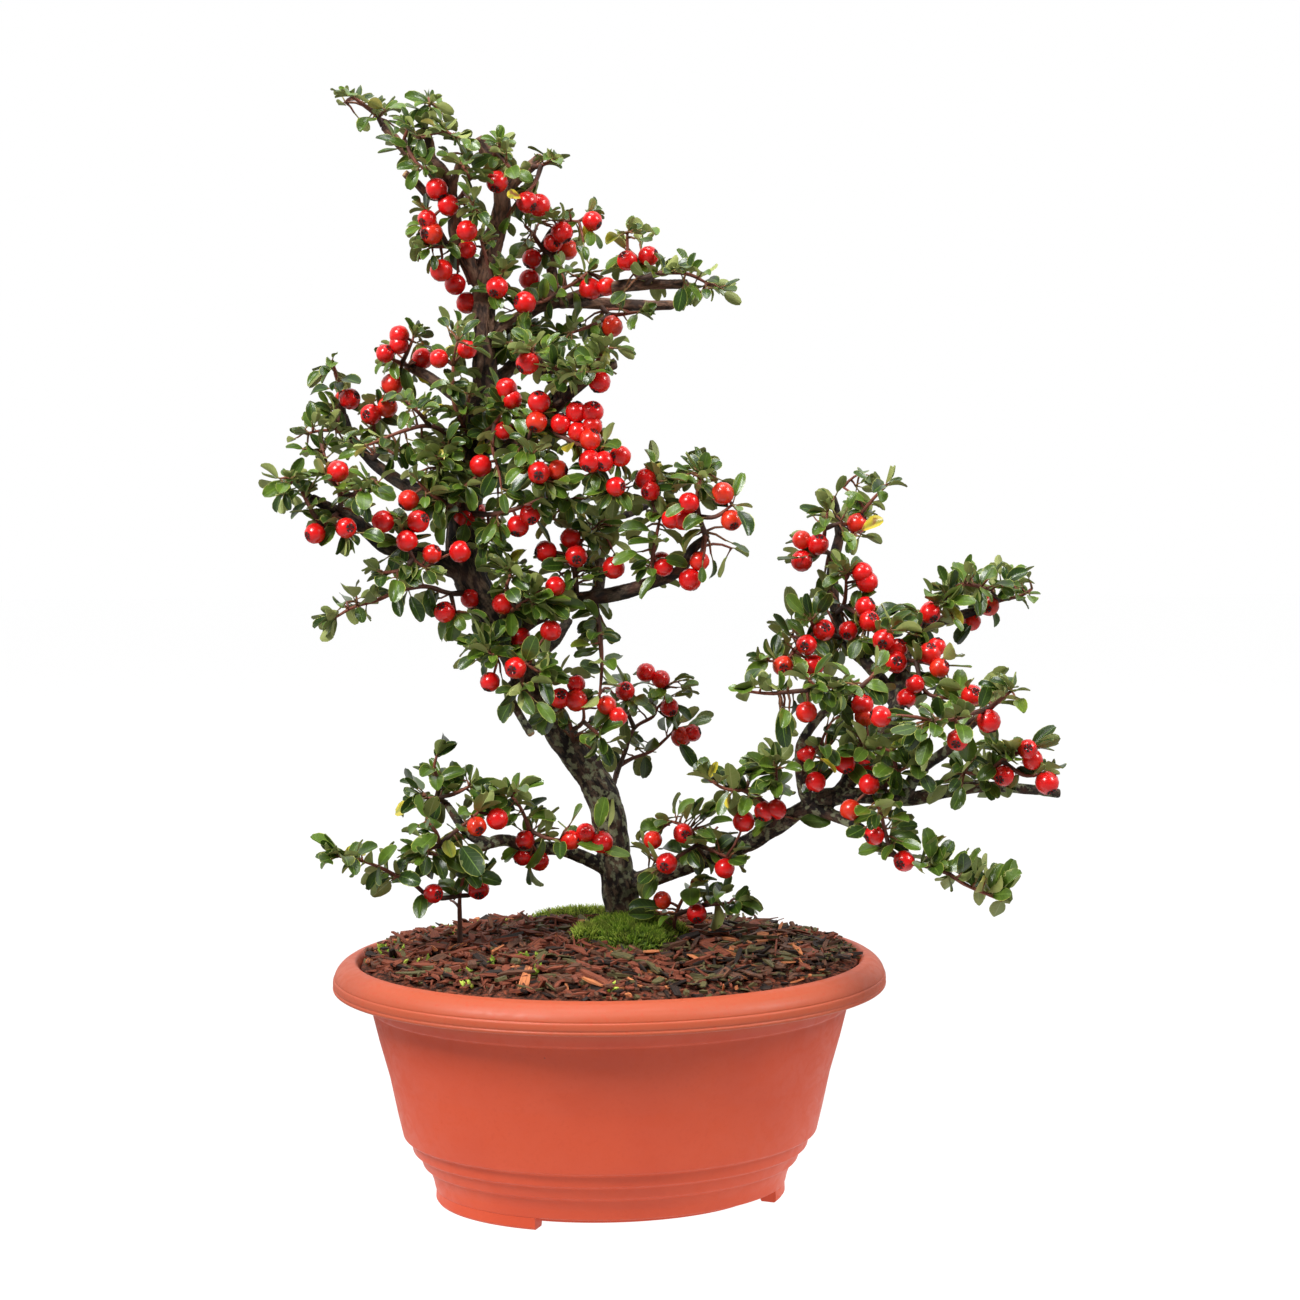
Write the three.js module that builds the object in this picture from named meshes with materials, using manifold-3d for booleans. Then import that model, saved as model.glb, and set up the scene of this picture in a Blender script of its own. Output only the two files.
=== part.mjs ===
// Cotoneaster bonsai in an oval pot, in millimetres, +Z up.
// The pot, the soil, two cushions of moss, the wood and each leafy spray are separate bodies.
import * as THREE from 'three';
import { mergeVertices } from 'three/addons/utils/BufferGeometryUtils.js';
import Module from 'manifold-3d';

const wasm = await Module();
wasm.setup();

// Sight lines. A place on the tree is held as [u, v, depth]: u to the right of the pot's middle and v up,
// both as seen on the upright plane through that middle, and depth away from the eye, behind that plane.
const EYE = new THREE.Vector3(16.9, -902, 300);
const SIGHT = { u: 16.77, v: 247.68, reach: 903, pitch: THREE.MathUtils.degToRad(3.93) };
const VIEW_TURN = THREE.MathUtils.degToRad(6);

// Pot: ovals whose half width across is always 24.5 less than the half length.
const OVAL_STEP = 24.5;
const POT_SIDES = 28;
const POT_OUTSIDE = [
  [67, 1], [68.5, 5], [76.5, 5], [79.5, 14.8], [81.8, 15.6], [83.7, 21.2], [86.2, 22],
  [87.1, 27.4], [90.2, 28.6], [95.9, 55], [107.5, 93.2], [118.8, 93.4], [120, 94.8],
  [118.2, 100.6], [110.3, 105.3],
];
const POT_INSIDE = [[108.6, 103.6], [93, 54], [84.2, 26], [66, 4.5]];
// Two long feet, one round each end, as angles about the middle.
const FOOT_SPANS = [[155, 242], [-25, 62]];
const FOOT_OUTER = 76.2;
const FOOT_INNER = 69.5;
const FOOT_TOP = 5.6;
const FOOT_STEPS = 7;
const DRAIN_HOLES = { at: 34, radius: 6.5, sides: 12, length: 20 };

// Soil: a low mound that fills the pot, with bark chips on it.
const SOIL_EDGE = 103;
const SOIL_RISE = 9;
const SOIL_ROUNDING = 0.6;
const SOIL_FLOOR = 5;
const SOIL_RINGS = [0.2, 0.42, 0.64, 0.84];
const SOIL_ROUGHNESS = 1.3;
const SOIL_SEED = 901;
const CHIPS = {
  count: 34, length: [10, 20], width: [3, 5], thickness: 2.4, lift: 0.6, out: [0.05, 0.74],
  roll: 0.5, tip: 0.3, seed: 900,
};
const WALL_SLACK = 0.1;
const RIM_SLACK = 0.6;

// Moss cushions on the soil: middle, half sizes and height. The upper side of a cushion is an oval dome
// that would end a little outside its edge, at edge times its half size.
const MOSS_COLLAR = {
  x: 9, y: -1, half_x: 19, half_y: 25, height: 9.5, sides: 14, rings: [1, 0.65], seed: 910,
};
const MOSS_PATCH = {
  x: -9, y: 57, half_x: 22, half_y: 9, height: 4.5, sides: 10, rings: [1, 0.6], seed: 911,
};
const MOSS = { edge: 1.07, sink: 3, wander: 0.22, bump: 1.2 };

// Clearance between bodies that touch on the real plant.
const GAP = 0.45;

// Corners closer than this are one corner.
const SAME_CORNER = 2e-3;

// How far a body's flat faces may be evened out.
const FINENESS = {
  pot: 0.01, soil: 0.08, moss_round_trunk: 0.1, moss_behind_trunk: 0.1, trunk: 0.12, spray: 0.15,
};

// Wood, stems, leaves and berries.
const TRUNK_ROOT = [[9, 9, 97, 8.4], [9, 10, 86, 6]];
const STEM = { root: 1.6, tip: 0.95, sides: 3 };
const SPUR = { radius: 0.9, sides: 3 };
const ROOT_DEPTH = 14;
const SOIL_SPRAYS = ['soil_shoots', 'low_right_soil'];
const LEAF = { length: [11.5, 15.5], width: 0.62, thickness: 0.75, fold: 0.3, shoulder: 0.5 };
const STALK_REACH = 14;
const STALK = 2.4;
const LEAF_SPREAD = 14;
const BERRY_RADIUS = [4.2, 5];
const BERRY_FACETING = 1.06;
const BERRY_SEAT = 4.6;
const BERRY_SHIFT = 6;
const BUD_SPACING = 2;
const BARK_CLEARANCE = 1.5;
const LIMB_SIDES = [{ over: 6, sides: 8 }, { over: 3.4, sides: 5 }, { over: 0, sides: 4 }];

// Every so many of a spray's leaves and berries are modelled, and of their partners behind.
const KEEP = { leaf: 5, back_leaf: 15, berry: 3, back_berry: 8 };

// First numbers of the leaves behind, of the berries and of the berries behind, for their draws.
const FIRST = { back_leaf: 500, berry: 1000, back_berry: 1500 };

// Wood. Each limb is a row of [u, v, depth, radius].
const LIMBS = {
  trunk: [
    [8, 127, 9, 8.6], [6, 135, 10, 7.8], [4, 144, 11, 7.5], [2, 155, 11, 7.4], [-1, 175, 9, 7.2],
    [-6, 190, 7, 7], [-14, 202, 5, 6.6], [-22, 212, 2, 6.2], [-30, 226, -1, 6], [-40, 243, -4, 6],
    [-50, 261, -6, 6.4], [-59, 276, -8, 7.2], [-64, 293, -8, 6.6], [-62, 312, -6, 6.2],
    [-59, 334, -3, 6], [-55, 355, 0, 5.6], [-54, 377, 2, 5.1], [-55, 398, 4, 4.8], [-53, 415, 4, 4.4],
  ],
  crown_leader: [
    [-54, 409, 4, 4.4], [-51, 422, 4, 4.3], [-48, 432, 3, 4.2], [-47, 440, 1, 4], [-49, 450, -2, 3.4],
    [-52, 458, -5, 2.9], [-55, 464, -6, 2.5], [-57, 468, -7, 2.3],
  ],
  crown_fork: [
    [-47, 441, 1, 3], [-42, 449, 5, 2.6], [-35, 455, 9, 2.4], [-30, 460, 12, 2.2],
  ],
  crown_left: [
    [-58, 406, 4, 3.8], [-64, 420, 2, 3.2], [-67, 430, 0, 3], [-68, 441, -2, 2.7], [-72, 453, -3, 2.5],
    [-79, 459, 1, 2.3], [-88, 462, 5, 2.1], [-94, 469, 9, 1.9], [-98, 473, 11, 1.7],
  ],
  crown_left_riser: [
    [-78, 458, 0, 2.1], [-78, 466, -4, 2], [-81, 472, -7, 1.7],
  ],
  crown_cut_left: [
    [-69, 443, -2, 2.2], [-78, 443, -5, 1.8], [-83, 448, -9, 1.7], [-89, 453, -12, 1.6],
  ],
  crown_cut_middle: [
    [-68, 442, -3, 1.9], [-67, 451, -7, 1.7], [-65, 458, -9, 1.5],
  ],
  crown_right: [
    [-54, 382, 2, 3.8], [-41, 389, 8, 3.4], [-28, 397, 14, 3.1], [-13, 397, 20, 2.8],
    [4, 396, 25, 2.6], [17, 396, 28, 2.4], [27, 396, 30, 2.2],
  ],
  crown_right_front: [
    [-22, 397, 17, 2.9], [-9, 401, 4, 2.7], [4, 404, -8, 2.6], [17, 405, -16, 2.3], [33, 405, -23, 2],
  ],
  crown_right_back: [
    [-28, 397, 14, 2.8], [-25, 405, 18, 2.6], [-26, 416, 21, 2.4], [-24, 424, 23, 2.1],
  ],
  vee_stem: [
    [-59, 333, -4, 3.8], [-44, 339, -20, 3.6], [-31, 347, -32, 3.3], [-21, 356, -40, 3],
  ],
  vee_left: [
    [-21, 356, -40, 2.7], [-27, 367, -42, 2.5], [-33, 374, -40, 2.3], [-37, 380, -38, 2.1],
  ],
  vee_right: [
    [-21, 356, -40, 2.7], [-13, 362, -44, 2.5], [-6, 367, -48, 2.3], [2, 371, -51, 2.2],
  ],
  arch: [
    [-54, 359, 1, 3.6], [-44, 368, 12, 3.2], [-35, 377, 22, 2.7], [-28, 384, 28, 2.2],
  ],
  left_low: [
    [-61, 279, -8, 4.6], [-74, 286, -12, 4.2], [-89, 290, -20, 3.7], [-98, 293, -25, 3.2],
    [-107, 301, -30, 2.8], [-117, 307, -36, 2.4], [-129, 313, -41, 2],
  ],
  left_middle: [
    [-63, 308, -6, 3.6], [-74, 313, 0, 3.3], [-86, 317, 8, 3], [-94, 322, 14, 2.6],
    [-103, 329, 19, 2.3], [-111, 338, 24, 2], [-115, 349, 27, 1.8],
  ],
  left_high: [
    [-56, 353, 0, 3], [-67, 357, 8, 2.7], [-78, 365, 15, 2.3], [-86, 369, 20, 2],
  ],
  right_middle: [
    [-46, 252, -5, 4.2], [-35, 261, -6, 3.8], [-22, 267, -8, 3.5], [-9, 270, -12, 3.2],
    [6, 273, -18, 3], [21, 278, -25, 2.7], [30, 282, -31, 2.4], [35, 291, -36, 2.1],
    [41, 296, -40, 1.9],
  ],
  right_middle_riser: [
    [-6, 271, -12, 2.8], [-5, 282, -4, 2.6], [-5, 293, 4, 2.4], [-3, 304, 12, 2.1], [7, 306, 16, 1.8],
    [16, 310, 18, 1.5],
  ],
  right_middle_back: [
    [-42, 246, -4, 3.4], [-32, 247, 6, 3], [-24, 252, 14, 2.6], [-18, 261, 20, 2.2],
  ],
  cut_hanging: [
    [-37, 238, -3, 2], [-44, 230, -10, 1.8], [-40, 221, -20, 1.8], [-34, 211, -24, 1.7],
  ],
  low_left: [
    [0, 153, 11, 3.4], [-11, 158, 6, 3], [-22, 162, 0, 2.8], [-35, 163, -6, 2.7],
    [-46, 166, -14, 2.5], [-56, 163, -20, 2.1], [-67, 160, -25, 1.7], [-74, 157, -28, 1.4],
  ],
  low_left_riser: [
    [-53, 165, -18, 2.1], [-61, 168, -16, 2], [-67, 176, -13, 1.8], [-71, 182, -10, 1.5],
  ],
  low_right: [
    [3, 143, 11, 5], [15, 149, 9, 4.6], [28, 154, 4, 4.3], [40, 158, -2, 4], [55, 163, -12, 3.8],
    [68, 170, -21, 3.6], [80, 178, -29, 3.5], [92, 184, -34, 3.6], [105, 185, -38, 3.3],
    [118, 184, -40, 3], [131, 184, -42, 2.9], [144, 187, -43, 2.7], [161, 189, -43, 2.4],
    [177, 188, -42, 2.1], [193, 186, -41, 1.9],
  ],
  right_trail: [
    [84, 181, -31, 2.8], [95, 177, -38, 2.5], [104, 173, -44, 2.2], [112, 167, -50, 1.9],
    [120, 161, -54, 1.7],
  ],
  right_riser: [
    [98, 184, -36, 3.6], [104, 194, -31, 3.4], [112, 206, -24, 3.3], [120, 216, -17, 3.3],
    [124, 228, -10, 3.2], [126, 241, -2, 3], [128, 251, 6, 2.8], [137, 258, 13, 2.5],
    [148, 262, 19, 2.2], [159, 265, 24, 1.9],
  ],
  right_top: [
    [123, 224, -12, 3], [116, 235, -4, 2.8], [108, 244, 2, 2.8], [101, 252, 8, 2.7],
    [97, 263, 14, 2.6], [95, 276, 18, 2.6], [96, 287, 20, 2.5], [98, 297, 21, 2.2], [97, 307, 22, 1.9],
    [95, 314, 22, 1.7],
  ],
  right_left: [
    [85, 181, -31, 2.6], [82, 192, -40, 2.4], [81, 204, -48, 2.2], [85, 213, -52, 2],
    [93, 222, -52, 1.8], [104, 229, -49, 1.5],
  ],
  right_far: [
    [126, 184, -42, 2.5], [132, 195, -54, 2.4], [144, 204, -62, 2.3], [153, 214, -68, 2.1],
    [162, 222, -72, 1.8],
  ],
};

// Leafy sprays: their stems as rows of [u, v, depth], and the middles of leaves and berries as [u, v].
const SPRAYS = {
  crown_left_tip: {
    stems: [
      [[-98, 473, 11], [-101, 478, 10], [-105, 481, 9], [-109, 484, 9], [-112, 486, 8]],
    ],
    leaves: [
      [-112, 488], [-116, 486], [-104, 486], [-100, 482], [-95, 481], [-103, 476], [-106, 474],
      [-93, 483], [-92, 474],
    ],
    berries: [],
  },
  crown_middle: {
    stems: [
      [[-67, 439, -2], [-63, 445, -14], [-61, 451, -18], [-64, 456, -18]],
      [[-63, 445, -14], [-59, 437, -20]],
    ],
    leaves: [
      [-71, 460], [-64, 453], [-60, 453], [-62, 459], [-58, 460], [-58, 445], [-62, 446], [-56, 451],
      [-59, 439], [-55, 435], [-62, 438], [-59, 434], [-53, 430],
    ],
    berries: [
      [-62, 428],
    ],
  },
  crown_leader_top: {
    stems: [
      [[-52, 458, -5], [-49, 462, -12], [-48, 465, -15]],
      [[-49, 462, -12], [-45, 457, -15], [-42, 453, -14]],
    ],
    leaves: [
      [-52, 466], [-49, 467], [-45, 464], [-46, 456], [-43, 455], [-48, 458], [-39, 453], [-55, 458],
    ],
    berries: [
      [-49, 449],
    ],
  },
  crown_fork_leaves: {
    stems: [
      [[-35, 455, 9], [-30, 456, 3], [-26, 458, 2]],
      [[-30, 456, 3], [-33, 448, -4], [-38, 443, -6]],
    ],
    leaves: [
      [-31, 460], [-27, 460], [-23, 458], [-35, 449], [-41, 444], [-39, 437], [-35, 445], [-46, 430],
    ],
    berries: [
      [-36, 440], [-31, 439],
    ],
  },
  crown_left_low: {
    stems: [
      [[-64, 420, 2], [-70, 421, -10], [-77, 421, -13]],
      [[-70, 421, -10], [-74, 429, -14], [-79, 436, -14]],
    ],
    leaves: [
      [-83, 441], [-79, 438], [-80, 434], [-72, 431], [-85, 428], [-81, 425], [-83, 422], [-80, 419],
      [-71, 421], [-76, 415], [-67, 414], [-68, 424], [-63, 416],
    ],
    berries: [
      [-70, 439], [-77, 427], [-79, 433], [-73, 411], [-67, 405], [-61, 420],
    ],
  },
  crown_trunk_front: {
    stems: [
      [[-54, 398, 4], [-50, 404, -10], [-47, 410, -13]],
      [[-50, 404, -10], [-56, 424, -14]],
    ],
    leaves: [
      [-48, 415], [-50, 411], [-45, 405], [-42, 412], [-57, 403], [-43, 401], [-42, 397], [-48, 398],
      [-58, 425], [-52, 423], [-61, 425],
    ],
    berries: [
      [-49, 404], [-62, 397],
    ],
  },
  crown_right_tips: {
    stems: [
      [[-25, 415, 21], [-30, 421, 14], [-34, 427, 10], [-37, 430, 9]],
      [[-30, 421, 14], [-25, 429, 8], [-19, 432, 8], [-14, 432, 8], [-10, 435, 8]],
    ],
    leaves: [
      [-37, 426], [-35, 422], [-40, 420], [-32, 432], [-35, 435], [-27, 437], [-31, 412], [-28, 415],
      [-25, 435], [-22, 434], [-18, 437], [-19, 430], [-9, 437], [-6, 434], [-10, 427], [-5, 424],
      [-15, 423], [-11, 419],
    ],
    berries: [
      [-34, 416], [-35, 407], [-25, 423], [-21, 427], [-19, 420], [-8, 432],
    ],
  },
  crown_right_centre: {
    stems: [
      [[-28, 397, 14], [-22, 402, 2], [-15, 406, -3], [-10, 410, -5]],
      [[-22, 402, 2], [-28, 398, -6], [-35, 396, -8]],
    ],
    leaves: [
      [-23, 415], [-20, 411], [-14, 409], [-9, 413], [-8, 409], [-25, 404], [-29, 403], [-33, 400],
      [-21, 399], [-14, 397], [-27, 393], [-37, 391], [-45, 390],
    ],
    berries: [
      [-9, 403], [-2, 404], [-37, 397],
    ],
  },
  crown_right_low: {
    stems: [
      [[-5, 396, 23], [0, 392, 14], [12, 393, 8]],
      [[0, 392, 14], [-9, 387, 6], [-17, 384, 3]],
    ],
    leaves: [
      [3, 396], [-6, 390], [-15, 389], [-9, 384], [9, 390], [15, 394], [-3, 382], [-22, 379],
      [-17, 380], [-24, 384],
    ],
    berries: [
      [1, 386],
    ],
  },
  arch_leaves: {
    stems: [
      [[-35, 377, 22], [-33, 382, 10], [-35, 387, 6]],
      [[-33, 382, 10], [-39, 380, 2], [-44, 379, 0]],
    ],
    leaves: [
      [-39, 387], [-34, 385], [-28, 387], [-28, 382], [-46, 377], [-43, 378], [-31, 378], [-24, 375],
      [-48, 385],
    ],
    berries: [],
  },
  vee_base_right: {
    stems: [
      [[-31, 347, -32], [-22, 340, -46], [-9, 334, -48], [3, 329, -46]],
      [[-9, 334, -48], [-5, 323, -46], [3, 316, -44]],
    ],
    leaves: [
      [-18, 335], [-6, 338], [-1, 338], [-5, 327], [6, 325], [11, 322], [1, 317], [6, 312], [-9, 322],
      [-16, 321], [-2, 312], [-22, 355], [-26, 354],
    ],
    berries: [
      [-22, 344], [-15, 350], [-14, 342], [-8, 350], [-8, 344], [-9, 329], [-9, 338], [4, 331],
      [-3, 329], [2, 318],
    ],
  },
  vee_base_front: {
    stems: [
      [[-44, 339, -20], [-37, 335, -36], [-34, 329, -42], [-28, 321, -42]],
      [[-37, 335, -36], [-31, 350, -44]],
    ],
    leaves: [
      [-41, 338], [-36, 339], [-32, 337], [-43, 331], [-28, 338], [-26, 331], [-41, 324], [-39, 320],
      [-31, 318], [-25, 318], [-21, 319], [-28, 350], [-25, 343],
    ],
    berries: [
      [-31, 324], [-23, 325], [-31, 354], [-32, 346],
    ],
  },
  trunk_right_front: {
    stems: [
      [[-58, 338, -3], [-50, 345, -24], [-46, 352, -28]],
      [[-50, 345, -24], [-51, 335, -32], [-49, 327, -32]],
    ],
    leaves: [
      [-49, 357], [-45, 357], [-51, 351], [-40, 353], [-37, 350], [-53, 345], [-41, 344], [-52, 341],
      [-49, 339], [-46, 341], [-56, 335], [-60, 338], [-58, 332], [-49, 324], [-52, 320], [-46, 311],
    ],
    berries: [
      [-45, 360], [-42, 356], [-46, 342], [-61, 332], [-56, 327],
    ],
  },
  trunk_left_front: {
    stems: [
      [[-58, 336, -3], [-64, 345, -18], [-68, 356, -22], [-68, 370, -20]],
      [[-64, 345, -18], [-61, 356, -22]],
    ],
    leaves: [
      [-68, 377], [-74, 377], [-71, 362], [-65, 362], [-60, 362], [-63, 351], [-67, 350], [-61, 380],
      [-57, 381], [-65, 385], [-64, 368], [-72, 389], [-66, 392], [-55, 376], [-61, 387],
    ],
    berries: [
      [-74, 373], [-62, 377],
    ],
  },
  left_high_leaves: {
    stems: [
      [[-86, 369, 20], [-90, 371, 12], [-95, 373, 8]],
      [[-90, 371, 12], [-87, 377, 6], [-85, 382, 4]],
    ],
    leaves: [
      [-97, 376], [-100, 370], [-86, 387], [-83, 385], [-93, 368], [-88, 364], [-80, 364], [-81, 378],
      [-82, 383], [-76, 377], [-86, 359],
    ],
    berries: [
      [-91, 379], [-91, 383], [-81, 373], [-94, 362], [-97, 375],
    ],
  },
  left_centre: {
    stems: [
      [[-103, 329, 19], [-99, 335, 6], [-102, 343, 2], [-100, 351, 0]],
      [[-99, 335, 6], [-93, 332, 0]],
    ],
    leaves: [
      [-104, 356], [-97, 357], [-100, 347], [-95, 346], [-107, 342], [-112, 341], [-104, 340],
      [-110, 334], [-97, 335], [-92, 333], [-95, 327], [-106, 351],
    ],
    berries: [
      [-96, 352], [-103, 349],
    ],
  },
  left_twigs: {
    stems: [
      [[-59, 332, -3], [-68, 339, -16], [-78, 344, -20], [-89, 342, -22], [-104, 336, -22]],
      [[-78, 344, -20], [-83, 350, -26], [-88, 354, -27]],
      [[-68, 339, -16], [-72, 331, -28], [-74, 326, -30]],
    ],
    leaves: [
      [-90, 356], [-86, 354], [-82, 353], [-89, 348], [-75, 350], [-78, 353], [-69, 342], [-66, 339],
      [-77, 335], [-82, 336], [-73, 332], [-75, 327], [-71, 329], [-64, 331], [-68, 325], [-86, 331],
      [-89, 329], [-84, 322], [-97, 338],
    ],
    berries: [],
  },
  left_middle_front: {
    stems: [
      [[-63, 306, -6], [-71, 311, -26], [-78, 315, -31], [-83, 320, -32]],
      [[-71, 311, -26], [-64, 317, -32], [-58, 322, -32]],
    ],
    leaves: [
      [-74, 320], [-69, 318], [-80, 312], [-71, 314], [-77, 309], [-74, 305], [-73, 299], [-65, 318],
      [-61, 315], [-57, 324], [-58, 305], [-56, 299],
    ],
    berries: [
      [-87, 312], [-63, 304], [-58, 307],
    ],
  },
  left_low_middle: {
    stems: [
      [[-117, 307, -36], [-116, 313, -46], [-118, 318, -48], [-122, 322, -48]],
      [[-116, 313, -46], [-108, 316, -50], [-103, 321, -50]],
    ],
    leaves: [
      [-117, 318], [-111, 318], [-121, 321], [-115, 312], [-109, 311], [-105, 307], [-108, 323],
      [-103, 319], [-97, 316], [-106, 314],
    ],
    berries: [
      [-117, 325],
    ],
  },
  left_low_inner: {
    stems: [
      [[-89, 290, -20], [-89, 296, -38], [-90, 303, -42]],
      [[-89, 296, -38], [-85, 287, -40], [-80, 283, -40]],
      [[-85, 287, -40], [-90, 282, -42], [-98, 281, -42]],
    ],
    leaves: [
      [-95, 306], [-90, 304], [-92, 301], [-86, 299], [-84, 295], [-95, 293], [-92, 288], [-89, 286],
      [-78, 279], [-89, 283], [-86, 278], [-99, 279], [-92, 275], [-82, 284], [-103, 284],
    ],
    berries: [
      [-98, 303], [-83, 303], [-88, 295], [-77, 289], [-65, 290],
    ],
  },
  left_bottom: {
    stems: [
      [
        [-59, 273, -8], [-69, 272, -22], [-80, 275, -28], [-91, 273, -32], [-101, 269, -35],
        [-111, 266, -36], [-118, 262, -37],
      ],
      [[-69, 272, -22], [-67, 264, -30]],
    ],
    leaves: [
      [-112, 274], [-116, 269], [-102, 271], [-78, 269], [-84, 265], [-92, 269], [-108, 264],
      [-123, 263], [-119, 259], [-72, 257], [-68, 257], [-58, 264], [-54, 261],
    ],
    berries: [
      [-61, 270], [-53, 267], [-71, 264],
    ],
  },
  centre_hanging: {
    stems: [
      [[-62, 307, -6], [-51, 306, -26], [-39, 309, -32], [-28, 313, -33], [-19, 312, -33]],
    ],
    leaves: [
      [-28, 307], [-15, 312], [-18, 307], [-30, 299], [-52, 299], [-6, 313], [-39, 312], [-48, 293],
      [-55, 292], [-56, 286],
    ],
    berries: [
      [-35, 306], [-40, 301],
    ],
  },
  centre_rosettes: {
    stems: [
      [[-49, 260, -6], [-41, 266, -26], [-35, 270, -31]],
      [[-41, 266, -26], [-45, 273, -30], [-43, 281, -30]],
    ],
    leaves: [
      [-40, 278], [-38, 280], [-33, 276], [-28, 273], [-37, 267], [-27, 264], [-23, 269], [-17, 267],
      [-48, 270], [-43, 273], [-48, 286], [-41, 286], [-43, 261], [-33, 264],
    ],
    berries: [
      [-24, 275], [-46, 267],
    ],
  },
  right_middle_inner: {
    stems: [
      [[-15, 269, -10], [-15, 276, -20], [-16, 286, -22], [-13, 294, -20], [-6, 301, -14]],
    ],
    leaves: [
      [-9, 286], [-21, 286], [-25, 284], [-6, 280], [-11, 278], [-2, 280], [0, 286], [-15, 304],
      [-12, 300], [-28, 288], [-3, 269], [-1, 299], [-3, 309], [0, 306], [6, 301], [-5, 293],
    ],
    berries: [
      [-18, 296], [-15, 288], [-28, 290], [1, 283],
    ],
  },
  right_middle_front: {
    stems: [
      [[21, 278, -25], [18, 286, -38], [19, 294, -42], [21, 304, -40]],
      [[21, 304, -40], [18, 312, -38], [19, 321, -36]],
    ],
    leaves: [
      [19, 295], [13, 294], [28, 298], [6, 289], [12, 284], [13, 280], [18, 278], [23, 278], [28, 286],
      [15, 303], [10, 301], [19, 306], [17, 331], [19, 325], [24, 323], [19, 319], [23, 317],
      [12, 313], [19, 313], [24, 310], [28, 322],
    ],
    berries: [
      [21, 284], [15, 321], [17, 316],
    ],
  },
  right_middle_end: {
    stems: [
      [[41, 296, -40], [38, 305, -48], [37, 315, -50], [39, 323, -49]],
      [[38, 305, -48], [45, 305, -52], [52, 310, -52]],
    ],
    leaves: [
      [31, 326], [34, 329], [37, 331], [40, 327], [44, 327], [40, 322], [32, 320], [41, 318],
      [44, 316], [28, 309], [34, 297], [36, 304], [55, 319], [47, 312], [54, 309], [58, 304],
      [56, 292], [45, 282], [39, 280],
    ],
    berries: [
      [34, 311], [26, 304], [31, 304], [52, 303], [48, 315], [38, 286], [34, 278],
    ],
  },
  front_rosettes: {
    stems: [
      [[-41, 245, -4], [-45, 247, -26], [-49, 245, -31], [-54, 248, -32]],
      [[-45, 247, -26], [-37, 242, -33], [-31, 238, -33]],
      [[-37, 242, -33], [-39, 231, -34]],
    ],
    leaves: [
      [-60, 252], [-56, 247], [-57, 255], [-50, 252], [-46, 252], [-51, 245], [-45, 247], [-40, 248],
      [-62, 243], [-54, 241], [-35, 248], [-26, 243], [-31, 252], [-28, 238], [-22, 238], [-19, 235],
      [-35, 233], [-28, 231], [-45, 230], [-46, 221], [-36, 225], [-28, 222], [-48, 256],
    ],
    berries: [
      [-41, 240], [-52, 234], [-39, 253], [-26, 256],
    ],
  },
  trunk_low_right: {
    stems: [
      [[-16, 206, 5], [-17, 213, -12], [-19, 220, -16], [-22, 224, -17]],
      [[-17, 213, -12], [-12, 217, -18], [-12, 224, -18]],
      [[-12, 217, -18], [-5, 211, -20]],
    ],
    leaves: [
      [-21, 220], [-17, 217], [-14, 226], [-11, 226], [-6, 218], [-3, 219], [-2, 215], [-8, 209],
      [-4, 206], [-2, 203], [-28, 217], [-31, 218], [0, 223],
    ],
    berries: [
      [-22, 227], [-15, 233], [-15, 226], [-2, 224], [3, 219],
    ],
  },
  thin_hanging: {
    stems: [
      [[-7, 270, -13], [-5, 256, -20], [-4, 241, -22], [-5, 227, -23]],
    ],
    leaves: [
      [-10, 264], [-12, 258], [-13, 250], [-9, 248], [-7, 256], [-1, 253], [-1, 243], [-9, 240],
      [0, 233], [2, 229], [-9, 229],
    ],
    berries: [],
  },
  small_right_leaves: {
    stems: [
      [
        [-5, 184, 8], [1, 190, 18], [3, 197, 27], [9, 201, 33], [17, 204, 39], [23, 209, 38],
        [26, 212, 37],
      ],
      [
        [2, 193, 23], [6, 204, 27], [10, 214, 31], [18, 219, 35], [20, 223, 32], [23, 226, 31],
        [23, 231, 31],
      ],
      [[10, 214, 31], [6, 224, 27], [7, 230, 26]],
    ],
    leaves: [
      [13, 238], [5, 236], [19, 228], [22, 230], [31, 237], [34, 232], [31, 228], [13, 226], [9, 224],
      [5, 223], [3, 218], [25, 219], [31, 222], [38, 217], [33, 203], [15, 197], [17, 207], [17, 204],
      [9, 210], [4, 207],
    ],
    berries: [
      [21, 236], [15, 238], [6, 230], [25, 223], [31, 210], [35, 212],
    ],
  },
  low_left_top: {
    stems: [
      [[-71, 182, -10], [-75, 184, -13], [-79, 184, -14]],
      [[-75, 184, -13], [-74, 190, -16], [-76, 197, -17], [-75, 202, -17]],
      [[-75, 184, -13], [-67, 186, -18], [-61, 189, -19]],
    ],
    leaves: [
      [-73, 206], [-78, 197], [-75, 192], [-86, 190], [-85, 187], [-88, 181], [-82, 184], [-69, 194],
      [-71, 190], [-67, 190], [-60, 195], [-58, 190], [-53, 190], [-56, 183], [-77, 181], [-76, 177],
    ],
    berries: [],
  },
  low_left_end: {
    stems: [
      [[-74, 157, -28], [-74, 164, -34], [-75, 169, -36], [-79, 174, -37]],
      [[-74, 164, -34], [-80, 161, -38]],
      [[-74, 164, -34], [-64, 172, -34], [-57, 178, -33]],
    ],
    leaves: [
      [-62, 179], [-56, 180], [-64, 172], [-86, 171], [-80, 173], [-78, 166], [-81, 163], [-67, 167],
      [-70, 163], [-85, 161], [-82, 159], [-73, 155], [-78, 152], [-67, 157], [-60, 157], [-58, 160],
    ],
    berries: [
      [-58, 172], [-49, 175],
    ],
  },
  low_left_inner: {
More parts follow.
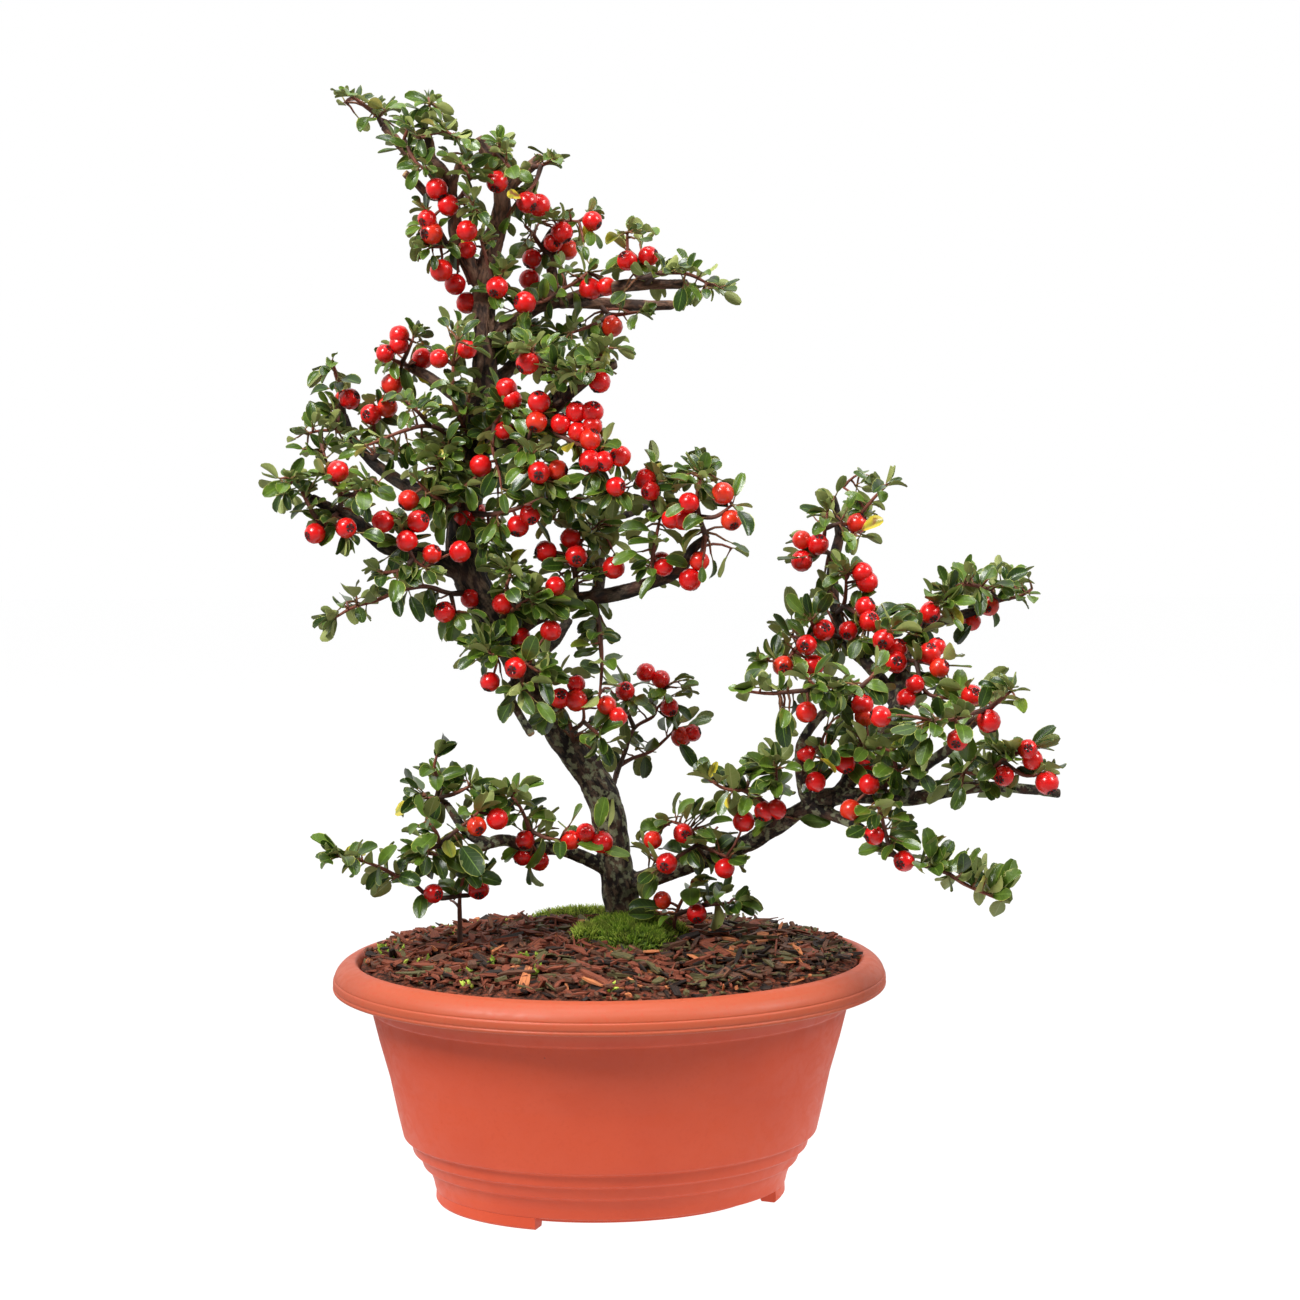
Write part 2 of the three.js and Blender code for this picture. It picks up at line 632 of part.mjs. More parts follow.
    stems: [
      [[-35, 163, -6], [-35, 170, -18], [-39, 180, -20], [-43, 185, -20]],
      [[-35, 170, -18], [-28, 167, -24], [-22, 166, -24]],
    ],
    leaves: [
      [-48, 188], [-43, 186], [-49, 182], [-39, 188], [-36, 190], [-43, 175], [-46, 178], [-33, 181],
      [-30, 177], [-28, 174], [-35, 168], [-30, 165], [-43, 160], [-35, 150], [-15, 177], [-17, 169],
      [-22, 163], [-9, 163], [2, 161], [-4, 178],
    ],
    berries: [
      [-17, 166], [-11, 169], [-4, 165], [-31, 157], [-38, 159], [-36, 168],
    ],
  },
  soil_shoots: {
    stems: [
      [[-65, 129, -14], [-65, 142, -16], [-63, 152, -18]],
      [
        [-65, 142, -16], [-74, 141, -24], [-80, 143, -29], [-86, 148, -34], [-93, 151, -38],
        [-99, 154, -42], [-107, 157, -46], [-117, 159, -50],
      ],
      [[-65, 142, -16], [-59, 143, -12], [-57, 149, -12]],
    ],
    leaves: [
      [-64, 150], [-60, 151], [-52, 153], [-54, 150], [-69, 144], [-61, 144], [-82, 138], [-99, 148],
      [-91, 153], [-88, 150], [-101, 150], [-97, 159], [-107, 161], [-114, 160], [-121, 162],
      [-123, 157], [-111, 157],
    ],
    berries: [
      [-77, 143], [-57, 145],
    ],
  },
  low_right_base: {
    stems: [
      [[40, 158, -2], [37, 164, -18], [34, 171, -22], [26, 174, -22]],
      [[37, 164, -18], [45, 161, -28], [51, 158, -30]],
      [[37, 164, -18], [28, 158, -24], [21, 154, -24]],
    ],
    leaves: [
      [34, 178], [38, 179], [30, 181], [43, 179], [47, 175], [22, 173], [17, 171], [13, 163],
      [17, 161], [28, 162], [34, 159], [38, 166], [36, 161], [43, 155], [54, 157], [55, 163],
      [49, 166], [45, 170], [40, 170], [15, 150], [17, 146],
    ],
    berries: [
      [31, 169], [18, 166], [24, 156], [49, 154], [57, 174],
    ],
  },
  low_right_soil: {
    stems: [
      [[26, 123, 0], [28, 134, -4], [31, 141, -6], [35, 147, -7]],
      [[28, 134, -4], [39, 138, -10], [46, 142, -10]],
      [[39, 138, -10], [53, 139, -12]],
    ],
    leaves: [
      [34, 144], [39, 147], [34, 140], [43, 142], [47, 145], [45, 140], [55, 141], [53, 138],
      [60, 138], [15, 138], [13, 134], [23, 132],
    ],
    berries: [
      [22, 140], [37, 135],
    ],
  },
  low_right_upper: {
    stems: [
      [[68, 170, -21], [71, 177, -34], [65, 183, -38], [58, 187, -38], [49, 188, -37], [42, 192, -36]],
      [[71, 177, -34], [71, 187, -40], [71, 196, -41]],
    ],
    leaves: [
      [41, 195], [47, 192], [52, 190], [55, 192], [58, 187], [62, 185], [53, 183], [49, 183],
      [58, 182], [61, 194], [66, 190], [71, 189], [75, 187], [63, 195], [68, 196], [62, 198],
      [65, 200], [68, 199], [71, 203], [77, 198], [72, 172], [65, 174], [88, 174],
    ],
    berries: [
      [66, 179], [71, 180],
    ],
  },
  pad_left_up: {
    stems: [
      [[104, 229, -49], [111, 235, -46], [114, 239, -45]],
      [[104, 229, -49], [97, 232, -58], [90, 231, -60], [85, 235, -60]],
      [[90, 231, -60], [80, 230, -62], [68, 229, -62], [58, 230, -62]],
    ],
    leaves: [
      [99, 231], [103, 230], [101, 235], [95, 234], [97, 232], [92, 241], [85, 234], [88, 232],
      [76, 234], [72, 230], [66, 236], [62, 235], [57, 231], [82, 224], [79, 221], [75, 217],
      [77, 215], [74, 213], [90, 226], [94, 226], [92, 230], [111, 230], [116, 230], [112, 224],
    ],
    berries: [
      [84, 221],
    ],
  },
  upper_left_pad: {
    stems: [
      [[101, 252, 8], [95, 254, -6], [88, 255, -10], [81, 250, -12], [75, 243, -13], [68, 243, -13]],
      [[88, 255, -10], [86, 260, -14]],
    ],
    leaves: [
      [81, 257], [86, 260], [73, 258], [74, 253], [71, 250], [66, 246], [72, 247], [81, 243],
      [80, 240], [84, 246], [90, 250], [96, 248], [94, 252], [91, 269], [92, 267], [79, 267],
      [84, 266], [81, 261], [63, 240], [98, 243],
    ],
    berries: [
      [84, 250], [87, 241], [74, 241], [91, 256],
    ],
  },
  right_twig_leaves: {
    stems: [
      [[97, 263, 14], [100, 267, 4], [101, 273, 0], [101, 280, -2]],
      [[100, 267, 4], [106, 263, -6], [110, 258, -8]],
    ],
    leaves: [
      [95, 283], [99, 286], [99, 281], [106, 286], [107, 277], [95, 279], [107, 268], [110, 267],
      [114, 265], [119, 265], [105, 264], [100, 265], [107, 258], [112, 258], [116, 255], [103, 252],
      [105, 249], [111, 247],
    ],
    berries: [
      [108, 281], [110, 277], [102, 256], [110, 267], [111, 260],
    ],
  },
  right_upper_middle: {
    stems: [
      [[126, 241, -2], [122, 243, -14], [118, 248, -18], [117, 253, -18]],
      [[122, 243, -14], [131, 243, -20], [139, 241, -21]],
      [[131, 243, -20], [135, 230, -26], [144, 227, -28], [154, 227, -28]],
    ],
    leaves: [
      [116, 250], [118, 252], [116, 241], [118, 240], [126, 258], [124, 261], [120, 258], [131, 245],
      [126, 246], [146, 247], [150, 241], [137, 235], [133, 234], [142, 235], [135, 228], [144, 230],
      [141, 227], [126, 230], [122, 233], [129, 226], [150, 230], [154, 234], [148, 222], [152, 219],
    ],
    berries: [
      [122, 243], [124, 249], [117, 252], [137, 246], [140, 249], [141, 240], [131, 233], [127, 227],
      [155, 228],
    ],
  },
  right_far_leaves: {
    stems: [
      [[162, 222, -72], [167, 226, -78], [172, 230, -79]],
      [[162, 222, -72], [157, 221, -82], [148, 218, -84], [139, 217, -84]],
    ],
    leaves: [
      [157, 226], [161, 228], [163, 233], [168, 234], [167, 230], [174, 230], [171, 233], [176, 224],
      [152, 221], [148, 223], [142, 221], [137, 221], [152, 214], [148, 212], [164, 213], [135, 213],
      [131, 211], [140, 215], [126, 213], [129, 210], [124, 219], [118, 219], [135, 204],
    ],
    berries: [
      [162, 218], [149, 209], [116, 219],
    ],
  },
  right_end_leaves: {
    stems: [
      [[161, 189, -43], [162, 194, -56], [168, 200, -60], [176, 204, -60], [182, 206, -59]],
      [[168, 200, -60], [177, 194, -60], [184, 194, -59]],
      [[162, 194, -56], [152, 195, -60]],
    ],
    leaves: [
      [148, 203], [150, 198], [159, 205], [154, 206], [157, 196], [161, 198], [163, 196], [167, 205],
      [170, 203], [165, 206], [172, 202], [176, 207], [172, 207], [181, 206], [187, 208], [181, 196],
      [184, 198], [191, 198], [174, 191], [169, 190], [163, 187], [150, 185], [139, 189], [148, 190],
    ],
    berries: [
      [169, 194], [181, 201], [187, 191], [179, 205],
    ],
  },
  right_trail_leaves: {
    stems: [
      [
        [120, 161, -54], [126, 157, -58], [135, 155, -60], [144, 152, -62], [152, 147, -64],
        [161, 143, -66], [168, 140, -67],
      ],
      [[120, 161, -54], [118, 169, -60], [116, 177, -62], [114, 182, -62]],
    ],
    leaves: [
      [108, 178], [110, 176], [114, 175], [105, 169], [116, 160], [117, 163], [124, 175], [127, 172],
      [126, 167], [124, 163], [129, 164], [138, 164], [135, 161], [133, 157], [144, 161], [141, 159],
      [139, 155], [146, 148], [150, 157], [155, 157], [152, 154], [159, 153], [158, 149], [159, 145],
      [163, 153], [166, 150], [170, 150], [168, 145], [167, 138],
    ],
    berries: [
      [113, 168], [126, 157],
    ],
  },
  vee_leaves: {
    stems: [
      [[-27, 367, -42], [-30, 372, -50], [-34, 376, -52]],
      [[-30, 372, -50], [-24, 369, -54], [-19, 365, -54]],
      [[-19, 365, -54], [-11, 367, -57], [-6, 372, -55]],
      [[-6, 367, -48], [-6, 372, -55], [-2, 377, -56]],
    ],
    leaves: [
      [-36, 367], [-34, 380], [-30, 377], [-25, 373], [-27, 370], [-22, 370], [-18, 365], [-13, 367],
      [-22, 361], [-17, 370], [-11, 373], [-8, 372], [-3, 380], [0, 376], [6, 378], [-3, 369],
      [-9, 378], [-6, 381],
    ],
    berries: [
      [-36, 371], [-5, 363],
    ],
  },
  left_low_outer: {
    stems: [
      [[-129, 313, -41], [-134, 318, -45], [-138, 321, -46]],
      [[-124, 300, -48], [-129, 308, -50], [-134, 318, -45]],
      [[-117, 307, -36], [-121, 304, -46], [-124, 300, -48]],
      [[-121, 304, -46], [-114, 298, -50]],
    ],
    leaves: [
      [-138, 323], [-135, 326], [-141, 318], [-131, 323], [-147, 322], [-145, 317], [-144, 311],
      [-138, 314], [-135, 308], [-125, 322], [-131, 316], [-126, 306], [-121, 304], [-120, 299],
      [-112, 293], [-103, 298], [-129, 309], [-126, 302],
    ],
    berries: [
      [-127, 298], [-114, 300],
    ],
  },
  crown_right_end: {
    stems: [
      [[15, 405, -15], [19, 409, -26], [26, 410, -29], [34, 409, -30], [42, 405, -29]],
      [[19, 409, -26], [12, 408, -22], [8, 414, -18], [7, 421, -17], [7, 427, -18]],
    ],
    leaves: [
      [12, 414], [17, 412], [14, 405], [19, 402], [3, 399], [22, 415], [25, 411], [28, 412], [32, 414],
      [35, 414], [40, 411], [43, 408], [48, 403], [41, 402], [51, 402], [30, 399], [34, 401], [1, 425],
      [4, 427], [12, 427], [15, 424], [10, 429], [17, 429], [3, 416], [0, 410], [4, 413],
    ],
    berries: [
      [7, 415], [16, 417],
    ],
  },
  right_upper_end: {
    stems: [
      [[159, 265, 24], [167, 269, 16], [176, 271, 14], [181, 274, 13]],
      [[167, 269, 16], [161, 274, 6], [152, 276, 4], [145, 274, 3]],
      [[144, 268, -3], [145, 274, 3]],
      [[137, 258, 13], [134, 262, 2], [138, 267, -2], [144, 268, -3]],
      [[134, 262, 2], [132, 255, -6]],
    ],
    leaves: [
      [142, 280], [143, 276], [138, 273], [146, 276], [150, 271], [147, 269], [151, 279], [154, 283],
      [157, 282], [157, 273], [159, 271], [161, 273], [167, 283], [161, 279], [168, 277], [170, 273],
      [170, 280], [175, 277], [174, 280], [179, 281], [175, 271], [181, 269], [166, 261], [158, 267],
      [131, 265], [127, 267], [135, 254], [130, 254], [137, 260], [132, 261], [142, 267], [145, 269],
      [139, 270], [149, 258], [151, 255], [147, 264],
    ],
    berries: [
      [163, 267], [137, 264], [155, 260],
    ],
  },
  left_upper: {
    stems: [
      [[-115, 349, 27], [-116, 357, 21], [-118, 365, 17], [-120, 372, 15]],
      [[-116, 357, 21], [-117, 350, 14], [-119, 343, 10], [-125, 342, 8], [-130, 341, 6]],
      [[-125, 342, 8], [-124, 334, 2], [-122, 327, -2]],
    ],
    leaves: [
      [-123, 369], [-128, 366], [-120, 372], [-112, 364], [-117, 362], [-119, 356], [-124, 356],
      [-123, 352], [-111, 354], [-108, 351], [-126, 360], [-127, 347], [-122, 345], [-134, 342],
      [-129, 340], [-136, 335], [-129, 334], [-118, 344], [-129, 350], [-114, 332], [-121, 338],
      [-117, 335], [-125, 329],
    ],
    berries: [
      [-115, 355],
    ],
  },
  right_top_leaves: {
    stems: [
      [[96, 287, 20], [91, 291, 10], [88, 288, 6]],
      [[91, 291, 10], [92, 300, 4], [93, 307, 2]],
      [[98, 297, 21], [103, 301, 14], [108, 307, 10], [113, 313, 8], [118, 318, 7]],
      [[92, 300, 4], [98, 302, 2], [103, 301, 14]],
      [[103, 301, 14], [104, 297, 6]],
    ],
    leaves: [
      [91, 312], [86, 308], [90, 301], [92, 303], [88, 289], [86, 292], [76, 287], [79, 295],
      [83, 286], [91, 276], [95, 273], [99, 319], [105, 314], [103, 312], [108, 323], [111, 319],
      [116, 319], [120, 320], [113, 311], [105, 309], [104, 304], [102, 295], [111, 296], [112, 302],
    ],
    berries: [
      [82, 295], [89, 292], [82, 286], [105, 302],
    ],
  },
  crown_left_upper: {
    stems: [
      [[-81, 472, -7], [-80, 478, -9], [-78, 482, -10]],
      [[-81, 472, -7], [-76, 470, -14], [-72, 471, -17], [-68, 469, -18]],
      [[-87, 472, -9], [-82, 468, -15], [-76, 470, -14]],
      [[-88, 462, 5], [-89, 467, -4], [-87, 472, -9]],
      [[-89, 467, -4], [-85, 459, -12], [-81, 455, -16]],
    ],
    leaves: [
      [-81, 484], [-75, 485], [-74, 479], [-85, 481], [-86, 477], [-81, 476], [-77, 471], [-73, 472],
      [-70, 472], [-67, 470], [-63, 467], [-60, 465], [-87, 473], [-90, 476], [-85, 470], [-97, 467],
      [-96, 462], [-88, 464], [-83, 464], [-80, 459], [-88, 456], [-84, 452], [-77, 454],
    ],
    berries: [
      [-75, 446],
    ],
  },
  pad_front: {
    stems: [
      [[104, 194, -31], [101, 200, -44], [96, 204, -48], [90, 206, -49]],
      [[101, 200, -44], [108, 206, -50], [114, 206, -52], [121, 204, -53]],
      [[121, 204, -53], [123, 195, -56]],
      [[118, 184, -40], [118, 189, -52], [123, 195, -56], [131, 199, -57]],
      [[118, 189, -52], [111, 187, -54]],
    ],
    leaves: [
      [84, 206], [85, 198], [92, 206], [95, 203], [92, 200], [98, 213], [95, 211], [103, 211],
      [111, 215], [108, 209], [114, 209], [103, 205], [108, 204], [116, 204], [120, 205], [111, 198],
      [118, 198], [120, 196], [124, 207], [101, 220], [98, 224], [105, 223], [88, 190], [91, 193],
      [131, 203], [126, 202], [132, 196], [136, 191], [116, 189], [118, 184], [120, 191], [113, 194],
      [124, 187], [109, 190],
    ],
    berries: [
      [84, 203], [88, 191], [109, 196], [100, 200], [109, 219], [108, 224], [103, 179], [111, 190],
    ],
  },
};

// A seeded draw between 0 and 1 that depends on the spray, the item and the use alone.
function draw(spray, item, use) {
  let mixed = Math.imul(spray, 374761393) + Math.imul(item, 668265263) + Math.imul(use, 2246822519);
  mixed = (mixed ^ (mixed >>> 15)) >>> 0;
  mixed = Math.imul(mixed, 0x2c1b3c6d) >>> 0;
  mixed = (mixed ^ (mixed >>> 12)) >>> 0;
  mixed = Math.imul(mixed, 0x297a2d39) >>> 0;
  mixed = (mixed ^ (mixed >>> 15)) >>> 0;
  return mixed / 4294967296;
}

function between([low, high], share) {
  return low + (high - low) * share;
}

// The place in the pot's own frame of a point held along a sight line.
function place([u, v, depth]) {
  const rise = v - SIGHT.v;
  const forward = SIGHT.reach * Math.cos(SIGHT.pitch) + rise * Math.sin(SIGHT.pitch);
  const upward = rise * Math.cos(SIGHT.pitch) - SIGHT.reach * Math.sin(SIGHT.pitch);
  const far = (depth - EYE.y) / forward;
  const point = new THREE.Vector3(EYE.x + far * (u - SIGHT.u), EYE.y + far * forward, EYE.z + far * upward);
  return point.applyAxisAngle(new THREE.Vector3(0, 0, 1), -VIEW_TURN);
}

// A solid from a list of corner points and a list of triangles.
function solid(points, triangles) {
  const vertProperties = new Float32Array(points.flatMap((point) => [point.x, point.y, point.z]));
  const triVerts = new Uint32Array(triangles.flat());
  return new wasm.Manifold(new wasm.Mesh({ numProp: 3, vertProperties, triVerts }));
}

// A solid from a three.js geometry, with its shared corners merged.
function solidFrom(geometry) {
  geometry.deleteAttribute('normal');
  geometry.deleteAttribute('uv');
  const merged = mergeVertices(geometry, SAME_CORNER);
  const vertProperties = new Float32Array(merged.attributes.position.array);
  const triVerts = new Uint32Array(merged.index.array);
  return new wasm.Manifold(new wasm.Mesh({ numProp: 3, vertProperties, triVerts }));
}

// Triangles between two closed rings of the same count, first the lower ring, seen from outside.
function band(lower, upper, count) {
  const triangles = [];
  for (let i = 0; i < count; i += 1) {
    const next = (i + 1) % count;
    triangles.push([lower + i, lower + next, upper + next], [lower + i, upper + next, upper + i]);
  }
  return triangles;
}

// Triangles from a ring to one point, facing up when the point lies above the ring.
function fan(ring, apex, count, up) {
  const triangles = [];
  for (let i = 0; i < count; i += 1) {
    const next = (i + 1) % count;
    triangles.push(up ? [ring + i, ring + next, apex] : [ring + next, ring + i, apex]);
  }
  return triangles;
}

// A closed tube through points with its own radius at each, flat at both ends, which grow moves outwards.
function tube(points, radii, sides, grow = 0) {
  const corners = [];
  const triangles = [];
  const along = points.map((point, i) => {
    const before = points[Math.max(i - 1, 0)];
    const after = points[Math.min(i + 1, points.length - 1)];
    return after.clone().sub(before).normalize();
  });
  const side = new THREE.Vector3(0, 1, 0);
  if (Math.abs(along[0].y) > 0.9) {
    side.set(1, 0, 0);
  }
  points.forEach((point, i) => {
    side.addScaledVector(along[i], -side.dot(along[i])).normalize();
    const across = along[i].clone().cross(side);
    const shift = grow * ((i === points.length - 1) - (i === 0));
    const middle = point.clone().addScaledVector(along[i], shift);
    const radius = radii[i] + grow;
    for (let k = 0; k < sides; k += 1) {
      const angle = (2 * Math.PI * k) / sides;
      corners.push(middle.clone()
        .addScaledVector(side, radius * Math.cos(angle))
        .addScaledVector(across, radius * Math.sin(angle)));
    }
    if (i > 0) {
      triangles.push(...band((i - 1) * sides, i * sides, sides));
    }
  });
  const last = (points.length - 1) * sides;
  for (let k = 2; k < sides; k += 1) {
    triangles.push([0, k, k - 1], [last, last + k - 1, last + k]);
  }
  return solid(corners, triangles);
}

// A leaf blade from its root: two flat halves folded up along the midrib, with its stalk in the outline.
function blade(leaf, grow = 0) {
  const side = leaf.normal.clone().cross(leaf.along).normalize();
  const reach = leaf.stalk + leaf.length;
  const half = leaf.width / 2;
  const outline = [
    [-grow, 0],
    [leaf.stalk + LEAF.shoulder * leaf.length, half + grow],
    [reach + grow, 0],
    [leaf.stalk + LEAF.shoulder * leaf.length, -half - grow],
  ];
  const corners = [];
  for (const face of [-1, 1]) {
    for (const [far, wide] of outline) {
      corners.push(leaf.root.clone()
        .addScaledVector(leaf.along, far)
        .addScaledVector(side, wide)
        .addScaledVector(leaf.normal, LEAF.fold * Math.abs(wide) + face * (LEAF.thickness / 2 + grow)));
    }
  }
  const halves = [[0, 2, 1], [0, 3, 2]];
  const top = halves.map((triangle) => triangle.map((corner) => corner + 4));
  const bottom = halves.map(([a, b, c]) => [a, c, b]);
  const rim = band(0, 4, 4).map(([a, b, c]) => [a, c, b]);
  return solid(corners, [...top, ...bottom, ...rim]);
}

// A berry as a ball of twenty faces, turned at random.
function berryBall(berry, grow = 0) {
  const ball = new THREE.IcosahedronGeometry((berry.radius + grow) * BERRY_FACETING, 0);
  ball.rotateX(berry.turn);
  ball.rotateZ(2 * berry.turn);
  ball.translate(berry.middle.x, berry.middle.y, berry.middle.z);
  return solidFrom(ball);
}

function joined(solids) {
  return wasm.Manifold.union(solids);
}

function reach(body) {
  const { min, max } = body.boundingBox();
  return Math.hypot(max[0] - min[0], max[1] - min[1], max[2] - min[2]);
}

// The farthest reaching of the separate bodies of a solid, so that no loose scrap is left.
function largest(body) {
  return body.decompose().reduce((best, one) => (reach(one) > reach(best) ? one : best));
}

function boxesMeet(one, other) {
  return [0, 1, 2].every((axis) => one.min[axis] < other.max[axis] && other.min[axis] < one.max[axis]);
}

function crosses(one, other) {
  return boxesMeet(one.boundingBox(), other.boundingBox()) && !one.intersect(other).isEmpty();
}

// Pot.
function ovalRing([half, z]) {
  return Array.from({ length: POT_SIDES }, (_, i) => {
    const angle = (2 * Math.PI * i) / POT_SIDES;
    return new THREE.Vector3(half * Math.cos(angle), (half - OVAL_STEP) * Math.sin(angle), z);
  });
}

// A closed body of stacked oval rings that starts and ends on the axis.
function ovalBody(profile) {
  const corners = profile.flatMap(ovalRing);
  const triangles = [];
  for (let i = 1; i < profile.length; i += 1) {
    triangles.push(...band((i - 1) * POT_SIDES, i * POT_SIDES, POT_SIDES));
  }
  const last = profile.length - 1;
  corners.push(new THREE.Vector3(0, 0, profile[0][1]), new THREE.Vector3(0, 0, profile[last][1]));
  triangles.push(...fan(0, profile.length * POT_SIDES, POT_SIDES, false));
  triangles.push(...fan(last * POT_SIDES, profile.length * POT_SIDES + 1, POT_SIDES, true));
  return solid(corners, triangles);
}

// A foot under the pot's skirt, a curved bar between two angles of the oval.
function foot([from, to]) {
  const section = [[FOOT_INNER, 0], [FOOT_OUTER, 0], [FOOT_OUTER, FOOT_TOP], [FOOT_INNER, FOOT_TOP]];
  const corners = [];
  const triangles = [];
  for (let i = 0; i <= FOOT_STEPS; i += 1) {
    const angle = THREE.MathUtils.degToRad(from + ((to - from) * i) / FOOT_STEPS);
    for (const [half, z] of section) {
      corners.push(new THREE.Vector3(half * Math.cos(angle), (half - OVAL_STEP) * Math.sin(angle), z));
    }
    if (i > 0) {
      triangles.push(...band(4 * i - 4, 4 * i, 4).map(([a, b, c]) => [a, c, b]));
    }
  }
  const end = 4 * FOOT_STEPS;
  triangles.push([0, 1, 2], [0, 2, 3], [end, end + 2, end + 1], [end, end + 3, end + 2]);
  return solid(corners, triangles);
}

function pot() {
  const wall = ovalBody([...POT_OUTSIDE, ...POT_INSIDE]);
  const holes = [-1, 1].map((end) => {
    const { at, radius, sides, length } = DRAIN_HOLES;
    const drill = new THREE.CylinderGeometry(radius, radius, length, sides);
    drill.rotateX(Math.PI / 2);
    drill.translate(end * at, 0, 0);
    return solidFrom(drill);
  });
  return joined([wall, ...FOOT_SPANS.map(foot)]).subtract(joined(holes));
}

// Height of the soil's mound at a place, without its roughness.
function moundHeight(x, y) {
  const half = POT_INSIDE[0][0] - GAP;
  const out = Math.min((x / half) ** 2 + (y / (half - OVAL_STEP)) ** 2, 1);
  return SOIL_EDGE + SOIL_RISE * (1 - out) ** SOIL_ROUNDING;
}

// The place of a chip on the mound, seeded by its number.
function chipPlace(index) {
  const angle = 2 * Math.PI * draw(CHIPS.seed, index, 1);
  const share = Math.sqrt(between(CHIPS.out, draw(CHIPS.seed, index, 2)));
  const half = POT_INSIDE[0][0];
  return { index, x: share * half * Math.cos(angle), y: share * (half - OVAL_STEP) * Math.sin(angle) };
}

function clearOfMoss({ x, y }) {
  return [MOSS_COLLAR, MOSS_PATCH].every((patch) => {
    const across = (x - patch.x) / (patch.half_x + CHIPS.length[1] / 2);
    return Math.hypot(across, (y - patch.y) / (patch.half_y + CHIPS.length[1] / 2)) > 1;
  });
}

function chip({ index, x, y }) {
  const chance = (use) => draw(CHIPS.seed, index, use);
  const length = between(CHIPS.length, chance(3));
  const box = new THREE.BoxGeometry(length, between(CHIPS.width, chance(4)), CHIPS.thickness);
  box.rotateX(CHIPS.roll * (chance(5) - 0.5));
  box.rotateY(CHIPS.tip * (chance(6) - 0.5));
  box.rotateZ(Math.PI * chance(7));
  box.translate(x, y, moundHeight(x, y) + CHIPS.lift);
  return solidFrom(box);
}

function soil() {
  const half = POT_INSIDE[0][0] - GAP;
  const slack = GAP + WALL_SLACK;
  const side = [...POT_INSIDE].reverse().map(([wide, z]) => [wide - slack, Math.max(z, SOIL_FLOOR)]);
  side[side.length - 1] = [half - RIM_SLACK, SOIL_EDGE];
  const rings = [...SOIL_RINGS].reverse();
  const corners = side.flatMap(ovalRing);
  rings.forEach((share, ring) => {
    for (let i = 0; i < POT_SIDES; i += 1) {
      const angle = (2 * Math.PI * i) / POT_SIDES;
      const x = share * half * Math.cos(angle);
      const y = share * (half - OVAL_STEP) * Math.sin(angle);
      const bump = SOIL_ROUGHNESS * (draw(SOIL_SEED, ring * POT_SIDES + i, 1) - 0.5);
      corners.push(new THREE.Vector3(x, y, moundHeight(x, y) + bump));
    }
  });
  const count = side.length + rings.length;
  const triangles = [];
  for (let i = 1; i < count; i += 1) {
    triangles.push(...band((i - 1) * POT_SIDES, i * POT_SIDES, POT_SIDES));
  }
  corners.push(new THREE.Vector3(0, 0, SOIL_FLOOR), new THREE.Vector3(0, 0, SOIL_EDGE + SOIL_RISE));
  triangles.push(...fan(0, count * POT_SIDES, POT_SIDES, false));
  triangles.push(...fan((count - 1) * POT_SIDES, count * POT_SIDES + 1, POT_SIDES, true));
  const mound = solid(corners, triangles);
  const rim = ovalBody([[half - RIM_SLACK, SOIL_FLOOR], [half - RIM_SLACK, SOIL_EDGE + 2 * SOIL_RISE]]);
  const places = Array.from({ length: CHIPS.count }, (_, index) => chipPlace(index));
  const chips = places.filter(clearOfMoss).map(chip);
  return mound.add(joined(chips).intersect(rim));
}

// A cushion of moss: a rounded heap whose underside follows the soil's mound and reaches into it a little.
function mossCushion(patch) {
  const corners = [];
  const ringAt = (share, height) => {
    for (let i = 0; i < patch.sides; i += 1) {
      const angle = (2 * Math.PI * i) / patch.sides;
      const wander = 1 + MOSS.wander * (draw(patch.seed, i, 1) - 0.5);
      const x = patch.x + share * wander * patch.half_x * Math.cos(angle);
      const y = patch.y + share * wander * patch.half_y * Math.sin(angle);
      const bump = MOSS.bump * (draw(patch.seed, i, Math.round(10 * share)) - 0.5);
      corners.push(new THREE.Vector3(x, y, moundHeight(x, y) + height + (height > 0 ? bump : 0)));
    }
  };
  ringAt(1, -MOSS.sink);
  patch.rings.forEach((share) => ringAt(share, patch.height * Math.sqrt(MOSS.edge ** 2 - share ** 2)));
  const triangles = [];
  for (let i = 1; i <= patch.rings.length; i += 1) {
    triangles.push(...band((i - 1) * patch.sides, i * patch.sides, patch.sides));
  }
  const middle = moundHeight(patch.x, patch.y);
  corners.push(new THREE.Vector3(patch.x, patch.y, middle - MOSS.sink));
  corners.push(new THREE.Vector3(patch.x, patch.y, middle + MOSS.edge * patch.height));
  const rings = patch.rings.length + 1;
  triangles.push(...fan(0, rings * patch.sides, patch.sides, false));
  triangles.push(...fan((rings - 1) * patch.sides, rings * patch.sides + 1, patch.sides, true));
  return solid(corners, triangles);
}

// Wood: one body of all the limbs, and a fatter one that keeps its neighbours clear.
const limbs = Object.values(LIMBS).map((rows, index) => {
  const points = rows.map(place);
  const radii = rows.map((row) => row[3]);
  if (index === 0) {
    TRUNK_ROOT.forEach(([x, y, z, radius]) => {
      points.unshift(new THREE.Vector3(x, y, z));
      radii.unshift(radius);
    });
  }
  return { points, radii, sides: limbSides(radii) };
});

function limbSides(radii) {
  const widest = Math.max(...radii);
  return LIMB_SIDES.find(({ over }) => widest > over).sides;
}

function wood(grow) {
  return joined(limbs.map((limb) => tube(limb.points, limb.radii, limb.sides, grow)));
}

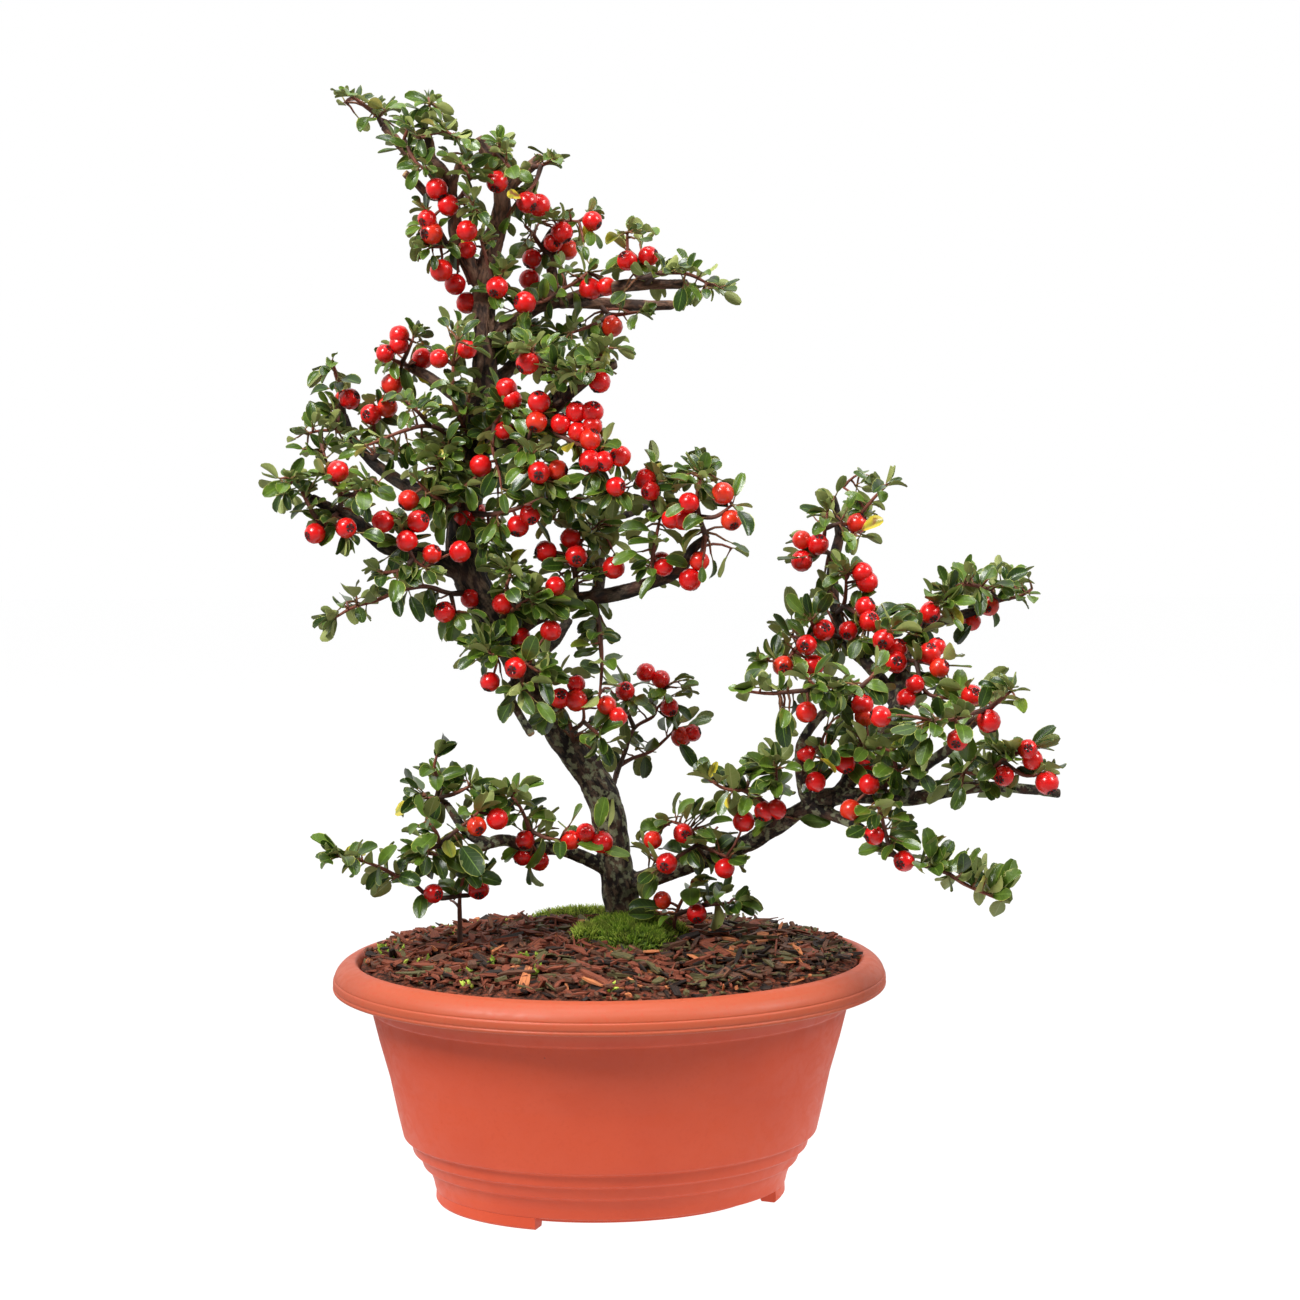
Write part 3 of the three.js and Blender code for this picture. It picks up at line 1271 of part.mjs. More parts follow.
// Distance from a point to the bark, negative inside the wood.
function barkDistance(point) {
  let nearest = Infinity;
  for (const limb of limbs) {
    for (let i = 1; i < limb.points.length; i += 1) {
      const line = new THREE.Line3(limb.points[i - 1], limb.points[i]);
      const share = line.closestPointToPointParameter(point, true);
      const radius = limb.radii[i - 1] + (limb.radii[i] - limb.radii[i - 1]) * share;
      nearest = Math.min(nearest, line.at(share, new THREE.Vector3()).distanceTo(point) - radius);
    }
  }
  return nearest;
}

// How far the nearest stem lies from [u, v] as seen, and the depth of the stem there.
function nearestStem(stems, u, v) {
  const seen = new THREE.Vector3(u, v, 0);
  let nearest = { apart: Infinity, depth: 0 };
  for (const rows of stems) {
    for (let i = 1; i < rows.length; i += 1) {
      const from = new THREE.Vector3(rows[i - 1][0], rows[i - 1][1], 0);
      const line = new THREE.Line3(from, new THREE.Vector3(rows[i][0], rows[i][1], 0));
      const share = line.closestPointToPointParameter(seen, true);
      const apart = line.at(share, new THREE.Vector3()).distanceTo(seen);
      if (apart < nearest.apart) {
        nearest = { apart, depth: rows[i - 1][2] + (rows[i][2] - rows[i - 1][2]) * share };
      }
    }
  }
  return nearest;
}

// Leaf middles of a spray: the ones seen from the front, and their partners behind.
function leafMiddles(spray, number) {
  const middles = [];
  spray.leaves.forEach(([u, v], j) => {
    if ((j + number) % KEEP.leaf === 0) {
      const before = LEAF_SPREAD * between([-0.3, 1], draw(number, j, 1));
      const depth = nearestStem(spray.stems, u, v).depth - before;
      middles.push({ point: place([u, v, depth]), item: j, front: 1 });
    }
  });
  spray.leaves.forEach(([u, v], j) => {
    if ((j + number) % KEEP.back_leaf === 1) {
      const item = j + FIRST.back_leaf;
      const nearby = [u + 8 * (draw(number, item, 2) - 0.5), v + 8 * (draw(number, item, 3) - 0.5)];
      const behind = LEAF_SPREAD * between([0.5, 1.6], draw(number, item, 1));
      const depth = nearestStem(spray.stems, u, v).depth + behind;
      middles.push({ point: place([...nearby, depth]), item, front: -1 });
    }
  });
  return middles;
}

function berryMiddles(spray, number) {
  const middles = [];
  spray.berries.forEach(([u, v], j) => {
    const { depth, apart } = nearestStem(spray.stems, u, v);
    const standOff = Math.sqrt(Math.max(BERRY_SEAT ** 2 - apart ** 2, 0));
    if ((j + number) % KEEP.berry === 0) {
      middles.push({ point: place([u, v, depth - standOff]), item: j + FIRST.berry });
    }
    if ((j + number) % KEEP.back_berry === 1) {
      middles.push({ point: place([u, v, depth + standOff]), item: j + FIRST.back_berry });
    }
  });
  return middles;
}

// Points that a leaf or berry can grow from: steps along the stems, where they are clear of the bark.
function buds(stems) {
  const found = [];
  for (const points of stems) {
    for (let i = 1; i < points.length; i += 1) {
      const steps = Math.max(1, Math.round(points[i].distanceTo(points[i - 1]) / BUD_SPACING));
      for (let k = 1; k <= steps; k += 1) {
        const bud = points[i - 1].clone().lerp(points[i], k / steps);
        if (barkDistance(bud) > BARK_CLEARANCE) {
          found.push(bud);
        }
      }
    }
  }
  return found;
}

function nearestBud(found, point) {
  return found.reduce((best, bud) => (bud.distanceTo(point) < best.distanceTo(point) ? bud : best), found[0]);
}

// A spur from a bud towards a point, which adds new buds at its middle and end.
function spur(found, from, towards, length) {
  const along = towards.clone().sub(from).normalize();
  const middle = from.clone().addScaledVector(along, length / 2);
  const end = from.clone().addScaledVector(along, length);
  found.push(middle, end);
  return { points: [from.clone(), end], end };
}

// A spray before its leaves are set: its stems and spurs, its berries and its leaves as sizes and places.
function planSpray(name, spray, number) {
  const stems = spray.stems.map((rows) => rows.map(place));
  if (SOIL_SPRAYS.includes(name)) {
    stems[0].unshift(stems[0][0].clone().add(new THREE.Vector3(0, 0, -ROOT_DEPTH)));
  }
  const rods = stems.map((points, i) => {
    const root = i === 0 ? STEM.root : 0.8 * STEM.root;
    const radii = points.map((_, k) => between([root, STEM.tip], k / (points.length - 1)));
    return { points, radii, sides: STEM.sides };
  });
  const found = buds(stems);
  const berries = berryMiddles(spray, number).map(({ point, item }) => {
    const radius = between(BERRY_RADIUS, draw(number, item, 4));
    const bud = nearestBud(found, point);
    const apart = bud.distanceTo(point);
    if (apart > BERRY_SEAT + BERRY_SHIFT) {
      rods.push({ points: [bud, point], radii: [SPUR.radius, SPUR.radius], sides: SPUR.sides });
      return { middle: point, radius, turn: Math.PI * draw(number, item, 5) };
    }
    const middle = bud.clone().lerp(point, BERRY_SEAT / apart);
    return { middle, radius, turn: Math.PI * draw(number, item, 5) };
  });
  const leaves = leafMiddles(spray, number).map(({ point, item, front }) => {
    const length = between(LEAF.length, draw(number, item, 6));
    let bud = nearestBud(found, point);
    const apart = bud.distanceTo(point);
    if (apart > length / 2 + STALK_REACH) {
      const twig = spur(found, bud, point, apart - length / 2 - STALK);
      rods.push({ points: twig.points, radii: [SPUR.radius, 0.9 * SPUR.radius], sides: SPUR.sides });
      bud = twig.end;
    }
    const along = point.clone().sub(bud).normalize();
    const stalk = Math.max(bud.distanceTo(point) - length / 2, 0.6);
    const jitter = [7, 8, 9].map((use) => draw(number, item, use) - 0.5);
    const normal = new THREE.Vector3(jitter[0], -0.6 * front + jitter[1], 0.8 + jitter[2]);
    normal.addScaledVector(along, -normal.dot(along)).normalize();
    return { root: bud, along, normal, stalk, length, width: LEAF.width * length };
  });
  return { name, rods, berries, leaves };
}

function rodsAndBerries(plan, grow) {
  const rods = plan.rods.map((rod) => tube(rod.points, rod.radii, rod.sides, grow));
  return joined([...rods, ...plan.berries.map((berry) => berryBall(berry, grow))]);
}

// The sprays: first all the stems and berries, each kept clear of the wood and of the sprays before it,
// then the leaves, of which those that would cross a neighbour are left out.
function growSprays(solids) {
  const fatWood = wood(1.3 * GAP);
  const plans = Object.entries(SPRAYS).map(([name, spray], index) => planSpray(name, spray, index + 1));
  for (const plan of plans) {
    let body = rodsAndBerries(plan, 0).subtract(fatWood);
    plan.fat = rodsAndBerries(plan, 1.3 * GAP);
    for (const earlier of plans) {
      if (earlier === plan) {
        break;
      }
      if (crosses(body, earlier.fat)) {
        body = body.subtract(earlier.fat);
      }
    }
    plan.body = largest(body);
    plan.parts = [plan.body];
  }
  const cutter = joined(plans.filter((plan) => SOIL_SPRAYS.includes(plan.name)).map((plan) => plan.fat));
  const ground = { soil: solids.soil.subtract(cutter).subtract(fatWood) };
  const fatGround = solids.soil.translate([0, 0, GAP]);
  const mossAbove = (cushion) => largest(cushion.subtract(fatGround).subtract(fatWood).subtract(cutter));
  ground.soil = largest(ground.soil);
  ground.moss_round_trunk = mossAbove(solids.moss_round_trunk);
  ground.moss_behind_trunk = mossAbove(solids.moss_behind_trunk);
  const still = [solids.pot, solids.trunk, ...Object.values(ground)];
  for (const plan of plans) {
    for (const leaf of plan.leaves) {
      const fat = blade(leaf, GAP);
      const neighbours = plans.filter((other) => other !== plan).flatMap((other) => other.parts);
      if (![...still, ...neighbours].some((other) => crosses(fat, other))) {
        plan.parts.push(blade(leaf));
      }
    }
  }
  const sprays = Object.fromEntries(plans.map((plan) => [plan.name, largest(joined(plan.parts))]));
  return { ...ground, ...sprays };
}

// Materials by piece.
const FINISHES = {
  pot: new THREE.MeshStandardMaterial({ color: 0xb5532f, roughness: 0.55, metalness: 0 }),
  soil: new THREE.MeshStandardMaterial({ color: 0x4a2c1d, roughness: 0.95, metalness: 0 }),
  trunk: new THREE.MeshStandardMaterial({ color: 0x3b2a22, roughness: 0.85, metalness: 0 }),
  moss: new THREE.MeshStandardMaterial({ color: 0x4f6f1e, roughness: 0.95, metalness: 0 }),
  spray: new THREE.MeshStandardMaterial({ color: 0x3c5f25, roughness: 0.45, metalness: 0 }),
};

function finishOf(name) {
  if (name.startsWith('moss')) {
    return FINISHES.moss;
  }
  return FINISHES[name] ?? FINISHES.spray;
}

function geometryOf(body) {
  const mesh = body.getMesh();
  const geometry = new THREE.BufferGeometry();
  geometry.setAttribute('position', new THREE.BufferAttribute(mesh.vertProperties, 3));
  geometry.setIndex(new THREE.BufferAttribute(mesh.triVerts, 1));
  return geometry;
}

// A body with its flat faces evened out, its closest corners merged and its pinched ends dropped.
function evened(name, body) {
  const even = largest(body.asOriginal().simplify(FINENESS[name] ?? FINENESS.spray));
  return largest(solidFrom(geometryOf(even)));
}

function namedMesh(name, body) {
  const piece = new THREE.Mesh(geometryOf(evened(name, body)), finishOf(name));
  piece.name = name;
  return piece;
}

const base = {
  pot: pot(),
  soil: soil(),
  moss_round_trunk: mossCushion(MOSS_COLLAR),
  moss_behind_trunk: mossCushion(MOSS_PATCH),
  trunk: wood(0),
};
const pieces = { pot: base.pot, trunk: base.trunk, ...growSprays(base) };

// The origin is under the middle of the whole, on the surface that the pot's feet stand on.
const bonsai = new THREE.Group();
Object.entries(pieces).forEach(([name, body]) => bonsai.add(namedMesh(name, body)));
const extent = new THREE.Box3().setFromObject(bonsai);
const centre = extent.getCenter(new THREE.Vector3());
bonsai.position.set(-centre.x, -centre.y, -extent.min.z);

export default bonsai;
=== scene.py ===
"""Cotoneaster bonsai in an oval pot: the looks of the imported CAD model.

Shapes are worked out in millimetres in the pot's own frame, whose origin lies on the floor under the
middle of the pot. They are moved and scaled to the row frame, in metres, when a mesh is made.
"""

from __future__ import annotations

import logging
import math
from dataclasses import dataclass, field
from enum import Enum

import bpy
import numpy as np
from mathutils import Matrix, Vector

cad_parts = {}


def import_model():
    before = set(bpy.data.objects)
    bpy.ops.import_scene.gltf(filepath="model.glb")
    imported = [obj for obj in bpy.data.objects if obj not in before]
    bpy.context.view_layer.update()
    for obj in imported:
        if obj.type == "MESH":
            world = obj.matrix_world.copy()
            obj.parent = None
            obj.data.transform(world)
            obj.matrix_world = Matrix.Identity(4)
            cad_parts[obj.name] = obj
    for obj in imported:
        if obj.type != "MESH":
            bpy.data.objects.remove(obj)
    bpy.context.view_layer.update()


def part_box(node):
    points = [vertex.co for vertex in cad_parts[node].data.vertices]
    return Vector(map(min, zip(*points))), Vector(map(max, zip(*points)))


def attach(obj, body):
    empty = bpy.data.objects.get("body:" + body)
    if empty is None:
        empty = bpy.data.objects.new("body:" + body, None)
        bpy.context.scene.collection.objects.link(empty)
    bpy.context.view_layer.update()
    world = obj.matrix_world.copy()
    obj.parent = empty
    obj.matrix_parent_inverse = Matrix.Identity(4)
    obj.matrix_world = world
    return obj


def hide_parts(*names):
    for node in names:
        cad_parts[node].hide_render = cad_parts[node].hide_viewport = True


LOG = logging.getLogger("cotoneaster")
METRES = 0.001
BODY = "root"

# Spacing of the buds along a stem, and the gap that a bud keeps from the bark.
BUD_SPACING = 2.0
BARK_CLEARANCE = 1.5

# The number from which each family of leaves and berries is counted. A partner adds its own to its leaf's.
BACK_LEAF_ITEMS = 500
FRUIT_ITEMS = 1000
BACK_FRUIT_ITEMS = 1500
STEM_LEAF_ITEMS = 3000
PARTNER_ITEMS = 5000
MASS_PARTNER_ITEMS = (7000, 9000)

# Factors of the seeded draws: of the family, the item and the use, then of the rounds after each shift.
DRAW_FACTORS = (374761393, 668265263, 2246822519)
DRAW_ROUNDS = ((15, 0x2C1B3C6D), (12, 0x297A2D39), (15, 1))
LATTICE_FACTORS = (73856093, 19349663, 83492791)

ROOTED_SPRAYS = ("soil_shoots", "low_right_soil")

# Wood of the plant. Each limb is a row of (u, v, depth, radius), in millimetres.
LIMBS: dict[str, list[list[float]]] = {
  "trunk": [
    [8, 127, 9, 8.6], [6, 135, 10, 7.8], [4, 144, 11, 7.5], [2, 155, 11, 7.4], [-1, 175, 9, 7.2],
    [-6, 190, 7, 7], [-14, 202, 5, 6.6], [-22, 212, 2, 6.2], [-30, 226, -1, 6], [-40, 243, -4, 6],
    [-50, 261, -6, 6.4], [-59, 276, -8, 7.2], [-64, 293, -8, 6.6], [-62, 312, -6, 6.2], [-59, 334, -3, 6],
    [-55, 355, 0, 5.6], [-54, 377, 2, 5.1], [-55, 398, 4, 4.8], [-53, 415, 4, 4.4],
  ],
  "crown_leader": [
    [-54, 409, 4, 4.4], [-51, 422, 4, 4.3], [-48, 432, 3, 4.2], [-47, 440, 1, 4], [-49, 450, -2, 3.4],
    [-52, 458, -5, 2.9], [-55, 464, -6, 2.5], [-57, 468, -7, 2.3],
  ],
  "crown_fork": [[-47, 441, 1, 3], [-42, 449, 5, 2.6], [-35, 455, 9, 2.4], [-30, 460, 12, 2.2]],
  "crown_left": [
    [-58, 406, 4, 3.8], [-64, 420, 2, 3.2], [-67, 430, 0, 3], [-68, 441, -2, 2.7], [-72, 453, -3, 2.5],
    [-79, 459, 1, 2.3], [-88, 462, 5, 2.1], [-94, 469, 9, 1.9], [-98, 473, 11, 1.7],
  ],
  "crown_left_riser": [[-78, 458, 0, 2.1], [-78, 466, -4, 2], [-81, 472, -7, 1.7]],
  "crown_cut_left": [[-69, 443, -2, 2.2], [-78, 443, -5, 1.8], [-83, 448, -9, 1.7], [-89, 453, -12, 1.6]],
  "crown_cut_middle": [[-68, 442, -3, 1.9], [-67, 451, -7, 1.7], [-65, 458, -9, 1.5]],
  "crown_right": [
    [-54, 382, 2, 3.8], [-41, 389, 8, 3.4], [-28, 397, 14, 3.1], [-13, 397, 20, 2.8], [4, 396, 25, 2.6],
    [17, 396, 28, 2.4], [27, 396, 30, 2.2],
  ],
  "crown_right_front": [
    [-22, 397, 17, 2.9], [-9, 401, 4, 2.7], [4, 404, -8, 2.6], [17, 405, -16, 2.3], [33, 405, -23, 2],
  ],
  "crown_right_back": [[-28, 397, 14, 2.8], [-25, 405, 18, 2.6], [-26, 416, 21, 2.4], [-24, 424, 23, 2.1]],
  "vee_stem": [[-59, 333, -4, 3.8], [-44, 339, -20, 3.6], [-31, 347, -32, 3.3], [-21, 356, -40, 3]],
  "vee_left": [[-21, 356, -40, 2.7], [-27, 367, -42, 2.5], [-33, 374, -40, 2.3], [-37, 380, -38, 2.1]],
  "vee_right": [[-21, 356, -40, 2.7], [-13, 362, -44, 2.5], [-6, 367, -48, 2.3], [2, 371, -51, 2.2]],
  "arch": [[-54, 359, 1, 3.6], [-44, 368, 12, 3.2], [-35, 377, 22, 2.7], [-28, 384, 28, 2.2]],
  "left_low": [
    [-61, 279, -8, 4.6], [-74, 286, -12, 4.2], [-89, 290, -20, 3.7], [-98, 293, -25, 3.2],
    [-107, 301, -30, 2.8], [-117, 307, -36, 2.4], [-129, 313, -41, 2],
  ],
  "left_middle": [
    [-63, 308, -6, 3.6], [-74, 313, 0, 3.3], [-86, 317, 8, 3], [-94, 322, 14, 2.6], [-103, 329, 19, 2.3],
    [-111, 338, 24, 2], [-115, 349, 27, 1.8],
  ],
  "left_high": [[-56, 353, 0, 3], [-67, 357, 8, 2.7], [-78, 365, 15, 2.3], [-86, 369, 20, 2]],
  "right_middle": [
    [-46, 252, -5, 4.2], [-35, 261, -6, 3.8], [-22, 267, -8, 3.5], [-9, 270, -12, 3.2], [6, 273, -18, 3],
    [21, 278, -25, 2.7], [30, 282, -31, 2.4], [35, 291, -36, 2.1], [41, 296, -40, 1.9],
  ],
  "right_middle_riser": [
    [-6, 271, -12, 2.8], [-5, 282, -4, 2.6], [-5, 293, 4, 2.4], [-3, 304, 12, 2.1], [7, 306, 16, 1.8],
    [16, 310, 18, 1.5],
  ],
  "right_middle_back": [[-42, 246, -4, 3.4], [-32, 247, 6, 3], [-24, 252, 14, 2.6], [-18, 261, 20, 2.2]],
  "cut_hanging": [[-37, 238, -3, 2], [-44, 230, -10, 1.8], [-40, 221, -20, 1.8], [-34, 211, -24, 1.7]],
  "low_left": [
    [0, 153, 11, 3.4], [-11, 158, 6, 3], [-22, 162, 0, 2.8], [-35, 163, -6, 2.7], [-46, 166, -14, 2.5],
    [-56, 163, -20, 2.1], [-67, 160, -25, 1.7], [-74, 157, -28, 1.4],
  ],
  "low_left_riser": [[-53, 165, -18, 2.1], [-61, 168, -16, 2], [-67, 176, -13, 1.8], [-71, 182, -10, 1.5]],
  "low_right": [
    [3, 143, 11, 5], [15, 149, 9, 4.6], [28, 154, 4, 4.3], [40, 158, -2, 4], [55, 163, -12, 3.8],
    [68, 170, -21, 3.6], [80, 178, -29, 3.5], [92, 184, -34, 3.6], [105, 185, -38, 3.3],
    [118, 184, -40, 3], [131, 184, -42, 2.9], [144, 187, -43, 2.7], [161, 189, -43, 2.4],
    [177, 188, -42, 2.1], [193, 186, -41, 1.9],
  ],
  "right_trail": [
    [84, 181, -31, 2.8], [95, 177, -38, 2.5], [104, 173, -44, 2.2], [112, 167, -50, 1.9],
    [120, 161, -54, 1.7],
  ],
  "right_riser": [
    [98, 184, -36, 3.6], [104, 194, -31, 3.4], [112, 206, -24, 3.3], [120, 216, -17, 3.3],
    [124, 228, -10, 3.2], [126, 241, -2, 3], [128, 251, 6, 2.8], [137, 258, 13, 2.5], [148, 262, 19, 2.2],
    [159, 265, 24, 1.9],
  ],
  "right_top": [
    [123, 224, -12, 3], [116, 235, -4, 2.8], [108, 244, 2, 2.8], [101, 252, 8, 2.7], [97, 263, 14, 2.6],
    [95, 276, 18, 2.6], [96, 287, 20, 2.5], [98, 297, 21, 2.2], [97, 307, 22, 1.9], [95, 314, 22, 1.7],
  ],
  "right_left": [
    [85, 181, -31, 2.6], [82, 192, -40, 2.4], [81, 204, -48, 2.2], [85, 213, -52, 2], [93, 222, -52, 1.8],
    [104, 229, -49, 1.5],
  ],
  "right_far": [
    [126, 184, -42, 2.5], [132, 195, -54, 2.4], [144, 204, -62, 2.3], [153, 214, -68, 2.1],
    [162, 222, -72, 1.8],
  ],
}

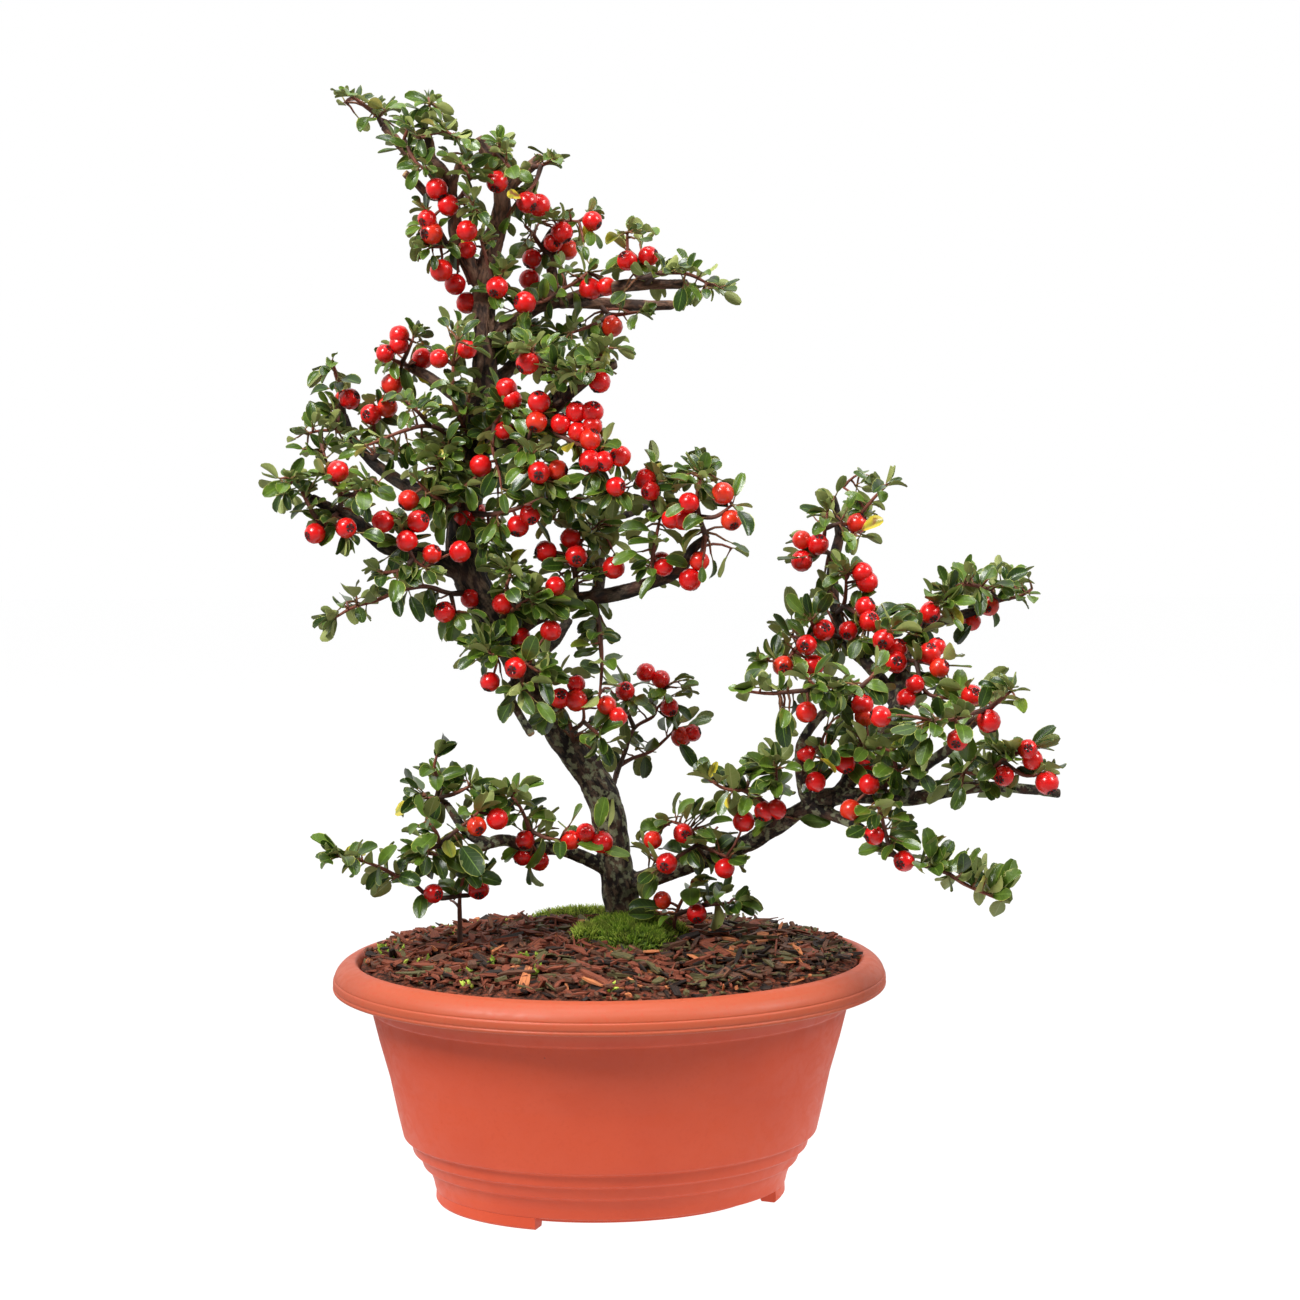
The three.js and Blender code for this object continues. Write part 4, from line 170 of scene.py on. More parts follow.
# Leafy sprays: their stems as rows of [u, v, depth], and the middles of leaves and berries as [u, v].
SPRAYS: dict[str, dict[str, list]] = {
  "crown_left_tip": {
    "stems": [[[-98, 473, 11], [-101, 478, 10], [-105, 481, 9], [-109, 484, 9], [-112, 486, 8]]],
    "leaves": [
      [-112, 488], [-116, 486], [-104, 486], [-100, 482], [-95, 481], [-103, 476], [-106, 474], [-93, 483],
      [-92, 474],
    ],
    "berries": [],
  },
  "crown_middle": {
    "stems": [
      [[-67, 439, -2], [-63, 445, -14], [-61, 451, -18], [-64, 456, -18]],
      [[-63, 445, -14], [-59, 437, -20]],
    ],
    "leaves": [
      [-71, 460], [-64, 453], [-60, 453], [-62, 459], [-58, 460], [-58, 445], [-62, 446], [-56, 451],
      [-59, 439], [-55, 435], [-62, 438], [-59, 434], [-53, 430],
    ],
    "berries": [[-62, 428]],
  },
  "crown_leader_top": {
    "stems": [
      [[-52, 458, -5], [-49, 462, -12], [-48, 465, -15]],
      [[-49, 462, -12], [-45, 457, -15], [-42, 453, -14]],
    ],
    "leaves": [
      [-52, 466], [-49, 467], [-45, 464], [-46, 456], [-43, 455], [-48, 458], [-39, 453], [-55, 458],
    ],
    "berries": [[-49, 449]],
  },
  "crown_fork_leaves": {
    "stems": [
      [[-35, 455, 9], [-30, 456, 3], [-26, 458, 2]],
      [[-30, 456, 3], [-33, 448, -4], [-38, 443, -6]],
    ],
    "leaves": [
      [-31, 460], [-27, 460], [-23, 458], [-35, 449], [-41, 444], [-39, 437], [-35, 445], [-46, 430],
    ],
    "berries": [[-36, 440], [-31, 439]],
  },
  "crown_left_low": {
    "stems": [
      [[-64, 420, 2], [-70, 421, -10], [-77, 421, -13]],
      [[-70, 421, -10], [-74, 429, -14], [-79, 436, -14]],
    ],
    "leaves": [
      [-83, 441], [-79, 438], [-80, 434], [-72, 431], [-85, 428], [-81, 425], [-83, 422], [-80, 419],
      [-71, 421], [-76, 415], [-67, 414], [-68, 424], [-63, 416],
    ],
    "berries": [[-70, 439], [-77, 427], [-79, 433], [-73, 411], [-67, 405], [-61, 420]],
  },
  "crown_trunk_front": {
    "stems": [[[-54, 398, 4], [-50, 404, -10], [-47, 410, -13]], [[-50, 404, -10], [-56, 424, -14]]],
    "leaves": [
      [-48, 415], [-50, 411], [-45, 405], [-42, 412], [-57, 403], [-43, 401], [-42, 397], [-48, 398],
      [-58, 425], [-52, 423], [-61, 425],
    ],
    "berries": [[-49, 404], [-62, 397]],
  },
  "crown_right_tips": {
    "stems": [
      [[-25, 415, 21], [-30, 421, 14], [-34, 427, 10], [-37, 430, 9]],
      [[-30, 421, 14], [-25, 429, 8], [-19, 432, 8], [-14, 432, 8], [-10, 435, 8]],
    ],
    "leaves": [
      [-37, 426], [-35, 422], [-40, 420], [-32, 432], [-35, 435], [-27, 437], [-31, 412], [-28, 415],
      [-25, 435], [-22, 434], [-18, 437], [-19, 430], [-9, 437], [-6, 434], [-10, 427], [-5, 424],
      [-15, 423], [-11, 419],
    ],
    "berries": [[-34, 416], [-35, 407], [-25, 423], [-21, 427], [-19, 420], [-8, 432]],
  },
  "crown_right_centre": {
    "stems": [
      [[-28, 397, 14], [-22, 402, 2], [-15, 406, -3], [-10, 410, -5]],
      [[-22, 402, 2], [-28, 398, -6], [-35, 396, -8]],
    ],
    "leaves": [
      [-23, 415], [-20, 411], [-14, 409], [-9, 413], [-8, 409], [-25, 404], [-29, 403], [-33, 400],
      [-21, 399], [-14, 397], [-27, 393], [-37, 391], [-45, 390],
    ],
    "berries": [[-9, 403], [-2, 404], [-37, 397]],
  },
  "crown_right_low": {
    "stems": [[[-5, 396, 23], [0, 392, 14], [12, 393, 8]], [[0, 392, 14], [-9, 387, 6], [-17, 384, 3]]],
    "leaves": [
      [3, 396], [-6, 390], [-15, 389], [-9, 384], [9, 390], [15, 394], [-3, 382], [-22, 379], [-17, 380],
      [-24, 384],
    ],
    "berries": [[1, 386]],
  },
  "arch_leaves": {
    "stems": [
      [[-35, 377, 22], [-33, 382, 10], [-35, 387, 6]],
      [[-33, 382, 10], [-39, 380, 2], [-44, 379, 0]],
    ],
    "leaves": [
      [-39, 387], [-34, 385], [-28, 387], [-28, 382], [-46, 377], [-43, 378], [-31, 378], [-24, 375],
      [-48, 385],
    ],
    "berries": [],
  },
  "vee_base_right": {
    "stems": [
      [[-31, 347, -32], [-22, 340, -46], [-9, 334, -48], [3, 329, -46]],
      [[-9, 334, -48], [-5, 323, -46], [3, 316, -44]],
    ],
    "leaves": [
      [-18, 335], [-6, 338], [-1, 338], [-5, 327], [6, 325], [11, 322], [1, 317], [6, 312], [-9, 322],
      [-16, 321], [-2, 312], [-22, 355], [-26, 354],
    ],
    "berries": [
      [-22, 344], [-15, 350], [-14, 342], [-8, 350], [-8, 344], [-9, 329], [-9, 338], [4, 331], [-3, 329],
      [2, 318],
    ],
  },
  "vee_base_front": {
    "stems": [
      [[-44, 339, -20], [-37, 335, -36], [-34, 329, -42], [-28, 321, -42]],
      [[-37, 335, -36], [-31, 350, -44]],
    ],
    "leaves": [
      [-41, 338], [-36, 339], [-32, 337], [-43, 331], [-28, 338], [-26, 331], [-41, 324], [-39, 320],
      [-31, 318], [-25, 318], [-21, 319], [-28, 350], [-25, 343],
    ],
    "berries": [[-31, 324], [-23, 325], [-31, 354], [-32, 346]],
  },
  "trunk_right_front": {
    "stems": [
      [[-58, 338, -3], [-50, 345, -24], [-46, 352, -28]],
      [[-50, 345, -24], [-51, 335, -32], [-49, 327, -32]],
    ],
    "leaves": [
      [-49, 357], [-45, 357], [-51, 351], [-40, 353], [-37, 350], [-53, 345], [-41, 344], [-52, 341],
      [-49, 339], [-46, 341], [-56, 335], [-60, 338], [-58, 332], [-49, 324], [-52, 320], [-46, 311],
    ],
    "berries": [[-45, 360], [-42, 356], [-46, 342], [-61, 332], [-56, 327]],
  },
  "trunk_left_front": {
    "stems": [
      [[-58, 336, -3], [-64, 345, -18], [-68, 356, -22], [-68, 370, -20]],
      [[-64, 345, -18], [-61, 356, -22]],
    ],
    "leaves": [
      [-68, 377], [-74, 377], [-71, 362], [-65, 362], [-60, 362], [-63, 351], [-67, 350], [-61, 380],
      [-57, 381], [-65, 385], [-64, 368], [-72, 389], [-66, 392], [-55, 376], [-61, 387],
    ],
    "berries": [[-74, 373], [-62, 377]],
  },
  "left_high_leaves": {
    "stems": [
      [[-86, 369, 20], [-90, 371, 12], [-95, 373, 8]],
      [[-90, 371, 12], [-87, 377, 6], [-85, 382, 4]],
    ],
    "leaves": [
      [-97, 376], [-100, 370], [-86, 387], [-83, 385], [-93, 368], [-88, 364], [-80, 364], [-81, 378],
      [-82, 383], [-76, 377], [-86, 359],
    ],
    "berries": [[-91, 379], [-91, 383], [-81, 373], [-94, 362], [-97, 375]],
  },
  "left_centre": {
    "stems": [
      [[-103, 329, 19], [-99, 335, 6], [-102, 343, 2], [-100, 351, 0]],
      [[-99, 335, 6], [-93, 332, 0]],
    ],
    "leaves": [
      [-104, 356], [-97, 357], [-100, 347], [-95, 346], [-107, 342], [-112, 341], [-104, 340], [-110, 334],
      [-97, 335], [-92, 333], [-95, 327], [-106, 351],
    ],
    "berries": [[-96, 352], [-103, 349]],
  },
  "left_twigs": {
    "stems": [
      [[-59, 332, -3], [-68, 339, -16], [-78, 344, -20], [-89, 342, -22], [-104, 336, -22]],
      [[-78, 344, -20], [-83, 350, -26], [-88, 354, -27]],
      [[-68, 339, -16], [-72, 331, -28], [-74, 326, -30]],
    ],
    "leaves": [
      [-90, 356], [-86, 354], [-82, 353], [-89, 348], [-75, 350], [-78, 353], [-69, 342], [-66, 339],
      [-77, 335], [-82, 336], [-73, 332], [-75, 327], [-71, 329], [-64, 331], [-68, 325], [-86, 331],
      [-89, 329], [-84, 322], [-97, 338],
    ],
    "berries": [],
  },
  "left_middle_front": {
    "stems": [
      [[-63, 306, -6], [-71, 311, -26], [-78, 315, -31], [-83, 320, -32]],
      [[-71, 311, -26], [-64, 317, -32], [-58, 322, -32]],
    ],
    "leaves": [
      [-74, 320], [-69, 318], [-80, 312], [-71, 314], [-77, 309], [-74, 305], [-73, 299], [-65, 318],
      [-61, 315], [-57, 324], [-58, 305], [-56, 299],
    ],
    "berries": [[-87, 312], [-63, 304], [-58, 307]],
  },
  "left_low_middle": {
    "stems": [
      [[-117, 307, -36], [-116, 313, -46], [-118, 318, -48], [-122, 322, -48]],
      [[-116, 313, -46], [-108, 316, -50], [-103, 321, -50]],
    ],
    "leaves": [
      [-117, 318], [-111, 318], [-121, 321], [-115, 312], [-109, 311], [-105, 307], [-108, 323],
      [-103, 319], [-97, 316], [-106, 314],
    ],
    "berries": [[-117, 325]],
  },
  "left_low_inner": {
    "stems": [
      [[-89, 290, -20], [-89, 296, -38], [-90, 303, -42]],
      [[-89, 296, -38], [-85, 287, -40], [-80, 283, -40]],
      [[-85, 287, -40], [-90, 282, -42], [-98, 281, -42]],
    ],
    "leaves": [
      [-95, 306], [-90, 304], [-92, 301], [-86, 299], [-84, 295], [-95, 293], [-92, 288], [-89, 286],
      [-78, 279], [-89, 283], [-86, 278], [-99, 279], [-92, 275], [-82, 284], [-103, 284],
    ],
    "berries": [[-98, 303], [-83, 303], [-88, 295], [-77, 289], [-65, 290]],
  },
  "left_bottom": {
    "stems": [
      [
        [-59, 273, -8], [-69, 272, -22], [-80, 275, -28], [-91, 273, -32], [-101, 269, -35],
        [-111, 266, -36], [-118, 262, -37],
      ],
      [[-69, 272, -22], [-67, 264, -30]],
    ],
    "leaves": [
      [-112, 274], [-116, 269], [-102, 271], [-78, 269], [-84, 265], [-92, 269], [-108, 264], [-123, 263],
      [-119, 259], [-72, 257], [-68, 257], [-58, 264], [-54, 261],
    ],
    "berries": [[-61, 270], [-53, 267], [-71, 264]],
  },
  "centre_hanging": {
    "stems": [[[-62, 307, -6], [-51, 306, -26], [-39, 309, -32], [-28, 313, -33], [-19, 312, -33]]],
    "leaves": [
      [-28, 307], [-15, 312], [-18, 307], [-30, 299], [-52, 299], [-6, 313], [-39, 312], [-48, 293],
      [-55, 292], [-56, 286],
    ],
    "berries": [[-35, 306], [-40, 301]],
  },
  "centre_rosettes": {
    "stems": [
      [[-49, 260, -6], [-41, 266, -26], [-35, 270, -31]],
      [[-41, 266, -26], [-45, 273, -30], [-43, 281, -30]],
    ],
    "leaves": [
      [-40, 278], [-38, 280], [-33, 276], [-28, 273], [-37, 267], [-27, 264], [-23, 269], [-17, 267],
      [-48, 270], [-43, 273], [-48, 286], [-41, 286], [-43, 261], [-33, 264],
    ],
    "berries": [[-24, 275], [-46, 267]],
  },
  "right_middle_inner": {
    "stems": [[[-15, 269, -10], [-15, 276, -20], [-16, 286, -22], [-13, 294, -20], [-6, 301, -14]]],
    "leaves": [
      [-9, 286], [-21, 286], [-25, 284], [-6, 280], [-11, 278], [-2, 280], [0, 286], [-15, 304],
      [-12, 300], [-28, 288], [-3, 269], [-1, 299], [-3, 309], [0, 306], [6, 301], [-5, 293],
    ],
    "berries": [[-18, 296], [-15, 288], [-28, 290], [1, 283]],
  },
  "right_middle_front": {
    "stems": [
      [[21, 278, -25], [18, 286, -38], [19, 294, -42], [21, 304, -40]],
      [[21, 304, -40], [18, 312, -38], [19, 321, -36]],
    ],
    "leaves": [
      [19, 295], [13, 294], [28, 298], [6, 289], [12, 284], [13, 280], [18, 278], [23, 278], [28, 286],
      [15, 303], [10, 301], [19, 306], [17, 331], [19, 325], [24, 323], [19, 319], [23, 317], [12, 313],
      [19, 313], [24, 310], [28, 322],
    ],
    "berries": [[21, 284], [15, 321], [17, 316]],
  },
  "right_middle_end": {
    "stems": [
      [[41, 296, -40], [38, 305, -48], [37, 315, -50], [39, 323, -49]],
      [[38, 305, -48], [45, 305, -52], [52, 310, -52]],
    ],
    "leaves": [
      [31, 326], [34, 329], [37, 331], [40, 327], [44, 327], [40, 322], [32, 320], [41, 318], [44, 316],
      [28, 309], [34, 297], [36, 304], [55, 319], [47, 312], [54, 309], [58, 304], [56, 292], [45, 282],
      [39, 280],
    ],
    "berries": [[34, 311], [26, 304], [31, 304], [52, 303], [48, 315], [38, 286], [34, 278]],
  },
  "front_rosettes": {
    "stems": [
      [[-41, 245, -4], [-45, 247, -26], [-49, 245, -31], [-54, 248, -32]],
      [[-45, 247, -26], [-37, 242, -33], [-31, 238, -33]],
      [[-37, 242, -33], [-39, 231, -34]],
    ],
    "leaves": [
      [-60, 252], [-56, 247], [-57, 255], [-50, 252], [-46, 252], [-51, 245], [-45, 247], [-40, 248],
      [-62, 243], [-54, 241], [-35, 248], [-26, 243], [-31, 252], [-28, 238], [-22, 238], [-19, 235],
      [-35, 233], [-28, 231], [-45, 230], [-46, 221], [-36, 225], [-28, 222], [-48, 256],
    ],
    "berries": [[-41, 240], [-52, 234], [-39, 253], [-26, 256]],
  },
  "trunk_low_right": {
    "stems": [
      [[-16, 206, 5], [-17, 213, -12], [-19, 220, -16], [-22, 224, -17]],
      [[-17, 213, -12], [-12, 217, -18], [-12, 224, -18]],
      [[-12, 217, -18], [-5, 211, -20]],
    ],
    "leaves": [
      [-21, 220], [-17, 217], [-14, 226], [-11, 226], [-6, 218], [-3, 219], [-2, 215], [-8, 209],
      [-4, 206], [-2, 203], [-28, 217], [-31, 218], [0, 223],
    ],
    "berries": [[-22, 227], [-15, 233], [-15, 226], [-2, 224], [3, 219]],
  },
  "thin_hanging": {
    "stems": [[[-7, 270, -13], [-5, 256, -20], [-4, 241, -22], [-5, 227, -23]]],
    "leaves": [
      [-10, 264], [-12, 258], [-13, 250], [-9, 248], [-7, 256], [-1, 253], [-1, 243], [-9, 240], [0, 233],
      [2, 229], [-9, 229],
    ],
    "berries": [],
  },
  "small_right_leaves": {
    "stems": [
      [[-5, 184, 8], [1, 190, 18], [3, 197, 27], [9, 201, 33], [17, 204, 39], [23, 209, 38], [26, 212, 37]],
      [
        [2, 193, 23], [6, 204, 27], [10, 214, 31], [18, 219, 35], [20, 223, 32], [23, 226, 31],
        [23, 231, 31],
      ],
      [[10, 214, 31], [6, 224, 27], [7, 230, 26]],
    ],
    "leaves": [
      [13, 238], [5, 236], [19, 228], [22, 230], [31, 237], [34, 232], [31, 228], [13, 226], [9, 224],
      [5, 223], [3, 218], [25, 219], [31, 222], [38, 217], [33, 203], [15, 197], [17, 207], [17, 204],
      [9, 210], [4, 207],
    ],
    "berries": [[21, 236], [15, 238], [6, 230], [25, 223], [31, 210], [35, 212]],
  },
  "low_left_top": {
    "stems": [
      [[-71, 182, -10], [-75, 184, -13], [-79, 184, -14]],
      [[-75, 184, -13], [-74, 190, -16], [-76, 197, -17], [-75, 202, -17]],
      [[-75, 184, -13], [-67, 186, -18], [-61, 189, -19]],
    ],
    "leaves": [
      [-73, 206], [-78, 197], [-75, 192], [-86, 190], [-85, 187], [-88, 181], [-82, 184], [-69, 194],
      [-71, 190], [-67, 190], [-60, 195], [-58, 190], [-53, 190], [-56, 183], [-77, 181], [-76, 177],
    ],
    "berries": [],
  },
  "low_left_end": {
    "stems": [
      [[-74, 157, -28], [-74, 164, -34], [-75, 169, -36], [-79, 174, -37]],
      [[-74, 164, -34], [-80, 161, -38]],
      [[-74, 164, -34], [-64, 172, -34], [-57, 178, -33]],
    ],
    "leaves": [
      [-62, 179], [-56, 180], [-64, 172], [-86, 171], [-80, 173], [-78, 166], [-81, 163], [-67, 167],
      [-70, 163], [-85, 161], [-82, 159], [-73, 155], [-78, 152], [-67, 157], [-60, 157], [-58, 160],
    ],
    "berries": [[-58, 172], [-49, 175]],
  },
  "low_left_inner": {
    "stems": [
      [[-35, 163, -6], [-35, 170, -18], [-39, 180, -20], [-43, 185, -20]],
      [[-35, 170, -18], [-28, 167, -24], [-22, 166, -24]],
    ],
    "leaves": [
      [-48, 188], [-43, 186], [-49, 182], [-39, 188], [-36, 190], [-43, 175], [-46, 178], [-33, 181],
      [-30, 177], [-28, 174], [-35, 168], [-30, 165], [-43, 160], [-35, 150], [-15, 177], [-17, 169],
      [-22, 163], [-9, 163], [2, 161], [-4, 178],
    ],
    "berries": [[-17, 166], [-11, 169], [-4, 165], [-31, 157], [-38, 159], [-36, 168]],
  },
  "soil_shoots": {
    "stems": [
      [[-65, 129, -14], [-65, 142, -16], [-63, 152, -18]],
      [
        [-65, 142, -16], [-74, 141, -24], [-80, 143, -29], [-86, 148, -34], [-93, 151, -38],
        [-99, 154, -42], [-107, 157, -46], [-117, 159, -50],
      ],
      [[-65, 142, -16], [-59, 143, -12], [-57, 149, -12]],
    ],
    "leaves": [
      [-64, 150], [-60, 151], [-52, 153], [-54, 150], [-69, 144], [-61, 144], [-82, 138], [-99, 148],
      [-91, 153], [-88, 150], [-101, 150], [-97, 159], [-107, 161], [-114, 160], [-121, 162], [-123, 157],
      [-111, 157],
    ],
    "berries": [[-77, 143], [-57, 145]],
  },
  "low_right_base": {
    "stems": [
      [[40, 158, -2], [37, 164, -18], [34, 171, -22], [26, 174, -22]],
      [[37, 164, -18], [45, 161, -28], [51, 158, -30]],
      [[37, 164, -18], [28, 158, -24], [21, 154, -24]],
    ],
    "leaves": [
      [34, 178], [38, 179], [30, 181], [43, 179], [47, 175], [22, 173], [17, 171], [13, 163], [17, 161],
      [28, 162], [34, 159], [38, 166], [36, 161], [43, 155], [54, 157], [55, 163], [49, 166], [45, 170],
      [40, 170], [15, 150], [17, 146],
    ],
    "berries": [[31, 169], [18, 166], [24, 156], [49, 154], [57, 174]],
  },
  "low_right_soil": {
    "stems": [
      [[26, 123, 0], [28, 134, -4], [31, 141, -6], [35, 147, -7]],
      [[28, 134, -4], [39, 138, -10], [46, 142, -10]],
      [[39, 138, -10], [53, 139, -12]],
    ],
    "leaves": [
      [34, 144], [39, 147], [34, 140], [43, 142], [47, 145], [45, 140], [55, 141], [53, 138], [60, 138],
      [15, 138], [13, 134], [23, 132],
    ],
    "berries": [[22, 140], [37, 135]],
  },
  "low_right_upper": {
    "stems": [
      [[68, 170, -21], [71, 177, -34], [65, 183, -38], [58, 187, -38], [49, 188, -37], [42, 192, -36]],
      [[71, 177, -34], [71, 187, -40], [71, 196, -41]],
    ],
    "leaves": [
      [41, 195], [47, 192], [52, 190], [55, 192], [58, 187], [62, 185], [53, 183], [49, 183], [58, 182],
      [61, 194], [66, 190], [71, 189], [75, 187], [63, 195], [68, 196], [62, 198], [65, 200], [68, 199],
      [71, 203], [77, 198], [72, 172], [65, 174], [88, 174],
    ],
    "berries": [[66, 179], [71, 180]],
  },
  "pad_left_up": {
    "stems": [
      [[104, 229, -49], [111, 235, -46], [114, 239, -45]],
      [[104, 229, -49], [97, 232, -58], [90, 231, -60], [85, 235, -60]],
      [[90, 231, -60], [80, 230, -62], [68, 229, -62], [58, 230, -62]],
    ],
    "leaves": [
      [99, 231], [103, 230], [101, 235], [95, 234], [97, 232], [92, 241], [85, 234], [88, 232], [76, 234],
      [72, 230], [66, 236], [62, 235], [57, 231], [82, 224], [79, 221], [75, 217], [77, 215], [74, 213],
      [90, 226], [94, 226], [92, 230], [111, 230], [116, 230], [112, 224],
    ],
    "berries": [[84, 221]],
  },
  "upper_left_pad": {
    "stems": [
      [[101, 252, 8], [95, 254, -6], [88, 255, -10], [81, 250, -12], [75, 243, -13], [68, 243, -13]],
      [[88, 255, -10], [86, 260, -14]],
    ],
    "leaves": [
      [81, 257], [86, 260], [73, 258], [74, 253], [71, 250], [66, 246], [72, 247], [81, 243], [80, 240],
      [84, 246], [90, 250], [96, 248], [94, 252], [91, 269], [92, 267], [79, 267], [84, 266], [81, 261],
      [63, 240], [98, 243],
    ],
    "berries": [[84, 250], [87, 241], [74, 241], [91, 256]],
  },
  "right_twig_leaves": {
    "stems": [
      [[97, 263, 14], [100, 267, 4], [101, 273, 0], [101, 280, -2]],
      [[100, 267, 4], [106, 263, -6], [110, 258, -8]],
    ],
    "leaves": [
      [95, 283], [99, 286], [99, 281], [106, 286], [107, 277], [95, 279], [107, 268], [110, 267],
      [114, 265], [119, 265], [105, 264], [100, 265], [107, 258], [112, 258], [116, 255], [103, 252],
      [105, 249], [111, 247],
    ],
    "berries": [[108, 281], [110, 277], [102, 256], [110, 267], [111, 260]],
  },
  "right_upper_middle": {
    "stems": [
      [[126, 241, -2], [122, 243, -14], [118, 248, -18], [117, 253, -18]],
      [[122, 243, -14], [131, 243, -20], [139, 241, -21]],
      [[131, 243, -20], [135, 230, -26], [144, 227, -28], [154, 227, -28]],
    ],
    "leaves": [
      [116, 250], [118, 252], [116, 241], [118, 240], [126, 258], [124, 261], [120, 258], [131, 245],
      [126, 246], [146, 247], [150, 241], [137, 235], [133, 234], [142, 235], [135, 228], [144, 230],
      [141, 227], [126, 230], [122, 233], [129, 226], [150, 230], [154, 234], [148, 222], [152, 219],
    ],
    "berries": [
      [122, 243], [124, 249], [117, 252], [137, 246], [140, 249], [141, 240], [131, 233], [127, 227],
      [155, 228],
    ],
  },
  "right_far_leaves": {
    "stems": [
      [[162, 222, -72], [167, 226, -78], [172, 230, -79]],
      [[162, 222, -72], [157, 221, -82], [148, 218, -84], [139, 217, -84]],
    ],
    "leaves": [
      [157, 226], [161, 228], [163, 233], [168, 234], [167, 230], [174, 230], [171, 233], [176, 224],
      [152, 221], [148, 223], [142, 221], [137, 221], [152, 214], [148, 212], [164, 213], [135, 213],
      [131, 211], [140, 215], [126, 213], [129, 210], [124, 219], [118, 219], [135, 204],
    ],
    "berries": [[162, 218], [149, 209], [116, 219]],
  },
  "right_end_leaves": {
    "stems": [
      [[161, 189, -43], [162, 194, -56], [168, 200, -60], [176, 204, -60], [182, 206, -59]],
      [[168, 200, -60], [177, 194, -60], [184, 194, -59]],
      [[162, 194, -56], [152, 195, -60]],
    ],
    "leaves": [
      [148, 203], [150, 198], [159, 205], [154, 206], [157, 196], [161, 198], [163, 196], [167, 205],
      [170, 203], [165, 206], [172, 202], [176, 207], [172, 207], [181, 206], [187, 208], [181, 196],
      [184, 198], [191, 198], [174, 191], [169, 190], [163, 187], [150, 185], [139, 189], [148, 190],
    ],
    "berries": [[169, 194], [181, 201], [187, 191], [179, 205]],
  },
  "right_trail_leaves": {
    "stems": [
      [
        [120, 161, -54], [126, 157, -58], [135, 155, -60], [144, 152, -62], [152, 147, -64],
        [161, 143, -66], [168, 140, -67],
      ],
      [[120, 161, -54], [118, 169, -60], [116, 177, -62], [114, 182, -62]],
    ],
    "leaves": [
      [108, 178], [110, 176], [114, 175], [105, 169], [116, 160], [117, 163], [124, 175], [127, 172],
      [126, 167], [124, 163], [129, 164], [138, 164], [135, 161], [133, 157], [144, 161], [141, 159],
      [139, 155], [146, 148], [150, 157], [155, 157], [152, 154], [159, 153], [158, 149], [159, 145],
      [163, 153], [166, 150], [170, 150], [168, 145], [167, 138],
    ],
    "berries": [[113, 168], [126, 157]],
  },
  "vee_leaves": {
    "stems": [
      [[-27, 367, -42], [-30, 372, -50], [-34, 376, -52]],
      [[-30, 372, -50], [-24, 369, -54], [-19, 365, -54]],
      [[-19, 365, -54], [-11, 367, -57], [-6, 372, -55]],
      [[-6, 367, -48], [-6, 372, -55], [-2, 377, -56]],
    ],
    "leaves": [
      [-36, 367], [-34, 380], [-30, 377], [-25, 373], [-27, 370], [-22, 370], [-18, 365], [-13, 367],
      [-22, 361], [-17, 370], [-11, 373], [-8, 372], [-3, 380], [0, 376], [6, 378], [-3, 369], [-9, 378],
      [-6, 381],
    ],
    "berries": [[-36, 371], [-5, 363]],
  },
  "left_low_outer": {
    "stems": [
      [[-129, 313, -41], [-134, 318, -45], [-138, 321, -46]],
      [[-124, 300, -48], [-129, 308, -50], [-134, 318, -45]],
      [[-117, 307, -36], [-121, 304, -46], [-124, 300, -48]],
      [[-121, 304, -46], [-114, 298, -50]],
    ],
    "leaves": [
      [-138, 323], [-135, 326], [-141, 318], [-131, 323], [-147, 322], [-145, 317], [-144, 311],
      [-138, 314], [-135, 308], [-125, 322], [-131, 316], [-126, 306], [-121, 304], [-120, 299],
      [-112, 293], [-103, 298], [-129, 309], [-126, 302],
    ],
    "berries": [[-127, 298], [-114, 300]],
  },
  "crown_right_end": {
    "stems": [
      [[15, 405, -15], [19, 409, -26], [26, 410, -29], [34, 409, -30], [42, 405, -29]],
      [[19, 409, -26], [12, 408, -22], [8, 414, -18], [7, 421, -17], [7, 427, -18]],
    ],
    "leaves": [
      [12, 414], [17, 412], [14, 405], [19, 402], [3, 399], [22, 415], [25, 411], [28, 412], [32, 414],
      [35, 414], [40, 411], [43, 408], [48, 403], [41, 402], [51, 402], [30, 399], [34, 401], [1, 425],
      [4, 427], [12, 427], [15, 424], [10, 429], [17, 429], [3, 416], [0, 410], [4, 413],
    ],
    "berries": [[7, 415], [16, 417]],
  },
  "right_upper_end": {
    "stems": [
      [[159, 265, 24], [167, 269, 16], [176, 271, 14], [181, 274, 13]],
      [[167, 269, 16], [161, 274, 6], [152, 276, 4], [145, 274, 3]],
      [[144, 268, -3], [145, 274, 3]],
      [[137, 258, 13], [134, 262, 2], [138, 267, -2], [144, 268, -3]],
      [[134, 262, 2], [132, 255, -6]],
    ],
    "leaves": [
      [142, 280], [143, 276], [138, 273], [146, 276], [150, 271], [147, 269], [151, 279], [154, 283],
      [157, 282], [157, 273], [159, 271], [161, 273], [167, 283], [161, 279], [168, 277], [170, 273],
      [170, 280], [175, 277], [174, 280], [179, 281], [175, 271], [181, 269], [166, 261], [158, 267],
      [131, 265], [127, 267], [135, 254], [130, 254], [137, 260], [132, 261], [142, 267], [145, 269],
      [139, 270], [149, 258], [151, 255], [147, 264],
    ],
    "berries": [[163, 267], [137, 264], [155, 260]],
  },
  "left_upper": {
    "stems": [
      [[-115, 349, 27], [-116, 357, 21], [-118, 365, 17], [-120, 372, 15]],
